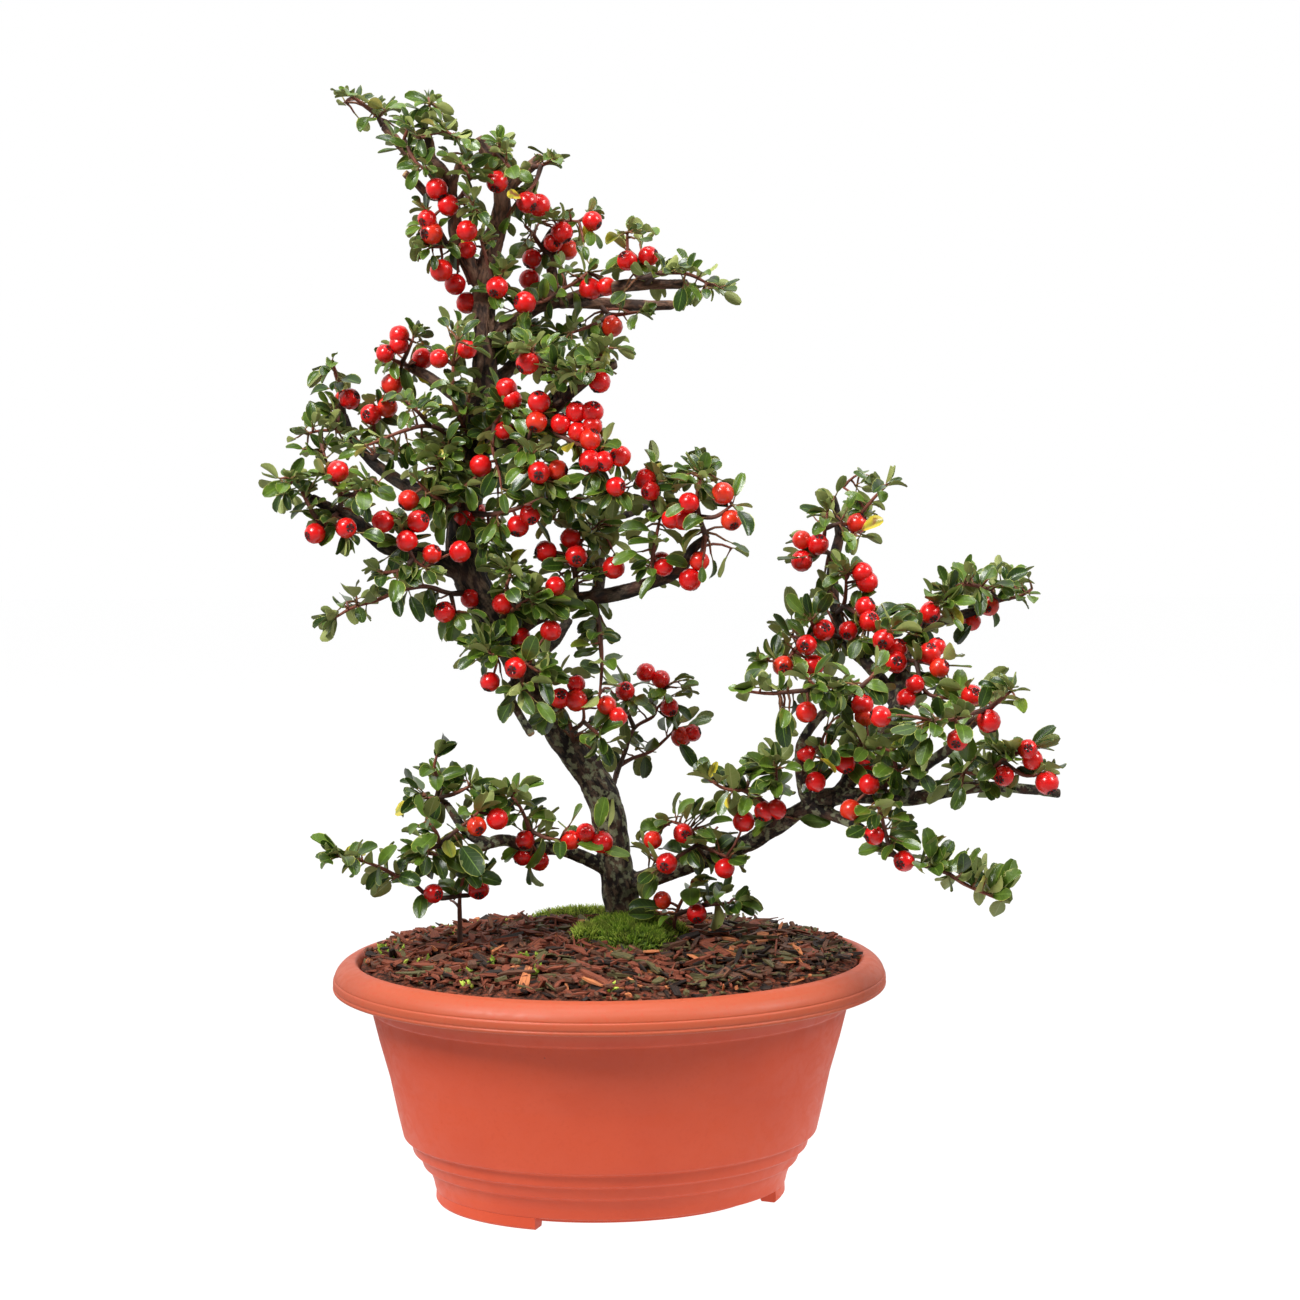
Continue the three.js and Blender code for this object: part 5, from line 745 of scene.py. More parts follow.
      [[-116, 357, 21], [-117, 350, 14], [-119, 343, 10], [-125, 342, 8], [-130, 341, 6]],
      [[-125, 342, 8], [-124, 334, 2], [-122, 327, -2]],
    ],
    "leaves": [
      [-123, 369], [-128, 366], [-120, 372], [-112, 364], [-117, 362], [-119, 356], [-124, 356],
      [-123, 352], [-111, 354], [-108, 351], [-126, 360], [-127, 347], [-122, 345], [-134, 342],
      [-129, 340], [-136, 335], [-129, 334], [-118, 344], [-129, 350], [-114, 332], [-121, 338],
      [-117, 335], [-125, 329],
    ],
    "berries": [[-115, 355]],
  },
  "right_top_leaves": {
    "stems": [
      [[96, 287, 20], [91, 291, 10], [88, 288, 6]],
      [[91, 291, 10], [92, 300, 4], [93, 307, 2]],
      [[98, 297, 21], [103, 301, 14], [108, 307, 10], [113, 313, 8], [118, 318, 7]],
      [[92, 300, 4], [98, 302, 2], [103, 301, 14]],
      [[103, 301, 14], [104, 297, 6]],
    ],
    "leaves": [
      [91, 312], [86, 308], [90, 301], [92, 303], [88, 289], [86, 292], [76, 287], [79, 295], [83, 286],
      [91, 276], [95, 273], [99, 319], [105, 314], [103, 312], [108, 323], [111, 319], [116, 319],
      [120, 320], [113, 311], [105, 309], [104, 304], [102, 295], [111, 296], [112, 302],
    ],
    "berries": [[82, 295], [89, 292], [82, 286], [105, 302]],
  },
  "crown_left_upper": {
    "stems": [
      [[-81, 472, -7], [-80, 478, -9], [-78, 482, -10]],
      [[-81, 472, -7], [-76, 470, -14], [-72, 471, -17], [-68, 469, -18]],
      [[-87, 472, -9], [-82, 468, -15], [-76, 470, -14]],
      [[-88, 462, 5], [-89, 467, -4], [-87, 472, -9]],
      [[-89, 467, -4], [-85, 459, -12], [-81, 455, -16]],
    ],
    "leaves": [
      [-81, 484], [-75, 485], [-74, 479], [-85, 481], [-86, 477], [-81, 476], [-77, 471], [-73, 472],
      [-70, 472], [-67, 470], [-63, 467], [-60, 465], [-87, 473], [-90, 476], [-85, 470], [-97, 467],
      [-96, 462], [-88, 464], [-83, 464], [-80, 459], [-88, 456], [-84, 452], [-77, 454],
    ],
    "berries": [[-75, 446]],
  },
  "pad_front": {
    "stems": [
      [[104, 194, -31], [101, 200, -44], [96, 204, -48], [90, 206, -49]],
      [[101, 200, -44], [108, 206, -50], [114, 206, -52], [121, 204, -53]],
      [[121, 204, -53], [123, 195, -56]],
      [[118, 184, -40], [118, 189, -52], [123, 195, -56], [131, 199, -57]],
      [[118, 189, -52], [111, 187, -54]],
    ],
    "leaves": [
      [84, 206], [85, 198], [92, 206], [95, 203], [92, 200], [98, 213], [95, 211], [103, 211], [111, 215],
      [108, 209], [114, 209], [103, 205], [108, 204], [116, 204], [120, 205], [111, 198], [118, 198],
      [120, 196], [124, 207], [101, 220], [98, 224], [105, 223], [88, 190], [91, 193], [131, 203],
      [126, 202], [132, 196], [136, 191], [116, 189], [118, 184], [120, 191], [113, 194], [124, 187],
      [109, 190],
    ],
    "berries": [
      [84, 203], [88, 191], [109, 196], [100, 200], [109, 219], [108, 224], [103, 179], [111, 190],
    ],
  },
}


class Slot(Enum):
    """Names of material slots; the pieces below don't use them."""

    POT = "pot"
    SOIL = "soil"
    MOSS = "moss"
    BARK = "bark"
    LEAF = "leaf"
    TWIG = "twig"
    BERRY = "berry"


# Numbers and small array rules.


def draw(spray: int, item: np.ndarray | int, use: np.ndarray | int) -> np.ndarray:
    """Seeded draws between 0 and 1 that depend on the spray, the item and the use alone.

    The three numbers are multiplied, added and mixed by shifts, modulo 2 to the 32nd, as in the CAD.

    Args:
        spray: Number of the spray or of another family of draws.
        item: Number of the leaf, berry or chip.
        use: What the draw is for.

    Returns:
        The draws, of the broadcast shape of item and use.
    """
    whole = np.uint64(0xFFFFFFFF)
    values = [np.asarray(value, dtype=np.uint64) for value in (spray, item, use)]
    family, one, what = (value * np.uint64(by) for value, by in zip(values, DRAW_FACTORS, strict=True))
    mixed = (family + one + what) & whole
    for shift, factor in DRAW_ROUNDS:
        mixed = mixed ^ (mixed >> np.uint64(shift))
        mixed = (mixed * np.uint64(factor)) & whole
    return mixed.astype(float) / 2.0**32


def between(span: tuple[float, float], share: np.ndarray) -> np.ndarray:
    """The value at a share of the way along a span."""
    return span[0] + (span[1] - span[0]) * share


def unit(vectors: np.ndarray) -> np.ndarray:
    """The vectors at length one; a vector of no length stays as it is."""
    length = np.linalg.norm(vectors, axis=-1, keepdims=True)
    return vectors / np.maximum(length, 1e-9)


def square_to(vectors: np.ndarray, axis: np.ndarray) -> np.ndarray:
    """The vectors less their part along a unit axis, at length one."""
    return unit(vectors - (vectors * axis).sum(-1, keepdims=True) * axis)


def lattice(points: np.ndarray, seed: int) -> np.ndarray:
    """Smooth noise from 0 to 1: hashed values at whole coordinates, blended by a smooth step.

    Args:
        points: Coordinates in cells, (n, 3).
        seed: Number of the pattern.

    Returns:
        One value per point.
    """
    cell = np.floor(points)
    part = points - cell
    part = part * part * (3 - 2 * part)
    base = (cell.astype(np.int64) + 4096).astype(np.uint64)
    total = np.zeros(len(points))
    for corner in range(8):
        step = np.array([corner & 1, corner >> 1 & 1, corner >> 2 & 1])
        place = base + step.astype(np.uint64)
        key = (place * np.array(LATTICE_FACTORS, dtype=np.uint64)).sum(axis=1) & np.uint64(0xFFFFFFF)
        weight = np.prod(np.where(step, part, 1 - part), axis=1)
        total += weight * draw(seed, key, 1)
    return total


def fractal(points: np.ndarray, cell: float, octaves: int, seed: int) -> np.ndarray:
    """Noise from -1 to 1 that sums octaves, each of half the cell and half the weight of the last."""
    total = np.zeros(len(points))
    weight = 0.0
    for octave in range(octaves):
        share = 0.5**octave
        total += share * (2 * lattice(points / (cell * share), seed + octave) - 1)
        weight += share
    return total / weight


def smooth_path(rows: np.ndarray, step: float) -> np.ndarray:
    """A curve through the rows, resampled evenly between them.

    Each stretch is a Catmull-Rom cubic: 0.5 (2b + (c-a)t + (2a-5b+4c-d)t^2 + (3b-a-3c+d)t^3).

    Args:
        rows: Points, with any further columns such as a radius, (n, k). The first three are a place.
        step: Greatest distance between two samples.

    Returns:
        The sampled rows, the first and the last of them unchanged.
    """
    if len(rows) < 2:
        return rows
    ends = np.concatenate([2 * rows[:1] - rows[1:2], rows, 2 * rows[-1:] - rows[-2:-1]])
    stretches = []
    for index in range(len(rows) - 1):
        a, b, c, d = ends[index : index + 4]
        count = max(1, math.ceil(np.linalg.norm((c - b)[:3]) / step))
        t = (np.arange(count) / count)[:, None]
        bend = 2 * b + (c - a) * t + (2 * a - 5 * b + 4 * c - d) * t**2
        stretches.append(0.5 * (bend + (3 * b - a - 3 * c + d) * t**3))
    return np.concatenate([*stretches, rows[-1:]])


def segment_gaps(points: np.ndarray, start: np.ndarray, end: np.ndarray) -> tuple[np.ndarray, np.ndarray]:
    """Distances from points to straight segments.

    Args:
        points: (n, k).
        start: First ends of the segments, (m, k).
        end: Their last ends, (m, k).

    Returns:
        The distances and the shares along the segments of the nearest places, both (n, m).
    """
    line = end - start
    share = ((points[:, None] - start) * line).sum(-1) / np.maximum((line**2).sum(-1), 1e-9)
    share = np.clip(share, 0, 1)
    near = start + share[..., None] * line
    return np.linalg.norm(points[:, None] - near, axis=-1), share


def skin(rings: np.ndarray) -> tuple[np.ndarray, np.ndarray, np.ndarray]:
    """Closed skins over stacks of rings, with a fan at both ends.

    A ring runs counterclockwise about the way from the first ring to the last, so faces look outwards.

    Args:
        rings: Corners, (stacks, rings, corners of a ring, 3).

    Returns:
        The corners, (n, 3), with the two middles of the ends last in each stack; the quads, ring by
        ring and corner by corner; and the triangles of the two fans.
    """
    stacks, count, sides, _ = rings.shape
    middles = rings[:, [0, -1]].mean(axis=2)
    points = np.concatenate([rings.reshape(stacks, -1, 3), middles], axis=1)
    row = np.arange(count - 1)[:, None] * sides
    here = np.arange(sides)
    after = (here + 1) % sides
    quads = np.stack([row + here, row + after, row + sides + after, row + sides + here], axis=-1)
    top = (count - 1) * sides
    low = np.stack([after, here, np.full(sides, count * sides)], axis=-1)
    high = np.stack([top + here, top + after, np.full(sides, count * sides + 1)], axis=-1)
    shift = np.arange(stacks)[:, None, None] * (count * sides + 2)
    fans = np.concatenate([low, high]) + shift
    return points.reshape(-1, 3), (quads.reshape(1, -1, 4) + shift).reshape(-1, 4), fans.reshape(-1, 3)


def spread(values: np.ndarray, rings: np.ndarray) -> np.ndarray:
    """Values per stack and ring, (stacks, rings, k), as values per corner of the skin."""
    stacks, count, sides, _ = rings.shape
    width = values.shape[-1]
    filled = np.broadcast_to(values[:, :, None], (stacks, count, sides, width)).reshape(stacks, -1, width)
    return np.concatenate([filled, values[:, [0, -1]]], axis=1).reshape(-1, width)


def tube_rings(path: np.ndarray, radii: np.ndarray, sides: int, grain: bool = False) -> tuple:
    """Rings of a round tube along one path.

    Each ring is a circle square to the path. Its first corner is carried along the path by taking away
    the part that points along it, so the tube doesn't twist.

    Args:
        path: Points, (n, 3).
        radii: Radius at each point.
        sides: Corners of a ring.
        grain: Whether the coordinates of the grain are wanted too.

    Returns:
        The rings, (1, n, sides, 3), and the grain of their corners, the way along the path and the two
        ways across it, or None.
    """
    tangent = unit(np.gradient(path, axis=0))
    side = np.array([0.0, 1.0, 0.0]) if abs(tangent[0, 1]) < 0.9 else np.array([1.0, 0.0, 0.0])
    sideways = np.empty_like(path)
    for index, along in enumerate(tangent):
        side = square_to(side, along)
        sideways[index] = side
    across = np.cross(tangent, sideways)
    angle = 2 * np.pi * np.arange(sides) / sides
    wheel = np.stack([np.cos(angle), np.sin(angle)], axis=-1)
    offset = radii[:, None, None] * wheel
    rings = path[:, None] + offset[..., :1] * sideways[:, None] + offset[..., 1:] * across[:, None]
    if not grain:
        return rings[None], None
    way = np.concatenate([[0], np.cumsum(np.linalg.norm(np.diff(path, axis=0), axis=1))])
    ahead = np.broadcast_to(way[:, None, None], (len(path), sides, 1))
    middles = np.stack([[way[0], 0, 0], [way[-1], 0, 0]])
    return rings[None], np.concatenate([np.concatenate([ahead, offset], axis=-1).reshape(-1, 3), middles])


def rod_rings(
    start: np.ndarray, end: np.ndarray, radii: tuple[float, ...], sides: int, bow: float
) -> np.ndarray:
    """Rings of many short rods, each bowed upwards in the middle of its way.

    A point of a rod's middle line is start + t (end - start) + bow 4t(1-t) length times up.

    Args:
        start: First ends, (m, 3).
        end: Last ends, (m, 3).
        radii: Radius at each ring.
        sides: Corners of a ring.
        bow: Height of the bow as a share of the length.

    Returns:
        The rings, (m, rings, sides, 3).
    """
    t = np.linspace(0, 1, len(radii))
    line = end - start
    length = np.linalg.norm(line, axis=1)
    along = unit(line)
    side = square_to(np.where(np.abs(along[:, 2:]) < 0.9, [[0.0, 0.0, 1.0]], [[1.0, 0.0, 0.0]]), along)
    across = np.cross(along, side)
    middle = start[:, None] + t[:, None] * line[:, None]
    middle = middle + (bow * 4 * t * (1 - t) * length[:, None])[..., None] * side[:, None]
    angle = 2 * np.pi * np.arange(sides) / sides
    reach = np.asarray(radii)[:, None]
    one = (reach * np.cos(angle))[None, :, :, None] * side[:, None, None]
    other = (reach * np.sin(angle))[None, :, :, None] * across[:, None, None]
    return middle[:, :, None] + one + other


def eased(profile: np.ndarray, radius: float, steps: int) -> np.ndarray:
    """A profile with every inner corner rounded.

    Each corner gives way to a quadratic Bezier between the places that lie radius before and after it,
    or 45 hundredths of the stretch where that is shorter.

    Args:
        profile: Corners, (n, 2).
        radius: Reach of the rounding.
        steps: Points that each corner becomes.

    Returns:
        The rounded profile.
    """
    corner, before, after = profile[1:-1], profile[:-2], profile[2:]

    def towards(other: np.ndarray) -> np.ndarray:
        """The place from which the rounding of a corner sets out to one side."""
        length = np.linalg.norm(other - corner, axis=1, keepdims=True)
        return corner + (other - corner) * np.minimum(radius / length, 0.45)

    t = np.linspace(0, 1, steps)[None, :, None]
    first, last = towards(before)[:, None], towards(after)[:, None]
    curve = (1 - t) ** 2 * first + 2 * t * (1 - t) * corner[:, None] + t**2 * last
    return np.concatenate([profile[:1], curve.reshape(-1, 2), profile[-1:]])


@dataclass(frozen=True)
class Sight:
    """The sight lines that the reading of the plant is held on, in millimetres and radians.

    A place is held as (u, v, depth): u to the right of the pot's middle and v up, both as seen on the
    upright plane through that middle, and depth away from the eye, behind that plane.
    """

    u: float = 16.77
    v: float = 247.68
    reach: float = 903.0
    pitch: float = math.radians(3.93)
    eye: tuple[float, float, float] = (16.9, -902.0, 300.0)
    turn: float = math.radians(6.0)

    def place(self, held: np.ndarray) -> np.ndarray:
        """Places in the pot's frame of points held on sight lines.

        The sight line through (u, v) leaves the eye; the place is where it lies at the wanted depth, and
        the whole is turned about the pot's middle by the angle that the pot was seen at.

        Args:
            held: Rows of (u, v, depth), (..., 3).

        Returns:
            Places, (..., 3).
        """
        rise = held[..., 1] - self.v
        forward = self.reach * math.cos(self.pitch) + rise * math.sin(self.pitch)
        upward = rise * math.cos(self.pitch) - self.reach * math.sin(self.pitch)
        far = (held[..., 2] - self.eye[1]) / forward
        x = self.eye[0] + far * (held[..., 0] - self.u)
        y = self.eye[1] + far * forward
        return np.stack([*self.turned(x, y), self.eye[2] + far * upward], axis=-1)

    def seen(self, places: np.ndarray) -> np.ndarray:
        """Rows of (u, v, depth) of places in the pot's frame: the inverse of place."""
        cosine, sine = math.cos(self.turn), math.sin(self.turn)
        x = places[..., 0] * cosine - places[..., 1] * sine
        y = places[..., 0] * sine + places[..., 1] * cosine
        slope = (places[..., 2] - self.eye[2]) / (y - self.eye[1])
        flat, steep = math.cos(self.pitch), math.sin(self.pitch)
        rise = self.reach * (slope * flat + steep) / (flat - slope * steep)
        far = (y - self.eye[1]) / (self.reach * flat + rise * steep)
        return np.stack([self.u + (x - self.eye[0]) / far, self.v + rise, y], axis=-1)

    def turned(self, x: np.ndarray | float, y: np.ndarray | float) -> tuple:
        """The plan coordinates turned from the plane of the view to the pot's own frame."""
        cosine, sine = math.cos(self.turn), math.sin(self.turn)
        return x * cosine + y * sine, y * cosine - x * sine


SIGHT = Sight()


@dataclass
class Gathering:
    """Corners, faces and attributes of one piece while it is being made, in millimetres.

    A tone is four numbers for a finish to read at a corner. A grain is a place in the piece's own fibre,
    along it and twice across it, in millimetres.
    """

    points: list[np.ndarray] = field(default_factory=list)
    faces: list[np.ndarray] = field(default_factory=list)
    finishes: list[np.ndarray] = field(default_factory=list)
    tones: list[np.ndarray] = field(default_factory=list)
    grains: list[np.ndarray] = field(default_factory=list)
    count: int = 0

    def add(
        self,
        points: np.ndarray,
        faces: list[np.ndarray],
        finishes: list[np.ndarray | int] | int = 0,
        tone: np.ndarray | tuple[float, ...] = (0.5, 0.5, 0.5, 0.5),
        grain: np.ndarray | None = None,
    ) -> None:
        """Adds a closed shape.

        Args:
            points: Corners, (n, 3).
            faces: Arrays of quads or triangles that count corners from 0.
            finishes: The number of the finish, for all, or for each array of faces, or for each face.
            tone: The tone, for all corners or for each.
            grain: The grain of each corner; its place where it is left out.
        """
        if isinstance(finishes, int):
            finishes = [finishes] * len(faces)
        for array, finish in zip(faces, finishes, strict=True):
            self.faces.append(array + self.count)
            self.finishes.append(np.broadcast_to(np.asarray(finish), len(array)))
        self.points.append(points)
        self.tones.append(np.broadcast_to(np.asarray(tone, dtype=float), (len(points), 4)))
        self.grains.append(points if grain is None else grain)
        self.count += len(points)

    def add_skin(
        self,
        rings: np.ndarray,
        finish: int = 0,
        tone: np.ndarray | tuple[float, ...] = (0.5, 0.5, 0.5, 0.5),
        grain: np.ndarray | None = None,
    ) -> None:
        """Adds the closed skins over stacks of rings.

        Args:
            rings: Corners, (stacks, rings, corners of a ring, 3).
            finish: The number of the finish.
            tone: The tone, for all corners or for each stack and ring.
            grain: The grain of each corner of the skin; its place where it is left out.
        """
        points, quads, fans = skin(rings)
        if isinstance(tone, np.ndarray):
            tone = spread(tone, rings)
        self.add(points, [quads, fans], finish, tone, grain)

    def mesh(self, name: str, shift: Vector) -> bpy.types.Mesh:
        """The mesh in metres, moved to the row frame, with its attributes and smooth faces.

        Args:
            name: Name of the mesh.
            shift: Place of the pot's own origin in the row frame, in metres.

        Returns:
            The mesh.
        """
        mesh = bpy.data.meshes.new(name)
        sizes = np.concatenate([np.full(len(array), array.shape[1]) for array in self.faces])
        corners = np.concatenate([array.ravel() for array in self.faces])
        places = np.concatenate(self.points) * METRES + np.array(shift)
        mesh.vertices.add(len(places))
        mesh.vertices.foreach_set("co", places.astype(np.float32).ravel())
        mesh.loops.add(len(corners))
        mesh.loops.foreach_set("vertex_index", corners.astype(np.int32))
        mesh.polygons.add(len(sizes))
        starts = np.concatenate([[0], np.cumsum(sizes)[:-1]])
        mesh.polygons.foreach_set("loop_start", starts.astype(np.int32))
        mesh.polygons.foreach_set("material_index", np.concatenate(self.finishes).astype(np.int32))
        mesh.polygons.foreach_set("use_smooth", np.ones(len(sizes), dtype=bool))
        mesh.update(calc_edges=True)
        tone = mesh.attributes.new("tone", "FLOAT_COLOR", "POINT")
        tone.data.foreach_set("color", np.concatenate(self.tones).astype(np.float32).ravel())
        grain = mesh.attributes.new("grain", "FLOAT_VECTOR", "POINT")
        grain.data.foreach_set("vector", np.concatenate(self.grains).astype(np.float32).ravel())
        mesh.validate()
        return mesh


def placed(name: str, data: bpy.types.ID) -> bpy.types.Object:
    """A new object of the scene, at the origin, that holds some data."""
    thing = bpy.data.objects.new(name, data)
    bpy.context.scene.collection.objects.link(thing)
    return thing


@dataclass(frozen=True)
class Bench:
    """What every piece needs to be set in the frame: where the pot stands, in metres."""

    shift: Vector

    def set_out(
        self,
        mesh: bpy.types.Mesh,
        finishes: list[bpy.types.Material],
        nodes: tuple[str, ...],
        crease: float | None = None,
    ) -> bpy.types.Object:
        """Makes a piece of a mesh, dresses it and ties it to the frame.

        Args:
            mesh: The mesh, which gives the piece its name.
            finishes: Its materials, in the order of the finish numbers.
            nodes: CAD nodes that it stands for.
            crease: Angle in degrees past which an edge is sharp, or None where none is.

        Returns:
            The piece.
        """
        piece = placed(mesh.name, mesh)
        for finish in finishes:
            mesh.materials.append(finish)
        if crease is not None:
            mesh.set_sharp_from_angle(angle=math.radians(crease))
        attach(piece, BODY)
        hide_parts(*nodes)
        LOG.info("%s: %d faces for %s", piece.name, len(mesh.polygons), ", ".join(nodes))
        return piece


# Finishes.

def paint(red: int, green: int, blue: int) -> tuple[float, float, float, float]:
    """A display colour, 0 to 255 a channel, as a linear colour with full alpha."""
    shares = [value / 255 for value in (red, green, blue)]
    linear = [s / 12.92 if s <= 0.04045 else ((s + 0.055) / 1.055) ** 2.4 for s in shares]
    return (*linear, 1.0)


class Recipe:
    """A node tree in the making, with short calls for the nodes that the finishes share."""

    def __init__(self, name: str) -> None:
        """Starts an empty tree with its shader and its output joined.

        Args:
            name: Name of the material.
        """
        self.material = bpy.data.materials.new(name)
        self.material.use_nodes = True
        self.tree = self.material.node_tree
        self.tree.nodes.clear()
        self.shader = self.tree.nodes.new("ShaderNodeBsdfPrincipled")
        output = self.tree.nodes.new("ShaderNodeOutputMaterial")
        self.tree.links.new(self.shader.outputs["BSDF"], output.inputs["Surface"])
        self.place = self.tree.nodes.new("ShaderNodeTexCoord").outputs["Object"]

    def feed(self, socket: bpy.types.NodeSocket, value: object) -> None:
        """Links a socket to another, or sets its value."""
        if isinstance(value, bpy.types.NodeSocket):
            self.tree.links.new(value, socket)
        else:
            socket.default_value = value

    def node(self, kind: str, settings: dict[str, object] | None = None, **inputs: object) -> bpy.types.Node:
        """Adds a node.

        Args:
            kind: Blender's name of the node type.
            settings: Properties of the node.
            inputs: Values or sockets by the name of the input, with _ for a space.

        Returns:
            The node.
        """
        made = self.tree.nodes.new(kind)
        for name, value in (settings or {}).items():
            setattr(made, name, value)
        for name, value in inputs.items():
            self.feed(made.inputs[name.replace("_", " ")], value)
        return made

    def noise(self, cell: float, detail: float = 3.0, at: object = None, warp: float = 0.0) -> object:
        """The value of a noise whose cells are cell millimetres wide, from about 0.25 to 0.75."""
        place = self.place if at is None else at
        scale = 1 / (cell * METRES) if at is None else 1 / cell
        texture = self.node("ShaderNodeTexNoise", Vector=place, Scale=scale, Detail=detail, Distortion=warp)
        return texture.outputs["Fac"]

    def attribute(self, name: str) -> bpy.types.Node:
        """The node that reads an attribute of the mesh."""
        return self.node("ShaderNodeAttribute", {"attribute_name": name})

    def tones(self) -> list[object]:
        """The four numbers of the tone at each point."""
        held = self.attribute("tone")
        parts = self.node("ShaderNodeSeparateColor", Color=held.outputs["Color"])
        return [*parts.outputs, held.outputs["Alpha"]]

    def stretched(self, x: float, y: float, z: float) -> object:
        """The grain, in millimetres, with its three coordinates multiplied."""
        held = self.attribute("grain").outputs["Vector"]
        product = self.node("ShaderNodeVectorMath", {"operation": "MULTIPLY"})
        self.feed(product.inputs[0], held)
        product.inputs[1].default_value = (x, y, z)
        return product.outputs["Vector"]

    def sum(self, operation: str, one: object, other: object = 0.5, third: object = 0.5) -> object:
        """The result of a Math node on up to three values."""
        made = self.tree.nodes.new("ShaderNodeMath")
        made.operation = operation
        for socket, value in zip(made.inputs, (one, other, third), strict=False):
            self.feed(socket, value)
        return made.outputs[0]

    def share(self, value: object, low: float, high: float, least: float = 0.0, most: float = 1.0) -> object:
        """A value mapped smoothly from the span low to high onto the span least to most."""
        made = self.node(
            "ShaderNodeMapRange", {"interpolation_type": "SMOOTHSTEP"},
            Value=value, From_Min=low, From_Max=high, To_Min=least, To_Max=most,
        )
        return made.outputs[0]

    def mix(self, one: object, other: object, share: object) -> object:
        """Two colours mixed by a share."""
        made = self.tree.nodes.new("ShaderNodeMix")
        made.data_type = "RGBA"
        made.clamp_factor = True
        self.feed(made.inputs[0], share)
        self.feed(made.inputs[6], one)
        self.feed(made.inputs[7], other)
        return made.outputs[2]

    def ramp(self, value: object, stops: list[tuple[float, tuple]], step: bool = False) -> object:
        """Colours read off a ramp by a value."""
        made = self.node("ShaderNodeValToRGB", Fac=value)
        ramp = made.color_ramp
        ramp.interpolation = "CONSTANT" if step else "LINEAR"
        while len(ramp.elements) < len(stops):
            ramp.elements.new(1.0)
        for element, (position, colour) in zip(ramp.elements, stops, strict=True):
            element.position = position
            element.color = colour
        return made.outputs["Color"]

    def relief(self, height: object, depth: float, strength: float = 1.0) -> None:
        """A bump of a depth in millimetres under the shader."""
        bump = self.node("ShaderNodeBump", Height=height, Distance=depth * METRES, Strength=strength)
        self.feed(self.shader.inputs["Normal"], bump.outputs["Normal"])

    def finish(self, **inputs: object) -> bpy.types.Material:
        """Sets inputs of the shader and gives the material."""
        for name, value in inputs.items():
            self.feed(self.shader.inputs[name.replace("_", " ")], value)
        return self.material


@dataclass(frozen=True)
class PotPlastic:
    """Satin terracotta plastic: painted shade and sheen on the lip, faint flow marks, fine specks and a paler
    worn bloom.
    """

    body: tuple = paint(207, 78, 42)
    shade: tuple = paint(196, 68, 35)
    lip_shade_and_sheen: tuple = paint(186, 88, 58)
    bloom: tuple = paint(216, 124, 92)
    speck: tuple = paint(120, 56, 40)
    lip: tuple[float, float] = (0.086, 0.093)

    def make(self) -> bpy.types.Material:
        """Builds the material: broad clouds of colour, the lip's painted shade and sheen, specks, scuffs, and
        a fine bump.

        The lip's painted shade and sheen begins at a span of heights, in metres.
        """
        recipe = Recipe("pot_plastic")
        cloud = recipe.noise(42, 3)
        colour = recipe.mix(self.shade, self.body, recipe.share(cloud, 0.3, 0.7, 0.35, 0.9))
        # Painted shade and sheen: from these heights up, the lip is tinted a duller, paler terracotta that
        # stands in for how the light falls on its top.
        height = recipe.node("ShaderNodeSeparateXYZ", Vector=recipe.place).outputs["Z"]
        colour = recipe.mix(colour, self.lip_shade_and_sheen, recipe.share(height, *self.lip, 0, 0.9))
        mottle = recipe.noise(1.6, 3)
        colour = recipe.mix(colour, self.shade, recipe.share(mottle, 0.5, 0.75, 0, 0.4))
        scuff = recipe.noise(9, 6, warp=1.6)
        colour = recipe.mix(colour, self.bloom, recipe.share(scuff, 0.7, 0.8, 0, 0.3))
        dust = recipe.node("ShaderNodeTexVoronoi", Vector=recipe.place, Scale=130.0).outputs["Distance"]
        rare = recipe.share(recipe.noise(14, 2), 0.55, 0.62)
        speck = recipe.sum("MULTIPLY", recipe.share(dust, 0.06, 0.03), rare)
        colour = recipe.mix(colour, self.speck, recipe.sum("MULTIPLY", speck, 0.6))
        recipe.relief(recipe.noise(0.9, 3), 0.05, 0.5)
        rough = recipe.share(scuff, 0.3, 0.75, 0.42, 0.58)
        return recipe.finish(Base_Color=colour, Roughness=rough, Specular_IOR_Level=0.36)


@dataclass(frozen=True)
class SoilCrumb:
    """Fine dark crumb of rotted bark between the chips."""

    dark: tuple = paint(40, 26, 20)
    red: tuple = paint(140, 72, 50)
    brown: tuple = paint(92, 54, 40)

    def make(self) -> bpy.types.Material:
        """Builds the material: crumbs of three browns by cell, with a coarse bump."""
        recipe = Recipe("soil_crumb")
        crumb = recipe.noise(1.6, 5)
        patch = recipe.noise(14, 2)
        colour = recipe.ramp(crumb, [(0.36, self.dark), (0.5, self.brown), (0.64, self.red)])
        colour = recipe.mix(colour, self.dark, recipe.share(patch, 0.5, 0.7, 0, 0.6))
        recipe.relief(recipe.noise(1.1, 5), 0.9, 1.0)
        return recipe.finish(Base_Color=colour, Roughness=0.9, Specular_IOR_Level=0.25)


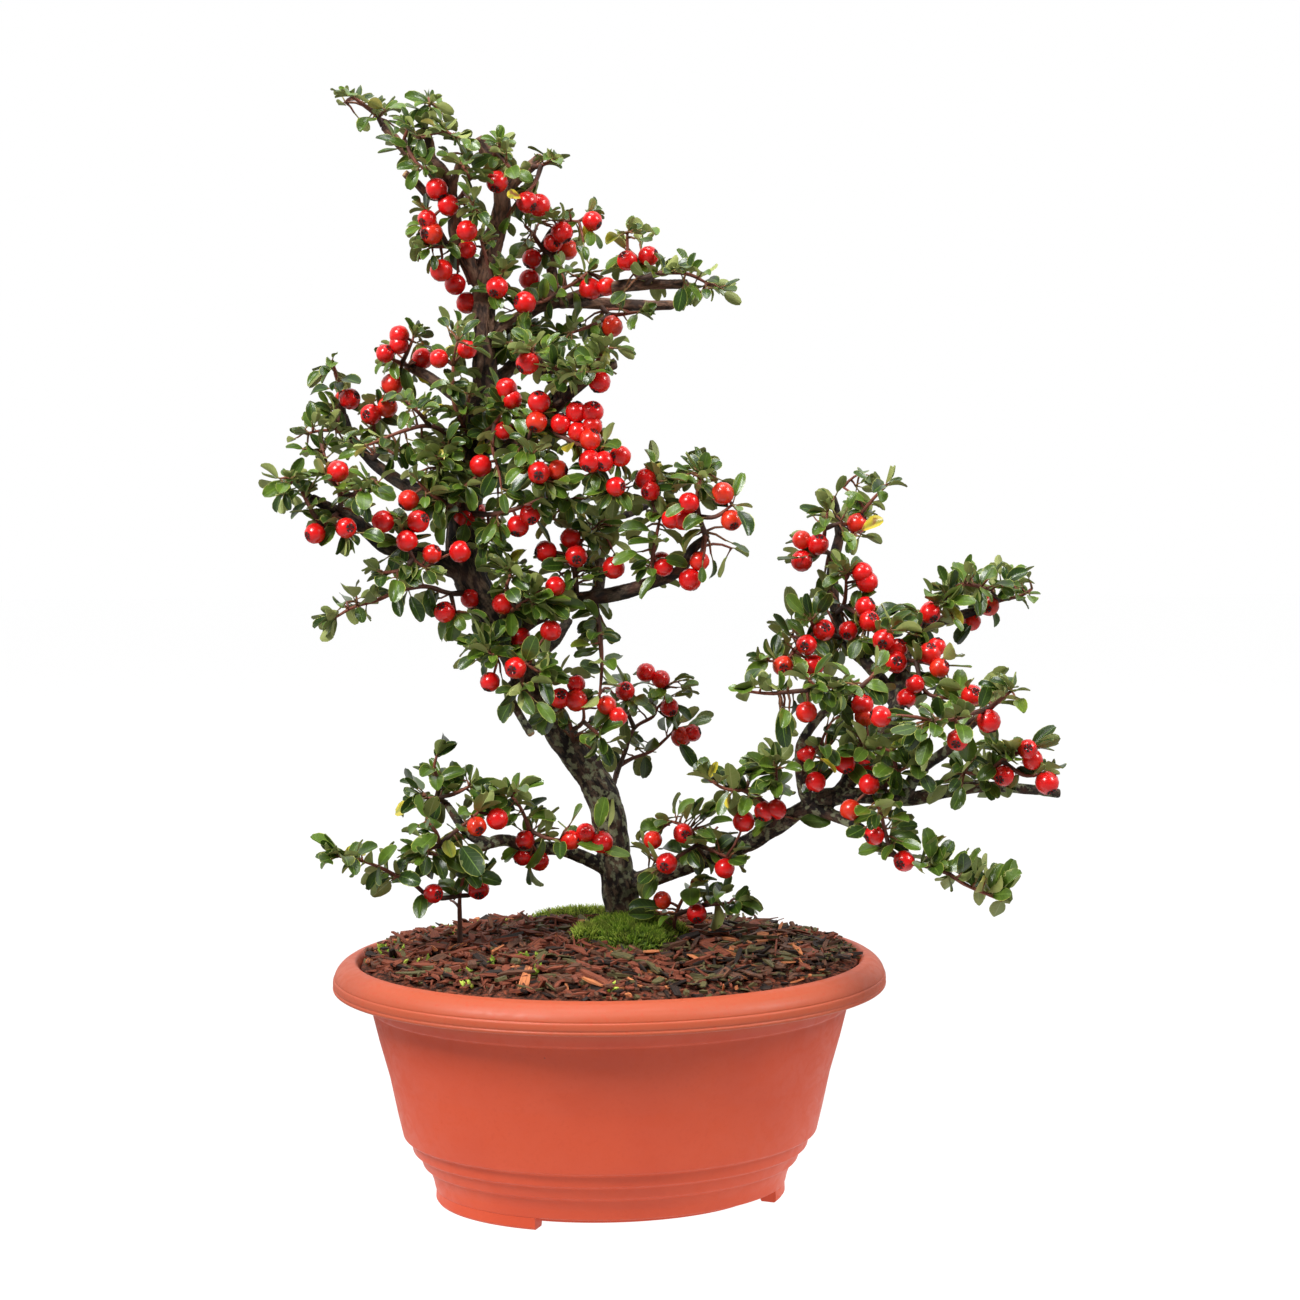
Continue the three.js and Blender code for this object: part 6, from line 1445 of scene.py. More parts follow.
@dataclass(frozen=True)
class BarkChip:
    """Shredded bark: each chip has its own colour from the tone, with fibre along it."""

    dark: tuple = paint(42, 31, 26)
    red: tuple = paint(136, 70, 48)
    brown: tuple = paint(104, 68, 50)
    tan: tuple = paint(206, 126, 78)
    olive: tuple = paint(98, 92, 56)

    def make(self) -> bpy.types.Material:
        """Builds the material: a ramp over the chip's own draw, darkened and lightened along its fibre."""
        recipe = Recipe("bark_chip")
        own, lift, _, _ = recipe.tones()
        stops = [
            (0.0, self.red), (0.2, self.brown), (0.34, self.tan), (0.39, self.red), (0.5, self.brown),
            (0.66, self.dark), (0.83, self.olive),
        ]
        colour = recipe.ramp(own, stops, step=True)
        fibre = recipe.noise(1.0, 4, at=recipe.stretched(0.16, 1.6, 1.6))
        colour = recipe.mix(colour, self.dark, recipe.share(fibre, 0.48, 0.72, 0, 0.75))
        worn = recipe.sum("MULTIPLY", lift, recipe.share(fibre, 0.45, 0.3, 0, 0.4))
        colour = recipe.mix(colour, self.tan, worn)
        recipe.relief(fibre, 0.5, 1.0)
        return recipe.finish(Base_Color=colour, Roughness=0.72, Specular_IOR_Level=0.4)


@dataclass(frozen=True)
class MossGreen:
    """Moss: dark green at the bottom of the pile, lime at the tips, brown where it thins."""

    deep: tuple = paint(50, 64, 18)
    green: tuple = paint(118, 150, 40)
    lime: tuple = paint(204, 220, 92)
    brown: tuple = paint(92, 76, 38)

    def make(self) -> bpy.types.Material:
        """Builds the material: the tone's first number runs up a shoot, its second is the patch's lime."""
        recipe = Recipe("moss_green")
        height, lime, _, _ = recipe.tones()
        colour = recipe.mix(self.deep, self.green, recipe.share(height, 0.1, 0.8))
        patch = recipe.noise(7, 3)
        tip = recipe.sum("MULTIPLY", recipe.share(height, 0.4, 1.0), recipe.share(lime, 0.3, 0.9))
        colour = recipe.mix(colour, self.lime, tip)
        colour = recipe.mix(colour, self.brown, recipe.share(patch, 0.5, 0.64, 0, 0.4))
        recipe.relief(recipe.noise(0.6, 3), 0.4, 1.0)
        return recipe.finish(Base_Color=colour, Roughness=0.8, Specular_IOR_Level=0.3)


@dataclass(frozen=True)
class OldBark:
    """Dark bark with flaking plates, rusty scars and grey-green lichen."""

    deep: tuple = paint(27, 20, 18)
    brown: tuple = paint(108, 90, 72)
    rust: tuple = paint(116, 72, 50)
    young: tuple = paint(136, 96, 74)
    lichen: tuple = paint(146, 150, 118)
    heartwood: tuple = paint(178, 140, 100)

    def make(self) -> bpy.types.Material:
        """Builds the material on the grain: plates stretched along the limb, and lichen by place."""
        recipe = Recipe("old_bark")
        held, slim, cut, crown = recipe.tones()
        plate = recipe.noise(1.0, 6, at=recipe.stretched(0.16, 0.42, 0.42), warp=0.4)
        fine = recipe.noise(1.0, 4, at=recipe.stretched(0.7, 1.3, 1.3))
        colour = recipe.mix(self.deep, self.brown, recipe.share(plate, 0.42, 0.64))
        colour = recipe.mix(colour, self.deep, recipe.share(fine, 0.46, 0.7, 0, 0.8))
        colour = recipe.mix(colour, self.deep, recipe.sum("MULTIPLY", slim, 0.45))
        patch = recipe.noise(11, 4)
        rust = recipe.sum("MULTIPLY", recipe.share(patch, 0.5, 0.66), recipe.share(slim, 0.2, 0.9, 0.2, 0.4))
        colour = recipe.mix(colour, self.rust, rust)
        young = recipe.sum("MULTIPLY", crown, recipe.share(plate, 0.4, 0.6, 0.15, 0.8))
        colour = recipe.mix(colour, self.young, young)
        spot = recipe.noise(3.2, 5)
        lichen = recipe.sum("MULTIPLY", recipe.share(spot, 0.5, 0.6, 0, 0.8), held)
        colour = recipe.mix(colour, self.lichen, lichen)
        colour = recipe.mix(colour, self.heartwood, cut)
        bumps = recipe.sum("ADD", plate, recipe.sum("MULTIPLY", fine, 0.4))
        recipe.relief(bumps, 1.2, 1.0)
        return recipe.finish(Base_Color=colour, Roughness=0.78, Specular_IOR_Level=0.4)


@dataclass(frozen=True)
class TwigBark:
    """Smooth young bark: grey-brown at the old end of a twig, red-brown and green towards its tip."""

    old: tuple = paint(70, 48, 38)
    young: tuple = paint(132, 70, 50)
    green: tuple = paint(132, 128, 70)
    deep: tuple = paint(38, 26, 22)

    def make(self) -> bpy.types.Material:
        """Builds the material: the tone's first number runs along a twig, its second marks a stalk."""
        recipe = Recipe("twig_bark")
        along, stalk, own, _ = recipe.tones()
        colour = recipe.mix(self.old, self.young, recipe.share(along, 0.1, 0.9))
        streak = recipe.noise(1.0, 4, at=recipe.stretched(0.35, 1.5, 1.5))
        colour = recipe.mix(colour, self.deep, recipe.share(streak, 0.5, 0.72, 0, 0.6))
        fresh = recipe.sum("MULTIPLY", stalk, recipe.share(own, 0.1, 0.9, 0.2, 0.8))
        colour = recipe.mix(colour, self.green, fresh)
        recipe.relief(streak, 0.25, 0.8)
        return recipe.finish(Base_Color=colour, Roughness=0.6, Specular_IOR_Level=0.4)


class LeafSide(Enum):
    """The two faces of a leaf."""

    UPPER = "leaf_upper"
    UNDER = "leaf_under"


@dataclass(frozen=True)
class LeafSkin:
    """Leathery leaf: deep glossy green above, paler beneath, with a thin yellowish margin and a midrib.

    The tone holds the way across from 0 at the midrib to 1 at the margin, the way along, the leaf's own
    draw, and how far it has turned yellow.
    """

    side: LeafSide
    deep: tuple
    light: tuple
    margin: tuple
    rib: tuple
    yellow: tuple
    rust: tuple = paint(132, 60, 38)
    rough: float = 0.3

    def make(self) -> bpy.types.Material:
        """Builds the material: the leaf's green by its draw, then side veins, midrib, margin and age."""
        recipe = Recipe(self.side.value)
        across, along, own, age = recipe.tones()
        colour = recipe.mix(self.deep, self.light, recipe.share(own, 0.0, 1.0))
        cloud = recipe.noise(2.8, 2)
        colour = recipe.mix(colour, self.deep, recipe.share(cloud, 0.4, 0.7, 0, 0.35))
        slant = recipe.sum("MULTIPLY", across, 1.6)
        slope = recipe.sum("SUBTRACT", recipe.sum("MULTIPLY", along, 7.0), slant)
        vein = recipe.sum("ABSOLUTE", recipe.sum("SUBTRACT", recipe.sum("FRACT", slope), 0.5))
        vein = recipe.share(vein, 0.1, 0.0, 0, 0.15)
        colour = recipe.mix(colour, self.rib, vein)
        colour = recipe.mix(colour, self.rib, recipe.share(across, 0.07, 0.02, 0, 0.55))
        faded = recipe.sum("MULTIPLY", age, recipe.share(across, 0.0, 0.7, 0.4, 1))
        colour = recipe.mix(colour, self.yellow, faded)
        blotch = recipe.share(recipe.noise(3.5, 3), 0.5, 0.62)
        colour = recipe.mix(colour, self.rust, recipe.sum("MULTIPLY", recipe.share(age, 0.75, 1.0), blotch))
        colour = recipe.mix(colour, self.margin, recipe.share(across, 0.9, 0.985, 0, 0.75))
        recipe.relief(recipe.sum("ADD", vein, recipe.noise(0.8, 2)), 0.12, 0.5)
        return recipe.finish(Base_Color=colour, Roughness=self.rough, Specular_IOR_Level=0.55)


def leaf_skins() -> list[bpy.types.Material]:
    """The two finishes of the leaves, upper side first."""
    upper = LeafSkin(
        LeafSide.UPPER, deep=paint(38, 62, 17), light=paint(92, 120, 34), margin=paint(190, 194, 88),
        rib=paint(130, 164, 66), yellow=paint(226, 204, 60),
    )
    under = LeafSkin(
        LeafSide.UNDER, deep=paint(112, 126, 60), light=paint(158, 166, 92), margin=paint(176, 180, 110),
        rib=paint(172, 178, 122), yellow=paint(206, 186, 92), rough=0.6,
    )
    return [upper.make(), under.make()]


@dataclass(frozen=True)
class BerrySkin:
    """Glossy scarlet skin, deeper towards the calyx and orange where the sun missed it."""

    scarlet: tuple = paint(232, 20, 20)
    deep: tuple = paint(188, 10, 14)
    orange: tuple = paint(232, 66, 30)

    def make(self) -> bpy.types.Material:
        """Builds the material: the tone's first number runs from the stalk to the calyx."""
        recipe = Recipe("berry_skin")
        along, own, _, _ = recipe.tones()
        colour = recipe.mix(self.scarlet, self.orange, recipe.share(own, 0.6, 1.0, 0, 0.7))
        cloud = recipe.noise(4.5, 2)
        colour = recipe.mix(colour, self.deep, recipe.share(cloud, 0.45, 0.7, 0, 0.45))
        colour = recipe.mix(colour, self.deep, recipe.share(along, 0.62, 0.86, 0, 0.7))
        dots = recipe.node("ShaderNodeTexVoronoi", Vector=recipe.place, Scale=900.0).outputs["Distance"]
        colour = recipe.mix(colour, self.orange, recipe.share(dots, 0.2, 0.08, 0, 0.3))
        recipe.relief(recipe.noise(1.4, 2), 0.06, 0.5)
        return recipe.finish(
            Base_Color=colour, Roughness=0.27, Specular_IOR_Level=0.5, Coat_Weight=0.35, Coat_Roughness=0.12
        )


@dataclass(frozen=True)
class SepalHusk:
    """Dry sepals of the calyx star, near black with rusty edges."""

    dark: tuple = paint(34, 20, 19)
    rust: tuple = paint(112, 40, 34)

    def make(self) -> bpy.types.Material:
        """Builds the material: blotches of rust on near black, dull."""
        recipe = Recipe("sepal_husk")
        colour = recipe.mix(self.dark, self.rust, recipe.share(recipe.noise(0.9, 3), 0.5, 0.7))
        recipe.relief(recipe.noise(0.5, 2), 0.1, 0.8)
        return recipe.finish(Base_Color=colour, Roughness=0.75)


# Sub-assemblies.


@dataclass
class Pot:
    """Oval plastic pot: a rolled lip, a flared wall, three stepped rings, a skirt and two long feet.

    Every level is an oval whose half width across is always step less than its half length. A profile is
    rows of (half length, height), and a foot spans two angles in degrees.
    """

    step: float = 24.5
    sides: int = 216
    easing: float = 0.9
    easing_steps: int = 5
    outside: tuple = (
        (67, 1), (68.5, 5), (76.5, 5), (77.5, 9.5), (79.5, 14.8), (81.8, 15.6), (83.7, 21.2), (86.2, 22),
        (87.1, 27.4), (90.2, 28.6), (92.6, 39), (95.9, 55), (100.3, 71), (103.6, 84.6), (104.3, 84.9),
        (107.5, 92.6), (108.8, 93.2), (118.6, 93), (119.7, 93.4), (120, 94.4), (119.5, 95), (119.9, 95.7),
        (119.7, 98), (119.1, 98.4), (119.2, 99), (118.4, 100.9), (116.6, 103), (113.6, 104.9), (110.3, 105.5),
    )
    inside: tuple = ((108.7, 103.6), (104.6, 92), (93, 54), (84.2, 26), (66, 4.5))
    feet: tuple = ((155, 242), (-25, 62))
    foot_section: tuple = ((69.5, 5.6), (76.2, 5.6), (76.4, 1.0), (75.7, 0.0), (70.0, 0.0), (69.5, 0.8))
    foot_steps: int = 40
    hole_at: float = 34.0
    hole_radius: float = 6.5
    hole_sides: int = 32
    hole_heights: tuple[float, float] = (-2.0, 12.0)

    def oval(self, half: np.ndarray, z: np.ndarray, angle: np.ndarray) -> np.ndarray:
        """Places (half cos, (half - step) sin, z) on ovals, by broadcasting."""
        places = (half * np.cos(angle), (half - self.step) * np.sin(angle), z)
        return np.stack(np.broadcast_arrays(*places), axis=-1)

    def build(self, bench: Bench, finish: bpy.types.Material) -> None:
        """Turns the eased profile round the ovals, adds the feet, and drills the floor.

        Args:
            bench: Where the pot stands.
            finish: Its plastic.
        """
        profile = eased(np.array(self.outside + self.inside), self.easing, self.easing_steps)
        angle = 2 * np.pi * np.arange(self.sides) / self.sides
        wall = Gathering()
        wall.add_skin(self.oval(profile[:, :1], profile[:, 1:], angle)[None])
        section = np.array(self.foot_section)
        for start, end in self.feet:
            sweep = np.radians(np.linspace(start, end, self.foot_steps))[:, None]
            wall.add_skin(self.oval(section[:, 0], section[:, 1], sweep)[None])
        mesh = self.drilled(wall.mesh("pot_shell", bench.shift), bench)
        bench.set_out(mesh, [finish], ("pot",), crease=35)

    def drilled(self, mesh: bpy.types.Mesh, bench: Bench) -> bpy.types.Mesh:
        """The mesh less two upright cylinders through the floor."""
        cutters = Gathering()
        for end in (-1, 1):
            path = np.array([[end * self.hole_at, 0, height] for height in self.hole_heights])
            rings, _ = tube_rings(path, np.full(2, self.hole_radius), self.hole_sides)
            cutters.add_skin(rings)
        drill = placed("drill", cutters.mesh("drill", bench.shift))
        blank = placed("blank", mesh)
        cut = blank.modifiers.new("holes", "BOOLEAN")
        cut.operation = "DIFFERENCE"
        cut.solver = "EXACT"
        cut.use_self = True
        cut.object = drill
        result = finished_mesh(blank, mesh.name)
        bpy.data.objects.remove(drill)
        return result


def finished_mesh(blank: bpy.types.Object, name: str) -> bpy.types.Mesh:
    """The mesh of an object with its modifiers applied; the object itself is taken away."""
    graph = bpy.context.evaluated_depsgraph_get()
    result = bpy.data.meshes.new_from_object(blank.evaluated_get(graph))
    bpy.data.objects.remove(blank)
    result.name = name
    return result


@dataclass
class Soil:
    """Bed of shredded bark: a low mound that fills the pot, under a litter of chips."""

    pot: Pot
    edge: float = 103.0
    rise: float = 9.0
    rounding: float = 0.6
    floor: float = 5.0
    gap: float = 0.45
    rings: int = 46
    chips: int = 2900
    bare: tuple = (9.0, -1.0, 19.0, 25.0)
    chip_length: tuple[float, float] = (4, 11.5)
    chip_width: tuple[float, float] = (0.7, 4.8)
    chip_thickness: tuple[float, float] = (0.5, 1.8)
    chip_lift: tuple[float, float] = (0.0, 3.4)
    sprouts: int = 120
    sprouts_together: int = 5
    sprout_height: tuple[float, float] = (2.0, 4.6)
    seed: int = 920
    bump_seed: int = 931

    def half(self) -> float:
        """Half length of the bed at the rim."""
        return self.pot.inside[0][0] - self.gap

    def height(self, x: np.ndarray, y: np.ndarray) -> np.ndarray:
        """Height of the mound: edge + rise (1 - r^2)^rounding, r being 1 at the rim."""
        out = (x / self.half()) ** 2 + (y / (self.half() - self.pot.step)) ** 2
        return self.edge + self.rise * (1 - np.minimum(out, 1)) ** self.rounding

    def build(self, bench: Bench, finishes: list[bpy.types.Material]) -> None:
        """Lays the mound, its chips and its seedlings.

        Args:
            bench: Where the pot stands.
            finishes: Crumb, chip and seedling.
        """
        bed = Gathering()
        angle = 2 * np.pi * np.arange(self.pot.sides) / self.pot.sides
        lower = np.array(self.pot.inside)[::-1]
        lower = np.stack([lower[:, 0] - self.gap - 0.1, np.maximum(lower[:, 1], self.floor)], axis=-1)
        lower[-1] = (self.half() - 0.4, self.edge - 0.8)
        side = self.pot.oval(lower[:, :1], lower[:, 1:], angle)
        share = np.linspace(0.992, 0.01, self.rings)[:, None]
        half = self.half()
        x, y = share * half * np.cos(angle), share * (half - self.pot.step) * np.sin(angle)
        top = np.stack([x, y, self.height(x, y)], axis=-1)
        bumps = fractal(top.reshape(-1, 3), 7.0, 4, self.bump_seed).reshape(x.shape)
        top[..., 2] += 2.2 * bumps * np.minimum(1, (1 - share) * 12) - 0.3
        bed.add_skin(np.concatenate([side, top])[None])
        self.litter(bed)
        self.sprout(bed)
        mesh = bed.mesh("soil_bed", bench.shift)
        bench.set_out(mesh, finishes, ("soil",), crease=40)

    def litter(self, bed: Gathering) -> None:
        """Scatters the chips: flat slivers of three rings of four corners, wider in the middle.

        None lies in the bare oval, which is held as its middle and its half sizes. They are redder at the
        left and at the back.
        """
        item = np.arange(self.chips)
        half = self.half()
        angle = 2 * np.pi * draw(self.seed, item, 1)
        share = np.sqrt(draw(self.seed, item, 2)) * 0.985
        x, y = share * half * np.cos(angle), share * (half - self.pot.step) * np.sin(angle)
        clear = np.hypot((x - self.bare[0]) / self.bare[2], (y - self.bare[1]) / self.bare[3]) > 1
        item, share, x, y = item[clear], share[clear], x[clear], y[clear]

        def chance(use: int) -> np.ndarray:
            """A draw for each chip."""
            return draw(self.seed, item, use)

        length = between(self.chip_length, chance(3)) * np.where(chance(4) > 0.84, 1.9, 1.0)
        length *= np.clip((1 - share) * 9, 0.55, 1)
        width = between(self.chip_width, chance(5) ** 2.6)
        thick = between(self.chip_thickness, chance(6))
        yaw = np.pi * (0.25 + 0.9 * chance(7)) + np.where(chance(8) > 0.55, 2, 0)
        pitch = 0.6 * (chance(9) - 0.5) * np.where(chance(10) > 0.88, 2.6, 1.0)
        along = np.stack([np.cos(yaw) * np.cos(pitch), np.sin(yaw) * np.cos(pitch), np.sin(pitch)], axis=-1)
        roll = 0.9 * (chance(11) - 0.5)
        flat = np.stack([-np.sin(yaw), np.cos(yaw), np.zeros_like(yaw)], axis=-1)
        up = np.cross(along, flat)
        side = flat * np.cos(roll)[:, None] + up * np.sin(roll)[:, None]
        up = np.cross(along, side)
        lift = between(self.chip_lift, chance(12) ** 1.4)
        middle = np.stack([x, y, self.height(x, y) + lift], axis=-1)
        stations = np.array([-0.5, 0.08, 0.5])
        ends = between((0.15, 0.9), chance(13)), between((0.1, 0.8), chance(14))
        reach = np.stack([ends[0], np.ones_like(x), ends[1]], axis=-1)
        bow = (0.12 * (chance(15) - 0.5) * length)[:, None] * (1 - 4 * stations**2)
        across = np.array([1, -1, -1, 1]) * 0.5
        raised = np.array([1, 1, -1, -1]) * 0.5
        rings = middle[:, None, None] + (stations * length[:, None])[..., None, None] * along[:, None, None]
        rings = rings + ((reach * width[:, None])[..., None] * across)[..., None] * side[:, None, None]
        heights = bow[..., None] + (np.sqrt(reach) * thick[:, None])[..., None] * raised
        rings = rings + heights[..., None] * up[:, None, None]
        reddest = np.clip(0.75 - (x - 0.4 * y) / 90, 0, 1)
        own = chance(16) ** between((0.5, 1.7), reddest)
        tone = np.stack([own, chance(17), chance(18), chance(19)], axis=-1)
        tone = np.broadcast_to(tone[:, None], (len(item), 3, 4))
        points, quads, fans = skin(rings)
        corners = len(points) // len(item)
        grain = np.outer(stations, [1.0, 0.0, 0.0]) * length[:, None, None]
        grain = spread(grain, rings) + np.repeat(60.0 * chance(16)[:, None], corners, axis=0)
        relative = points - np.repeat(middle, corners, axis=0)
        grain[:, 1] += (relative * np.repeat(side, corners, axis=0)).sum(-1)
        grain[:, 2] += (relative * np.repeat(up, corners, axis=0)).sum(-1)
        bed.add(points, [quads, fans], 1, spread(tone, rings), grain)

    def sprout(self, bed: Gathering) -> None:
        """Plants tiny seedlings in little groups, most of them at the left and at the front."""
        item = np.arange(self.sprouts)
        group = item // self.sprouts_together
        angle = between((2.2, 4.9), draw(self.seed, group, 31))
        share = np.sqrt(between((0.25, 0.9), draw(self.seed, group, 32)))
        x, y = share * self.half() * np.cos(angle), share * (self.half() - self.pot.step) * np.sin(angle)
        jitter = np.stack([draw(self.seed, item, use) - 0.5 for use in (33, 34, 35, 36)], axis=-1)
        x, y = x + 5 * jitter[:, 0], y + 5 * jitter[:, 1]
        root = np.stack([x, y, self.height(x, y) + 0.5], axis=-1)
        lean = np.stack([2.6 * jitter[:, 2], 2.6 * jitter[:, 3], np.ones(len(item))], axis=-1)
        tip = root + unit(lean) * between(self.sprout_height, draw(self.seed, item, 37))[:, None]
        lime = draw(self.seed, item, 38)[:, None]
        tone = np.stack(np.broadcast_arrays([0.5, 0.7, 0.9, 1.0], lime, 0.0, 0.0), axis=-1)
        bed.add_skin(rod_rings(root, tip, (0.25, 0.75, 0.65, 0.1), 4, 0.12), 2, tone)


@dataclass
class Moss:
    """A cushion of moss on the soil: a rounded heap under a pile of tiny shoots."""

    soil: Soil
    node: str
    piece: str
    x: float
    y: float
    half_x: float
    half_y: float
    height: float
    shoots: int
    lime: float
    seed: int
    sides: int = 56
    rings: int = 16
    shoot_length: tuple[float, float] = (1.6, 4.0)
    shoot_radii: tuple[float, float] = (0.46, 0.05)

    def build(self, bench: Bench, finish: bpy.types.Material) -> None:
        """Heaps up the cushion and plants its shoots.

        The heap stands height sqrt(1 - r^2) over the soil, r being 1 at its ragged edge.

        Args:
            bench: Where the pot stands.
            finish: The moss.
        """
        patch = Gathering()
        angle = 2 * np.pi * np.arange(self.sides) / self.sides
        share = np.concatenate([[1.0, 1.0], np.sqrt(np.linspace(0.97, 0.0004, self.rings))])[:, None]
        heap = self.at(share, angle)
        rise = self.height * np.sqrt(np.clip(1 - share**2, 0, 1)) + np.zeros_like(angle)
        heap[..., 2] += rise + 0.8 * fractal(heap.reshape(-1, 3), 3.5, 3, self.seed).reshape(rise.shape)
        heap[0, :, 2] -= 3.0
        patch.add_skin(heap[None], tone=(0.3, self.lime - 0.2, 0, 0))
        self.plant(patch)
        mesh = patch.mesh(self.piece, bench.shift)
        bench.set_out(mesh, [finish], (self.node,))

    def at(self, share: np.ndarray, angle: np.ndarray) -> np.ndarray:
        """Places on the soil at a share of the way to the ragged edge, in the direction of an angle."""
        ragged = 1 + 0.11 * np.sin(3 * angle + self.seed) + 0.07 * np.sin(7 * angle + 2 * self.seed)
        x = self.x + share * ragged * self.half_x * np.cos(angle)
        y = self.y + share * ragged * self.half_y * np.sin(angle)
        return np.stack([x, y, self.soil.height(x, y)], axis=-1)

    def plant(self, patch: Gathering) -> None:
        """Plants the shoots: slim cones of two rings of three corners that lean outwards."""
        item = np.arange(self.shoots)
        angle = 2 * np.pi * draw(self.seed, item, 1)
        share = np.sqrt(draw(self.seed, item, 2)) * 1.08
        root = self.at(share, angle)
        root[:, 2] += self.height * np.sqrt(np.clip(1 - share**2, 0, 1)) - 0.5
        out = share * 0.8
        lean = np.stack([np.cos(angle) * out, np.sin(angle) * out, np.ones(len(item))], axis=-1)
        jitter = np.stack([draw(self.seed, item, use) - 0.5 for use in (3, 4, 5)], axis=-1)
        length = between(self.shoot_length, draw(self.seed, item, 6))
        tip = root + unit(lean + 1.1 * jitter) * length[:, None]
        lime = np.clip(self.lime + 0.9 * (draw(self.seed, item, 7) - 0.5), 0, 1)
        tone = np.stack(np.broadcast_arrays(np.array([0.15, 1.0]), lime[:, None], 0.0, 0.0), axis=-1)
        patch.add_skin(rod_rings(root, tip, self.shoot_radii, 3, 0.1), tone=tone)


@dataclass
class Wood:
    """Trunk and limbs: tapering limbs flowed into one body, with bark raised from it.

    The root is the rows of (x, y, z, radius) under the trunk's first row, down in the soil.
    """

    root: tuple = ((9, 10, 86, 6.0), (9, 9, 97, 8.4))
    step: float = 3.0
    sides: int = 20
    voxel: float = 0.95
    batch: int = 6000
    knot_seed: int = 941
    plate_seed: int = 951
    crack_seed: int = 961
    knob_seed: int = 971
    cut_ends: tuple = (
        "crown_cut_left", "crown_cut_middle", "crown_fork", "cut_hanging", "crown_right_back", "right_top",
    )

    def __post_init__(self) -> None:
        """Places the limbs and notes the straight stretches between their rows."""
        self.rows = {}
        for name, held in LIMBS.items():
            read = np.array(held, dtype=float)
            rows = np.concatenate([SIGHT.place(read[:, :3]), read[:, 3:]], axis=1)
            if name == "trunk":
                rows = np.concatenate([np.array(self.root), rows])
            self.rows[name] = rows
        starts = np.concatenate([rows[:-1] for rows in self.rows.values()])
        ends = np.concatenate([rows[1:] for rows in self.rows.values()])
        self.starts, self.ends = starts, ends

    def bark_gap(self, points: np.ndarray) -> np.ndarray:
        """Distance from points to the bark, negative inside the wood."""
        apart, share = segment_gaps(points, self.starts[:, :3], self.ends[:, :3])
        radius = self.starts[:, 3] + share * (self.ends[:, 3] - self.starts[:, 3])
        return (apart - radius).min(axis=1)

    def build(self, bench: Bench, finish: bpy.types.Material) -> None:
        """Flows the limbs into one closed skin, then raises the bark.

        Args:
            bench: Where the pot stands.
            finish: The bark.
        """
        bare = Gathering()
        for rows in self.rows.values():
            path = smooth_path(rows, self.step)
            knots = fractal(path[:, :3], 11.0, 2, self.knot_seed)
            rings, _ = tube_rings(path[:, :3], path[:, 3] * (1 + 0.12 * knots), self.sides)
            bare.add_skin(rings)
        blank = placed("limbs", bare.mesh("limbs", bench.shift))
        flow = blank.modifiers.new("flow", "REMESH")
        flow.mode = "VOXEL"
        flow.voxel_size = self.voxel * METRES
        mesh = finished_mesh(blank, "trunk_bark")
        self.raise_bark(mesh, bench)
        bench.set_out(mesh, [finish], ("trunk",))

    def raise_bark(self, mesh: bpy.types.Mesh, bench: Bench) -> None:
        """Moves each corner along its normal by plates, cracks and knobs, and notes its tone and grain.

        The height of the bark is a share of the limb's radius, and a sawn end stays flat. The tone holds
        the lichen, how slim the limb is, the sawn ends, and how far up in the crown the corner lies.

        Args:
            mesh: The smooth wood, which is changed.
            bench: Where the pot stands.
        """
        count = len(mesh.vertices)
        places = np.empty(count * 3, dtype=np.float32)
        mesh.vertices.foreach_get("co", places)
        normals = np.empty(count * 3, dtype=np.float32)
        mesh.vertices.foreach_get("normal", normals)
        points = (places.reshape(-1, 3) - np.array(bench.shift)) / METRES
        normals = normals.reshape(-1, 3)
        grain, radius = self.read_fibre(points)
        cut = np.zeros(count)
        for name in self.cut_ends:
            rows = self.rows[name]
            axis = unit(rows[-1, :3] - rows[-2, :3])
            from_end = points - rows[-1, :3]
            flat = (from_end @ axis > -0.5) & (np.linalg.norm(from_end, axis=1) < 1.5 * rows[-1, 3])
            cut = np.maximum(cut, flat * 1.0)
        plates = fractal(grain * [0.3, 1.0, 1.0], 3.4, 3, self.plate_seed)
        open_bark = np.abs(fractal(grain * [0.35, 1.0, 1.0], 5.2, 2, self.crack_seed))
        cracks = -np.clip(0.16 - open_bark, 0, 1) / 0.16
        knobs = fractal(points, 9.0, 2, self.knob_seed)
        depth = np.clip(radius * 0.2, 0.3, 1.3)
        height = depth * (0.75 * plates + 0.55 * cracks + 0.3) + 0.09 * radius * knobs
        moved = points + normals * (height * (1 - cut))[:, None]
        moved = moved * METRES + np.array(bench.shift)
        mesh.vertices.foreach_set("co", moved.astype(np.float32).ravel())
        height = points[:, 2]
        lichen = np.clip(1.2 - np.abs(height - 165) / 75, 0, 1) + np.clip((230 - height) / 200, 0, 0.4)
        lichen = lichen * np.clip((height - 105) / 45, 0.12, 1)
        slim = np.clip((6.5 - radius) / 4.5, 0, 1)
        crown = np.clip((height - 320) / 90, 0, 1)
        tone = np.stack([np.clip(lichen, 0, 1), slim, cut, crown], axis=-1)
        held = mesh.attributes.new("tone", "FLOAT_COLOR", "POINT")
        held.data.foreach_set("color", tone.astype(np.float32).ravel())
        fibre = mesh.attributes.new("grain", "FLOAT_VECTOR", "POINT")
        fibre.data.foreach_set("vector", grain.astype(np.float32).ravel())
        mesh.polygons.foreach_set("use_smooth", np.ones(len(mesh.polygons), dtype=bool))
        mesh.update()

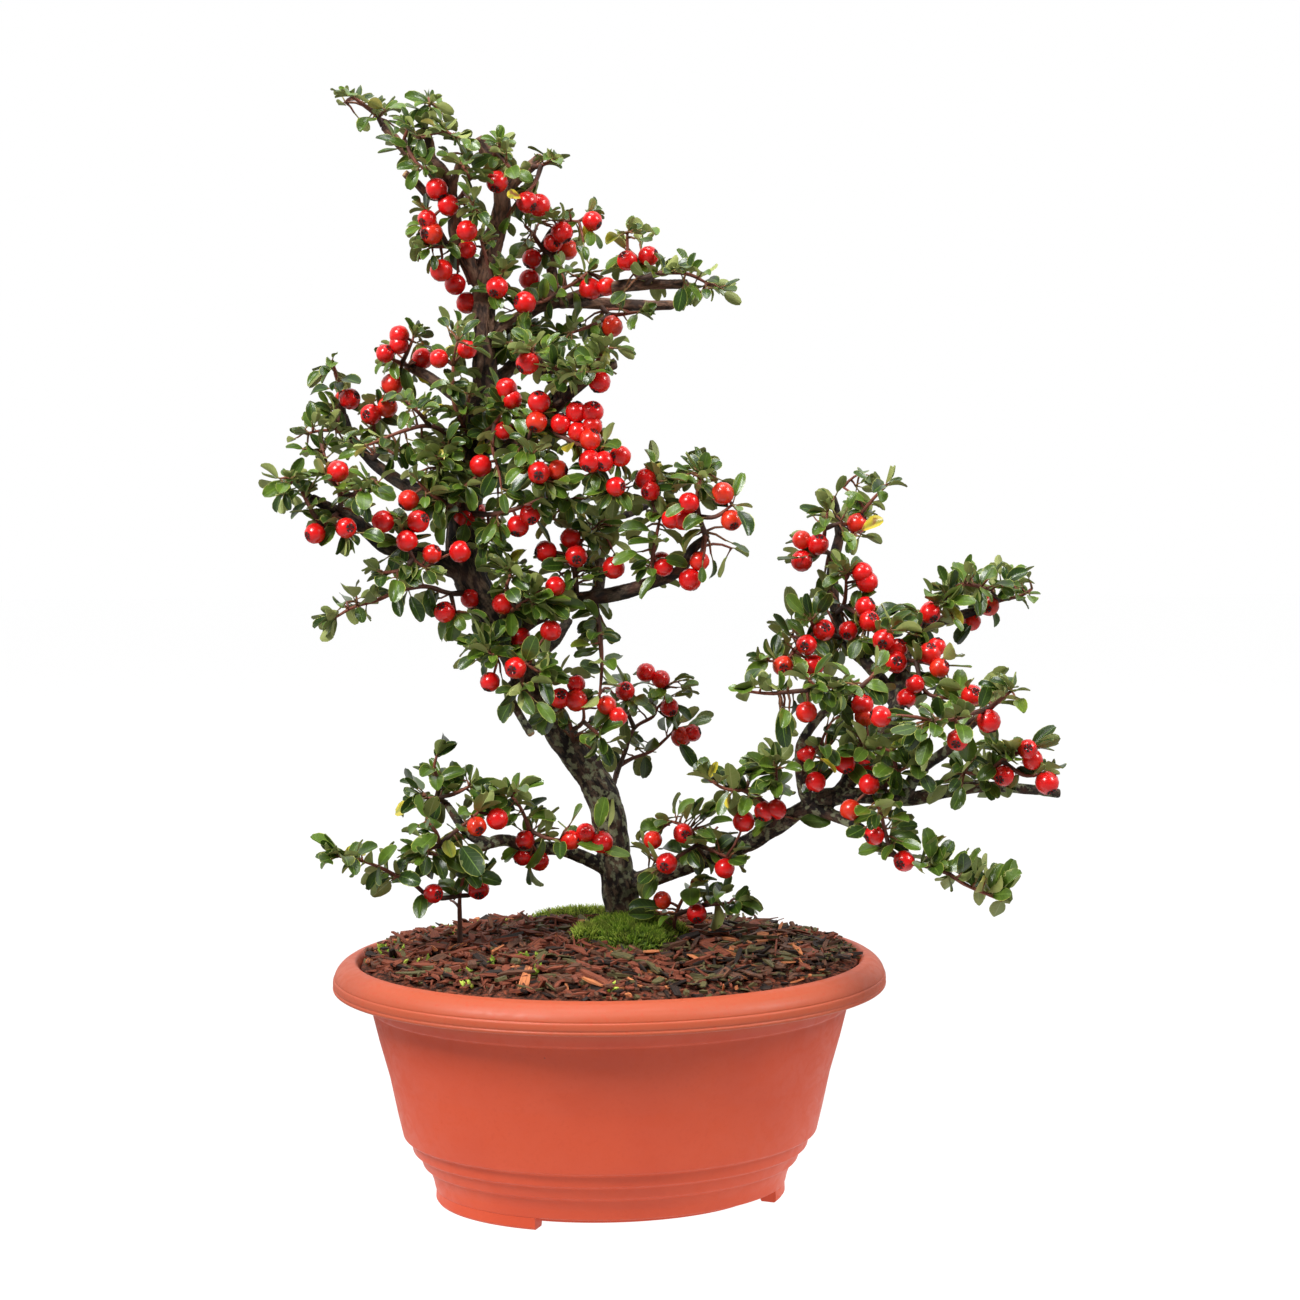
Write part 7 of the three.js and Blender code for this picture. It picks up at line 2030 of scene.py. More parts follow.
    def read_fibre(self, points: np.ndarray) -> tuple[np.ndarray, np.ndarray]:
        """The grain at points on the wood, and the radius of the limb there.

        The grain is the way along the nearest limb and the two ways across it, so that what follows it is
        stretched along the wood. It is worked out in batches, to spare memory.

        Args:
            points: Places, (n, 3).

        Returns:
            The grain, (n, 3), and the radii, (n,).
        """
        grain = np.empty((len(points), 3))
        radius = np.empty(len(points))
        line = self.ends[:, :3] - self.starts[:, :3]
        lengths = np.linalg.norm(line, axis=1)
        way = np.cumsum(lengths) - lengths
        for first in range(0, len(points), self.batch):
            part = slice(first, first + self.batch)
            apart, share = segment_gaps(points[part], self.starts[:, :3], self.ends[:, :3])
            sizes = self.starts[:, 3] + share * (self.ends[:, 3] - self.starts[:, 3])
            nearest = (apart - sizes).argmin(axis=1)
            pick = np.arange(len(nearest)), nearest
            along = way[nearest] + share[pick] * lengths[nearest]
            axis = line[nearest] / lengths[nearest, None]
            away = points[part] - self.starts[nearest, :3]
            away = away - (away * axis).sum(-1, keepdims=True) * axis
            one = square_to(np.array([[0.3, 1.0, 0.2]]), axis)
            other = np.cross(axis, one)
            grain[part] = np.stack([along, (away * one).sum(-1), (away * other).sum(-1)], axis=-1)
            radius[part] = sizes[pick]
        return grain, radius


@dataclass(frozen=True)
class LeafForm:
    """How a leaf is shaped: obovate, folded along the midrib, cupped and bent back towards its tip.

    Rows are the shares of its length where it has rings. Columns are the shares of its half width round a
    ring, over the upper side and back beneath, and lower marks those beneath. Scale is a share of the
    length, breadth a share of the width, and bend and fold are angles.
    """

    length: tuple[float, float] = (10.9, 14.7)
    scale: tuple[float, float] = (0.56, 0.9)
    bend: tuple[float, float] = (-0.25, 1.05)
    fold: tuple[float, float] = (0.2, 0.72)
    breadth: tuple[float, float] = (0.84, 1.14)
    width: float = 0.59
    widest: float = 0.55
    taper: float = 0.6
    thickness: float = 0.36
    rows: tuple = (0.015, 0.14, 0.3, 0.48, 0.66, 0.83, 0.965)
    columns: tuple = (1.0, 0.5, 0.0, -0.5, -1.0, -0.5, 0.0, 0.5)
    lower: tuple = (0, 0, 0, 0, 0, 1, 1, 1)
    stalk: float = 2.6
    turned_share: float = 0.985


@dataclass
class Blades:
    """Leaves of one spray: the bud, the base of the blade, its way, its upper side, length and number."""

    bud: list[np.ndarray] = field(default_factory=list)
    base: list[np.ndarray] = field(default_factory=list)
    along: list[np.ndarray] = field(default_factory=list)
    normal: list[np.ndarray] = field(default_factory=list)
    length: list[float] = field(default_factory=list)
    item: list[int] = field(default_factory=list)

    def add(self, *leaf: object) -> None:
        """Notes a leaf, whose values come in the order of the lists."""
        for held, value in zip(vars(self).values(), leaf, strict=True):
            held.append(value)

    def drop(self, hidden: np.ndarray) -> None:
        """Takes out the leaves that are marked."""
        for held in vars(self).values():
            held[:] = [value for value, gone in zip(held, hidden, strict=True) if not gone]


# Rings of a berry, as (height along its axis, radius), both as shares of its own radius.
BERRY_PROFILE = (
    (-0.95, 0.1), (-0.93, 0.3), (-0.78, 0.62), (-0.45, 0.89), (-0.02, 1.0), (0.4, 0.93), (0.72, 0.7),
    (0.87, 0.48), (0.9, 0.36), (0.84, 0.26), (0.74, 0.12),
)
BERRY_SIDES = 16

# The three rings of a sepal, from its root to its tip: heights, radii and angles of their three corners.
SEPALS = 5
SEPAL_RINGS = (
    ((0.9, 0.9, 0.8), (0.97, 0.97, 0.9), (0.93, 0.93, 0.86)),
    ((0.46, 0.46, 0.44), (0.27, 0.27, 0.25), (0.05, 0.05, 0.05)),
    ((0.46, -0.46, 0.0), (0.3, -0.3, 0.0), (0.1, -0.1, 0.0)),
)

# Leaves that have turned, as (u, v) on their sight line and how far they have turned.
TURNED_LEAVES = (
    (-81.3, 364.2, 0.85), (-42.6, 444.6, 0.95), (-103.6, 467.8, 1.0), (-9.9, 426.1, 0.8), (111.4, 301.4, 0.9),
    (66.2, 155.2, 0.9), (-55.0, 336.3, 0.55), (-39.6, 340.1, 0.65), (-17.6, 333.7, 0.5),
)

# The densest foliage, round the trunk, as an oval on the sight lines: middle and half sizes.
DENSE_FOLIAGE = (-42.0, 318.0, 44.0, 72.0)


@dataclass
class Spray:
    """A leafy spray: its stems, spurs and stalks, its leaves, and its fruit.

    Spans of lengths are in millimetres, before the crowding of the spray changes them: a factor that falls
    over a span of heights as seen. The first stem of a rooted spray goes down into the soil.
    """

    name: str
    number: int
    wood: Wood
    rooted: bool
    form: LeafForm = field(default_factory=LeafForm)
    leaf_spread: float = 14.0
    stalk_reach: float = 14.0
    stem_radius: tuple[float, float] = (1.35, 0.6)
    berry_radius: tuple[float, float] = (4.0, 4.9)
    berry_seat: float = 4.6
    berry_shift: float = 1.2
    beside_berry: float = 5.0
    back_berry_every: int = 8
    back_leaf_shift: float = 8.0
    partner_length: tuple[float, float] = (6.0, 10.0)
    tip_length: tuple[float, float] = (5.0, 8.5)
    stem_leaf_length: tuple[float, float] = (5.5, 9.5)
    tip_leaves: int = 5
    stem_turn: float = 2.4
    root_depth: float = 14.0
    leafy_reach: float = 3.6
    mass_reach: float = 9.0
    turned_reach: float = 5.0
    crowding_heights: tuple[float, float] = (240, 400)
    crowding_factors: tuple[float, float] = (1.26, 0.96)

    def __post_init__(self) -> None:
        """Places the stems and finds the buds that leaves and fruit grow from."""
        read = SPRAYS[self.name]
        self.read_stems = [np.array(rows, dtype=float) for rows in read["stems"]]
        self.read_leaves = np.array(read["leaves"], dtype=float).reshape(-1, 2)
        self.read_berries = np.array(read["berries"], dtype=float).reshape(-1, 2)
        middle = self.read_leaves.mean(axis=0)
        height = middle[1] + 0.4 * abs(middle[0])
        self.crowding = float(np.interp(height, self.crowding_heights, self.crowding_factors))
        self.stems = []
        for index, rows in enumerate(self.read_stems):
            path = SIGHT.place(rows)
            if self.rooted and index == 0:
                path = np.concatenate([path[:1] - [0, 0, self.root_depth], path])
            self.stems.append(smooth_path(path, BUD_SPACING))
        buds = np.concatenate(self.stems)
        clear = self.wood.bark_gap(buds) > BARK_CLEARANCE
        self.buds = list(buds[clear]) if clear.any() else list(buds[-1:])
        self.spurs: list[tuple[np.ndarray, np.ndarray]] = []
        self.blades = Blades()
        self.turned = self.turned_leaves()
        self.berries: list[tuple[np.ndarray, np.ndarray, float, float]] = []

    def chance(self, item: int, use: int) -> float:
        """The spray's own draw for an item."""
        return float(draw(self.number, item, use))

    def jitter(self, item: int) -> np.ndarray:
        """The spray's own three draws for the way of an item, each between -0.5 and 0.5."""
        return np.array([self.chance(item, use) - 0.5 for use in (7, 8, 9)])

    def stem_depth(self, seen: np.ndarray) -> tuple[float, float]:
        """How far the nearest stem lies from a place as seen, and the depth of the stem there."""
        start = np.concatenate([rows[:-1] for rows in self.read_stems])
        end = np.concatenate([rows[1:] for rows in self.read_stems])
        apart, share = segment_gaps(seen[None], start[:, :2], end[:, :2])
        nearest = apart[0].argmin()
        depth = start[nearest, 2] + share[0, nearest] * (end[nearest, 2] - start[nearest, 2])
        return float(apart[0, nearest]), float(depth)

    def turned_leaves(self) -> dict[int, float]:
        """How far the leaves nearest the noted places have turned, by the number of the leaf."""
        found = {}
        for u, v, age in TURNED_LEAVES:
            apart = np.hypot(*(self.read_leaves - (u, v)).T)
            if len(apart) and apart.min() < self.turned_reach:
                found[int(apart.argmin())] = age
        return found

    def fruit_places(self) -> np.ndarray:
        """Sets the fruit, and gives the places of the berries that are seen from the front."""
        for index, seen in enumerate(self.read_berries):
            self.set_berry(seen, index + FRUIT_ITEMS, -1)
        front = [berry[0] for berry in self.berries]
        for index, seen in enumerate(self.read_berries):
            if (index + self.number) % self.back_berry_every == 1:
                self.set_berry(seen, index + BACK_FRUIT_ITEMS, 1)
        return np.array(front).reshape(-1, 3)

    def thin_out(self, fruit: np.ndarray, leafy: np.ndarray) -> None:
        """Takes out the added leaves that hide a berry that is seen, or lie off the leafy places.

        Args:
            fruit: Middles of the berries seen from the front, of all the sprays.
            leafy: The (u, v) of the leaves seen from the front, of all the sprays.
        """
        item, length = np.array(self.blades.item), np.array(self.blades.length)
        middle = np.array(self.blades.base) + 0.5 * length[:, None] * np.array(self.blades.along)
        leaves, berries = SIGHT.seen(middle), SIGHT.seen(fruit)
        apart = np.hypot(*(leaves[:, None, :2] - berries[None, :, :2]).transpose(2, 0, 1))
        before = leaves[:, None, 2] < berries[None, :, 2] + 3
        hides = ((apart < 1.5 + 0.42 * length[:, None]) & before).any(axis=1)
        reach = self.leafy_reach + self.mass_reach * np.clip(2 * self.in_mass(leaves), 0, 1)
        off = np.hypot(*(leaves[:, None, :2] - leafy[None]).transpose(2, 0, 1)).min(axis=1) > reach
        self.blades.drop((hides | off) & (item >= BACK_LEAF_ITEMS))

    def nearest_bud(self, point: np.ndarray) -> np.ndarray:
        """The bud nearest a point."""
        buds = np.array(self.buds)
        return buds[np.linalg.norm(buds - point, axis=1).argmin()]

    def grow(self, fruit: np.ndarray) -> None:
        """Sets the leaves seen from the front, those behind, and those between.

        Args:
            fruit: Middles of the berries seen from the front, of all the sprays. A leaf that is seen
                beside one stands a little behind it.
        """
        berries = SIGHT.seen(fruit)
        for index, seen in enumerate(self.read_leaves):
            _, depth = self.stem_depth(seen)
            depth -= self.leaf_spread * between((-0.3, 1), self.chance(index, 1))
            beside = np.hypot(*(berries[:, :2] - seen).T) < self.beside_berry
            if beside.any():
                depth = max(depth, berries[beside, 2].max() + self.beside_berry)
            self.set_leaf(SIGHT.place(np.array([*seen, depth])), index, 1)
        for index, seen in enumerate(self.read_leaves):
            item = index + BACK_LEAF_ITEMS
            shift = [self.back_leaf_shift * (self.chance(item, use) - 0.5) for use in (2, 3)]
            _, depth = self.stem_depth(seen)
            depth += self.leaf_spread * between((0.5, 1.6), self.chance(item, 1))
            self.set_leaf(SIGHT.place(np.array([*(seen + shift), depth])), item, -1)
        self.fill_stems()

    def set_berry(self, seen: np.ndarray, item: int, away: int) -> None:
        """Seats a berry on its nearest bud, or on a spur of its own where that is far.

        Args:
            seen: Its middle as seen.
            item: Its number.
            away: -1 where it stands in front of its stem, 1 where behind.
        """
        apart, depth = self.stem_depth(seen)
        stand_off = math.sqrt(max(self.berry_seat**2 - apart**2, 0))
        point = SIGHT.place(np.array([*seen, depth + away * stand_off]))
        radius = float(between(self.berry_radius, self.chance(item, 4)))
        bud = self.nearest_bud(point)
        gap = float(np.linalg.norm(point - bud))
        if gap > self.berry_seat + self.berry_shift:
            self.spurs.append((bud, point))
        else:
            point = bud + (point - bud) * self.berry_seat / gap
        axis = unit(unit(point - bud) + 1.5 * self.jitter(item))
        self.berries.append((point, axis, radius, self.chance(item, 6)))

    def set_leaf(self, point: np.ndarray, item: int, front: int) -> None:
        """Grows a leaf whose middle lies at a point.

        Args:
            point: Middle of the blade.
            item: Its number.
            front: 1 where it faces the viewer's side, -1 where it faces away.
        """
        length = float(between(self.form.length, self.chance(item, 6)))
        length *= float(between(self.form.scale, self.chance(item, 11))) * self.crowding
        bud = self.nearest_bud(point)
        gap = float(np.linalg.norm(point - bud))
        if gap > length / 2 + self.stalk_reach:
            way = (point - bud) / gap
            end = bud + way * (gap - length / 2 - self.form.stalk)
            self.spurs.append((bud, end))
            self.buds += [(bud + end) / 2, end]
            bud = end
        along = unit(point - bud)
        stalk = max(float(np.linalg.norm(point - bud)) - length / 2, 0.6)
        normal = square_to(np.array([0, -0.6 * front, 0.8]) + self.jitter(item), along)
        self.blades.add(bud, bud + along * stalk, along, normal, length, item)
        self.add_partner(bud, along, normal, stalk, item + PARTNER_ITEMS)
        if self.in_mass(SIGHT.seen(point)) > 0:
            for further in MASS_PARTNER_ITEMS:
                self.add_partner(bud, along, normal, stalk, item + further)

    def in_mass(self, seen: np.ndarray) -> np.ndarray:
        """One less the distance from the middle of the densest foliage, as seen, as a share of its size."""
        u, v, half_u, half_v = DENSE_FOLIAGE
        return 1 - np.hypot((seen[..., 0] - u) / half_u, (seen[..., 1] - v) / half_v)

    def add_partner(
        self, bud: np.ndarray, along: np.ndarray, normal: np.ndarray, stalk: float, item: int
    ) -> None:
        """Grows a smaller leaf beside another, from the same place, turned away from it.

        Args:
            bud: Where both grow.
            along: Way of the first leaf.
            normal: Its upper side.
            stalk: Length of its stalk.
            item: Number of the new leaf.
        """
        side = np.cross(normal, along) * (1 if self.chance(item, 1) > 0.5 else -1)
        turn = float(between((0.7, 1.5), self.chance(item, 2)))
        tip = float(between((-0.3, 0.8), self.chance(item, 3)))
        way = unit(math.cos(turn) * along + math.sin(turn) * side + tip * normal)
        root = bud + along * max(stalk - self.form.stalk, 0.0)
        size = float(between(self.partner_length, self.chance(item, 4))) * self.crowding
        upper = square_to(normal - tip * along + [0, 0, 0.3], way)
        self.blades.add(root, root + way * min(self.form.stalk, stalk), way, upper, size, item)

    def fill_stems(self) -> None:
        """Adds small leaves that stand off the stems, one at every few buds, and a tuft at each tip."""
        item = STEM_LEAF_ITEMS
        for path in self.stems:
            if len(path) < 3:
                continue
            tangent = unit(path[-1] - path[-3])
            for index in range(self.tip_leaves):
                lean = between((0.35, 0.75), self.chance(item, 3))
                self.stem_leaf(path[-1], tangent, item, lean, self.tip_length, self.stem_turn * index)
                item += 1
            for index in range(2, len(path) - 1, 2):
                if self.wood.bark_gap(path[index][None])[0] > BARK_CLEARANCE:
                    tangent = unit(path[index + 1] - path[index])
                    lean = between((0.7, 1.2), self.chance(item, 3))
                    turn = self.stem_turn * index
                    self.stem_leaf(path[index], tangent, item, lean, self.stem_leaf_length, turn)
                item += 1

    def stem_leaf(
        self, bud: np.ndarray, tangent: np.ndarray, item: int, lean: float,
        length: tuple[float, float], turn: float,
    ) -> None:
        """Grows one leaf off a stem, leaning away from it by an angle, at a turn about it.

        Args:
            bud: Where it grows.
            tangent: Way of the stem.
            item: Its number.
            lean: Angle between the leaf and the stem, in radians.
            length: Span of its length.
            turn: Angle about the stem, in radians.
        """
        side = square_to(np.array([0.2, 0.1, 1.0]), tangent)
        other = np.cross(tangent, side)
        turn += 1.2 * (self.chance(item, 1) - 0.5)
        out = math.cos(turn) * side + math.sin(turn) * other
        along = math.cos(lean) * tangent + math.sin(lean) * out
        upper = math.sin(lean) * tangent - math.cos(lean) * out
        normal = square_to(upper + [0, 0, 0.8] + 0.5 * self.jitter(item), along)
        size = float(between(length, self.chance(item, 2))) * self.crowding
        self.blades.add(bud, bud + 1.6 * along, along, normal, size, item)

    def blade_rings(self) -> tuple[np.ndarray, np.ndarray]:
        """Rings of all the leaves and the tone of their corners.

        Along the blade the midrib is an arc: at a share s of a bend c and a length L it lies at
        L sin(cs)/c along and L (1 - cos(cs))/c back. The half width is (s/p)^a ((1-s)/(1-p))^b of the
        widest, p being where that is. Across, the halves rise by the fold, and the rim is cupped.
        """
        form = self.form
        item = np.array(self.blades.item)
        along, normal = np.array(self.blades.along), np.array(self.blades.normal)
        base, length = np.array(self.blades.base), np.array(self.blades.length)
        side = np.cross(normal, along)
        s = np.array(form.rows)
        t = np.array(form.columns)
        bend = between(form.bend, draw(self.number, item, 12))[:, None]
        bend = np.where(np.abs(bend) < 0.02, 0.02, bend)
        fold = between(form.fold, draw(self.number, item, 13))[:, None, None]
        wide = between(form.breadth, draw(self.number, item, 14)) * form.width * length / 2
        power = form.taper * form.widest / (1 - form.widest)
        outline = (s / form.widest) ** power * ((1 - s) / (1 - form.widest)) ** form.taper
        half = wide[:, None] * outline
        swing = bend * s
        middle = base[:, None] + (length[:, None] * np.sin(swing) / bend)[..., None] * along[:, None]
        middle = middle - (length[:, None] * (1 - np.cos(swing)) / bend)[..., None] * normal[:, None]
        up = normal[:, None] * np.cos(swing)[..., None] + along[:, None] * np.sin(swing)[..., None]
        phase = 6.3 * draw(self.number, item, 15)[:, None, None]
        wave = 0.14 * np.sin(5.5 * s[None, :, None] * np.sign(t) + phase)
        across = half[..., None] * t * np.cos(fold)
        rise = half[..., None] * (np.abs(t) * np.sin(fold) + (wave - 0.1) * t**2)
        rise = rise - form.thickness * np.array(form.lower) * (1 - t**2)
        rings = middle[:, :, None] + across[..., None] * side[:, None, None]
        rings = rings + rise[..., None] * up[:, :, None]
        own = draw(self.number, item, 16)[:, None, None]
        age = np.clip((draw(self.number, item, 17) - form.turned_share) / (1 - form.turned_share), 0, 1)
        age = np.array([self.turned.get(int(one), held) for one, held in zip(item, age, strict=True)])
        tones = np.broadcast_arrays(np.abs(t), s[None, :, None], own, age[:, None, None])
        return rings, np.stack(tones, axis=-1)

    def build(self, bench: Bench, finishes: dict[str, list[bpy.types.Material]]) -> None:
        """Makes the spray's twigs, its foliage and its fruit.

        Args:
            bench: Where the pot stands.
            finishes: The twig's, the leaf's and the fruit's materials.
        """
        self.build_twigs(bench, finishes["twig"])
        foliage = Gathering()
        rings, tone = self.blade_rings()
        points, quads, fans = skin(rings)
        count, rows, sides = rings.shape[:3]
        column = np.tile(np.arange(sides), count * (rows - 1))
        fan_column = np.tile(np.arange(sides), 2 * count)
        ends = tone[:, [0, -1]].mean(axis=2)
        tone = np.concatenate([tone.reshape(count, -1, 4), ends], axis=1).reshape(-1, 4)
        lower = (column >= sides // 2) * 1, (fan_column >= sides // 2) * 1
        foliage.add(points, [quads, fans], [lower[0], lower[1]], tone)
        mesh = foliage.mesh(f"{self.name}_foliage", bench.shift)
        bench.set_out(mesh, finishes["leaf"], (self.name,), crease=70)
        if self.berries:
            self.build_fruit(bench, finishes["fruit"])

    def build_twigs(self, bench: Bench, finishes: list[bpy.types.Material]) -> None:
        """Makes the stems as smooth tubes, and the spurs and leaf stalks as slim rods."""
        twigs = Gathering()
        for index, path in enumerate(self.stems):
            way = np.linspace(0, 1, len(path))
            root = self.stem_radius[0] * (1 if index == 0 else 0.85)
            knots = 1 + 0.16 * fractal(path, 3.0, 2, self.number)
            radii = between((root, self.stem_radius[1]), way) * knots
            rings, grain = tube_rings(path, radii, 7, grain=True)
            tone = np.stack(np.broadcast_arrays(way, 0.0, 0.5, 0.0), axis=-1)[None]
            twigs.add_skin(rings, 0, tone, grain)
        if self.spurs:
            ends = np.array(self.spurs)
            self.rods(twigs, ends[:, 0], ends[:, 1], (0.75, 0.65, 0.55, 0.5), 5, 0.06, 0.0)
        buds, bases = np.array(self.blades.bud), np.array(self.blades.base)
        long_stalk = np.linalg.norm(bases - buds, axis=1) > self.form.stalk + 1
        joints = np.where(long_stalk[:, None], bases - self.form.stalk * unit(bases - buds), buds)
        if long_stalk.any():
            self.rods(twigs, buds[long_stalk], joints[long_stalk], (0.6, 0.5, 0.42), 4, 0.08, 0.3)
        tips = bases + 0.8 * np.array(self.blades.along)
        self.rods(twigs, joints, tips, (0.42, 0.34, 0.3), 3, 0.0, 1.0)
        mesh = twigs.mesh(f"{self.name}_twigs", bench.shift)
        bench.set_out(mesh, finishes, (self.name,))

    def rods(
        self, twigs: Gathering, start: np.ndarray, end: np.ndarray, radii: tuple[float, ...], sides: int,
        bow: float, stalk: float,
    ) -> None:
        """Adds slim rods, each toned by whether it is a green stalk and by its own draw."""
        own = draw(self.number, np.arange(len(start)), 21)[:, None]
        way = np.linspace(0.5, 1, len(radii))
        tone = np.stack(np.broadcast_arrays(way, stalk, own, 0.0), axis=-1)
        twigs.add_skin(rod_rings(start, end, radii, sides, bow), 0, tone)

    def build_fruit(self, bench: Bench, finishes: list[bpy.types.Material]) -> None:
        """Makes the berries as rings about their axes, with a dimple and five sepals at the calyx.

        A ring of the berry lies at a height along the axis and a radius, both shares of the berry's own.
        """
        fruit = Gathering()
        middle = np.array([berry[0] for berry in self.berries])
        axis = np.array([berry[1] for berry in self.berries])
        radius = np.array([berry[2] for berry in self.berries])
        own = np.array([berry[3] for berry in self.berries])
        side = square_to(np.broadcast_to([0.31, 0.2, 0.93], axis.shape), axis)
        across = np.cross(axis, side)
        profile = np.array(BERRY_PROFILE)
        angle = 2 * np.pi * np.arange(BERRY_SIDES) / BERRY_SIDES
        lobes = 1 + 0.02 * np.cos(SEPALS * angle)

        def rings_of(heights: np.ndarray, reach: np.ndarray, turn: np.ndarray) -> np.ndarray:
            """Places at heights and radii about every berry's axis: (berries, rings, corners, 3)."""
            size = radius[:, None, None]
            flat = (size * reach * np.cos(turn))[..., None] * side[:, None, None]
            flat = flat + (size * reach * np.sin(turn))[..., None] * across[:, None, None]
            return middle[:, None, None] + (size * heights)[..., None] * axis[:, None, None] + flat

        turn = np.broadcast_to(angle, (len(radius), 1, BERRY_SIDES))
        rings = rings_of(profile[None, :, :1], profile[None, :, 1:] * lobes, turn)
        way = np.linspace(0, 1, len(profile))
        tone = np.stack(np.broadcast_arrays(way, own[:, None], 0.5, 0.0), axis=-1)
        fruit.add_skin(rings, 0, tone)
        heights, reach, spans = np.array(SEPAL_RINGS)
        for lobe in range(SEPALS):
            turn = (2 * np.pi * lobe / SEPALS + spans)[None] + 3 * own[:, None, None]
            lift = 0.05 * np.sin(7 * own + lobe)[:, None, None] * np.array([0, 1, 1.5])[:, None]
            rings = rings_of(heights[None] + lift, reach[None], turn)
            fruit.add_skin(rings[:, :, ::-1], 1)
        mesh = fruit.mesh(f"{self.name}_fruit", bench.shift)
        bench.set_out(mesh, finishes, (self.name,), crease=60)


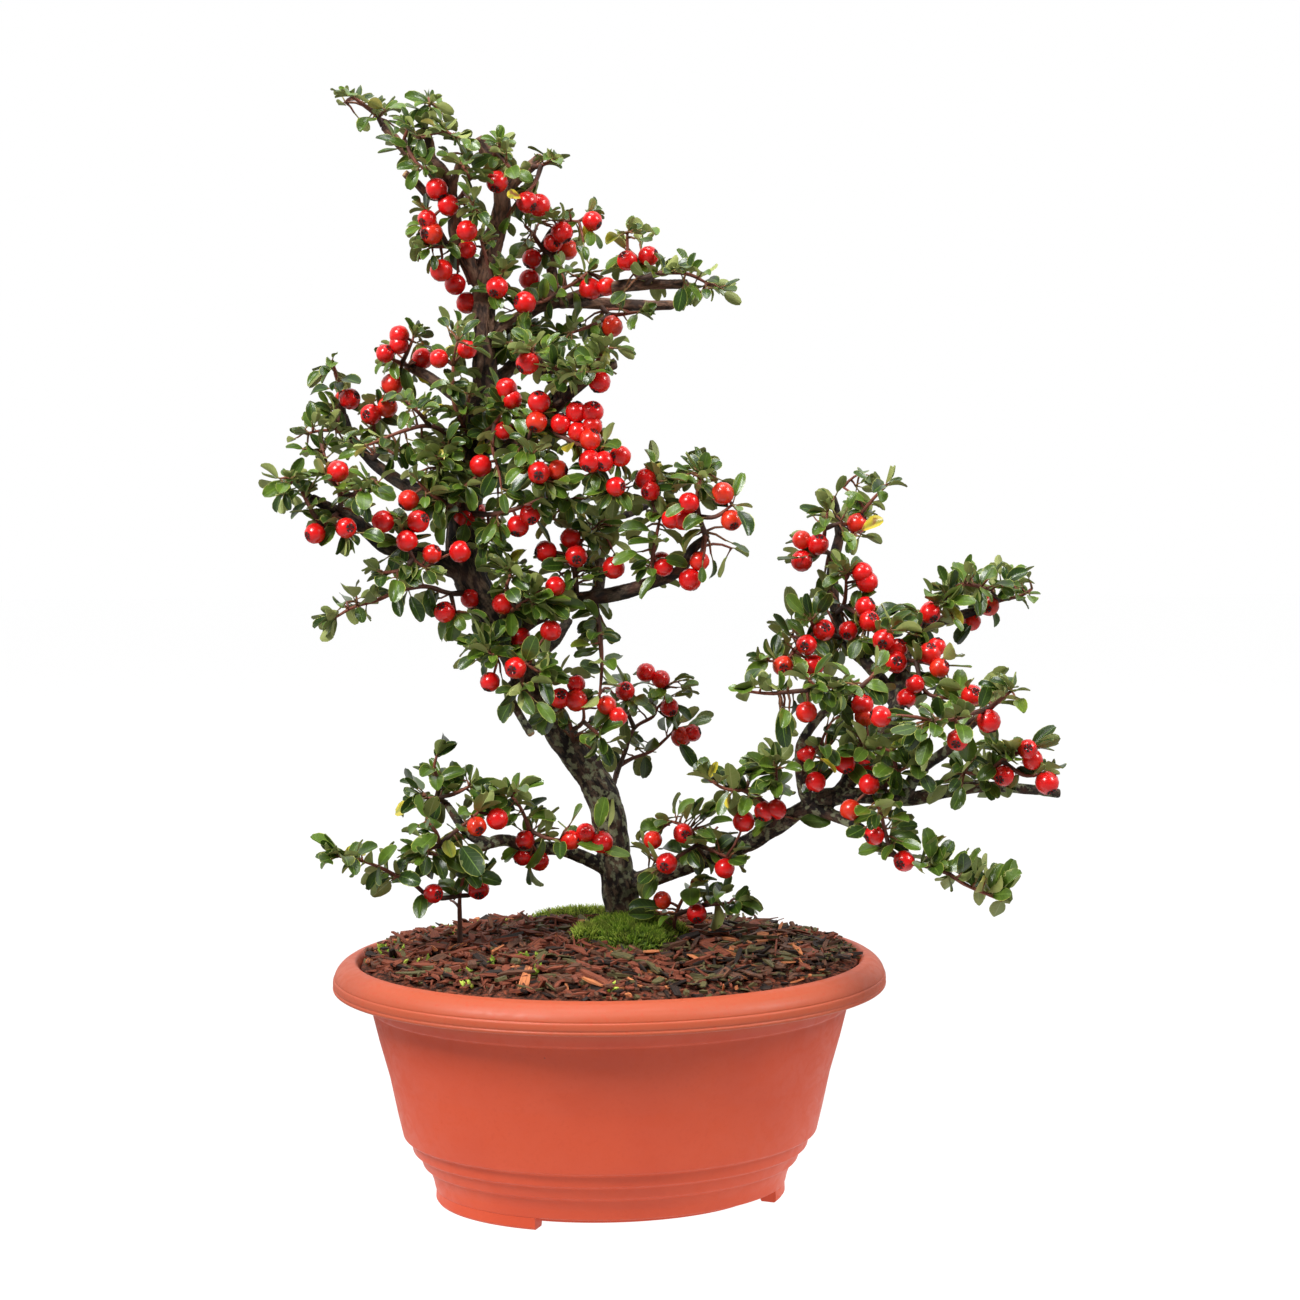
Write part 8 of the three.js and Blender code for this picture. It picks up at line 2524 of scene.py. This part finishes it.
@dataclass
class Studio:
    """A plain white floor, soft light from above and both sides, and the camera.

    A lamp is held as its name, its place in metres, the side of its square, and its power in watts.
    """

    lens: float = 58.15
    sensor: float = 36.0
    eye: tuple[float, float, float] = (-77.5, -898.8, 300.0)
    lamps: tuple = (
        ("key", (-0.85, -0.8, 1.2), 0.45, 23.0),
        ("fill", (1.05, -0.65, 1.1), 0.5, 13.0),
        ("top", (-0.1, -0.2, 1.6), 0.6, 9.0),
    )
    floor_half: float = 6.0

    def build(self, bench: Bench) -> None:
        """Lays the floor, lights it and sets the camera at the photograph's angle.

        Args:
            bench: Where the pot stands.
        """
        bpy.context.scene.view_settings.view_transform = "Standard"
        self.lay_floor()
        self.light_world()
        for lamp in self.lamps:
            self.light(*lamp)
        camera = placed("camera", bpy.data.cameras.new("camera"))
        camera.data.lens = self.lens
        camera.data.sensor_width = self.sensor
        camera.location = Vector(self.eye) * METRES + bench.shift
        flat = math.cos(SIGHT.pitch)
        way = Vector((math.sin(SIGHT.turn) * flat, math.cos(SIGHT.turn) * flat, -math.sin(SIGHT.pitch)))
        camera.rotation_euler = way.to_track_quat("-Z", "Y").to_euler()
        bpy.context.scene.camera = camera

    def lay_floor(self) -> None:
        """Lays a wide floor at the height that the feet stand on.

        It glows near the pot, which stands in for the light that white paper throws back on it.
        """
        mesh = bpy.data.meshes.new("floor")
        half = self.floor_half
        corners = [(-half, -half, 0), (half, -half, 0), (half, half, 0), (-half, half, 0)]
        mesh.from_pydata(corners, [], [(0, 1, 2, 3)])
        recipe = Recipe("floor_paper")
        away = recipe.node("ShaderNodeVectorMath", {"operation": "LENGTH"})
        recipe.feed(away.inputs[0], recipe.place)
        glow = recipe.share(away.outputs["Value"], 0.12, 0.3, 1.02, 0.22)
        seen = recipe.node("ShaderNodeLightPath").outputs["Is Camera Ray"]
        glow = recipe.sum("MAXIMUM", glow, recipe.sum("MULTIPLY", seen, 0.9))
        finish = recipe.finish(
            Base_Color=(0.12, 0.12, 0.12, 1), Roughness=0.95, Specular_IOR_Level=0.1,
            Emission_Color=(1, 1, 1, 1), Emission_Strength=glow,
        )
        mesh.materials.append(finish)
        floor = placed("floor", mesh)

    def light_world(self) -> None:
        """White surroundings: bright behind and at the sides, dimmer on the viewer's side.

        The strength of the light follows the way that it comes from along Y. The backdrop itself is seen
        at full white.
        """
        world = bpy.data.worlds.new("studio")
        bpy.context.scene.world = world
        world.use_nodes = True
        tree = world.node_tree
        tree.nodes.clear()
        way = tree.nodes.new("ShaderNodeTexCoord")
        parts = tree.nodes.new("ShaderNodeSeparateXYZ")
        level = tree.nodes.new("ShaderNodeMapRange")
        for name, value in (("From Min", -0.7), ("From Max", 0.4), ("To Min", 0.11), ("To Max", 0.9)):
            level.inputs[name].default_value = value
        path = tree.nodes.new("ShaderNodeLightPath")
        blend = tree.nodes.new("ShaderNodeMix")
        blend.inputs[3].default_value = 1.0
        background = tree.nodes.new("ShaderNodeBackground")
        background.inputs["Color"].default_value = (1.0, 1.0, 1.0, 1.0)
        output = tree.nodes.new("ShaderNodeOutputWorld")
        for start, end in (
            (way.outputs["Generated"], parts.inputs[0]),
            (parts.outputs["Y"], level.inputs["Value"]),
            (path.outputs["Is Camera Ray"], blend.inputs[0]),
            (level.outputs[0], blend.inputs[2]),
            (blend.outputs[0], background.inputs["Strength"]),
            (background.outputs[0], output.inputs["Surface"]),
        ):
            tree.links.new(start, end)

    def light(self, name: str, place: tuple[float, float, float], size: float, power: float) -> None:
        """A square soft lamp that looks at the middle of the plant."""
        light = bpy.data.lights.new(name, "AREA")
        light.shape = "SQUARE"
        light.size = size
        light.energy = power
        lamp = placed(name, light)
        lamp.location = place
        lamp.rotation_euler = (Vector((0, 0, 0.22)) - lamp.location).to_track_quat("-Z", "Y").to_euler()


def main() -> None:
    """Loads the frame, builds every piece in order and notes the sizes."""
    logging.basicConfig(level=logging.INFO, format="%(message)s")
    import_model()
    low, high = (Vector(corner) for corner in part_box("pot"))
    bench = Bench(shift=Vector(((low.x + high.x) / 2, (low.y + high.y) / 2, 0)))
    Studio().build(bench)
    pot = Pot()
    pot.build(bench, PotPlastic().make())
    soil = Soil(pot)
    moss = MossGreen().make()
    soil.build(bench, [SoilCrumb().make(), BarkChip().make(), moss])
    for patch in (
        Moss(soil, "moss_round_trunk", "moss_round_trunk_cushion", 9, -1, 19, 25, 10.0, 4600, 0.35, 910),
        Moss(soil, "moss_round_trunk", "moss_lime_tuft", -11, -6, 6, 9, 7.0, 620, 0.95, 912),
        Moss(soil, "moss_round_trunk", "moss_lime_tuft_right", 28, 3, 5, 8, 5.5, 420, 0.9, 913),
        Moss(soil, "moss_behind_trunk", "moss_behind_trunk_cushion", -9, 57, 22, 9, 5.0, 1700, 0.8, 911),
    ):
        patch.build(bench, moss)
    wood = Wood()
    wood.build(bench, OldBark().make())
    fruit_skins = [BerrySkin().make(), SepalHusk().make()]
    finishes = {"twig": [TwigBark().make()], "leaf": leaf_skins(), "fruit": fruit_skins}
    sprays = [Spray(name, number, wood, name in ROOTED_SPRAYS) for number, name in enumerate(SPRAYS, start=1)]
    fruit = np.concatenate([spray.fruit_places() for spray in sprays])
    leafy = np.concatenate([spray.read_leaves for spray in sprays])
    for spray in sprays:
        spray.grow(fruit)
        spray.thin_out(fruit, leafy)
        spray.build(bench, finishes)


if __name__ == "__main__":
    main()
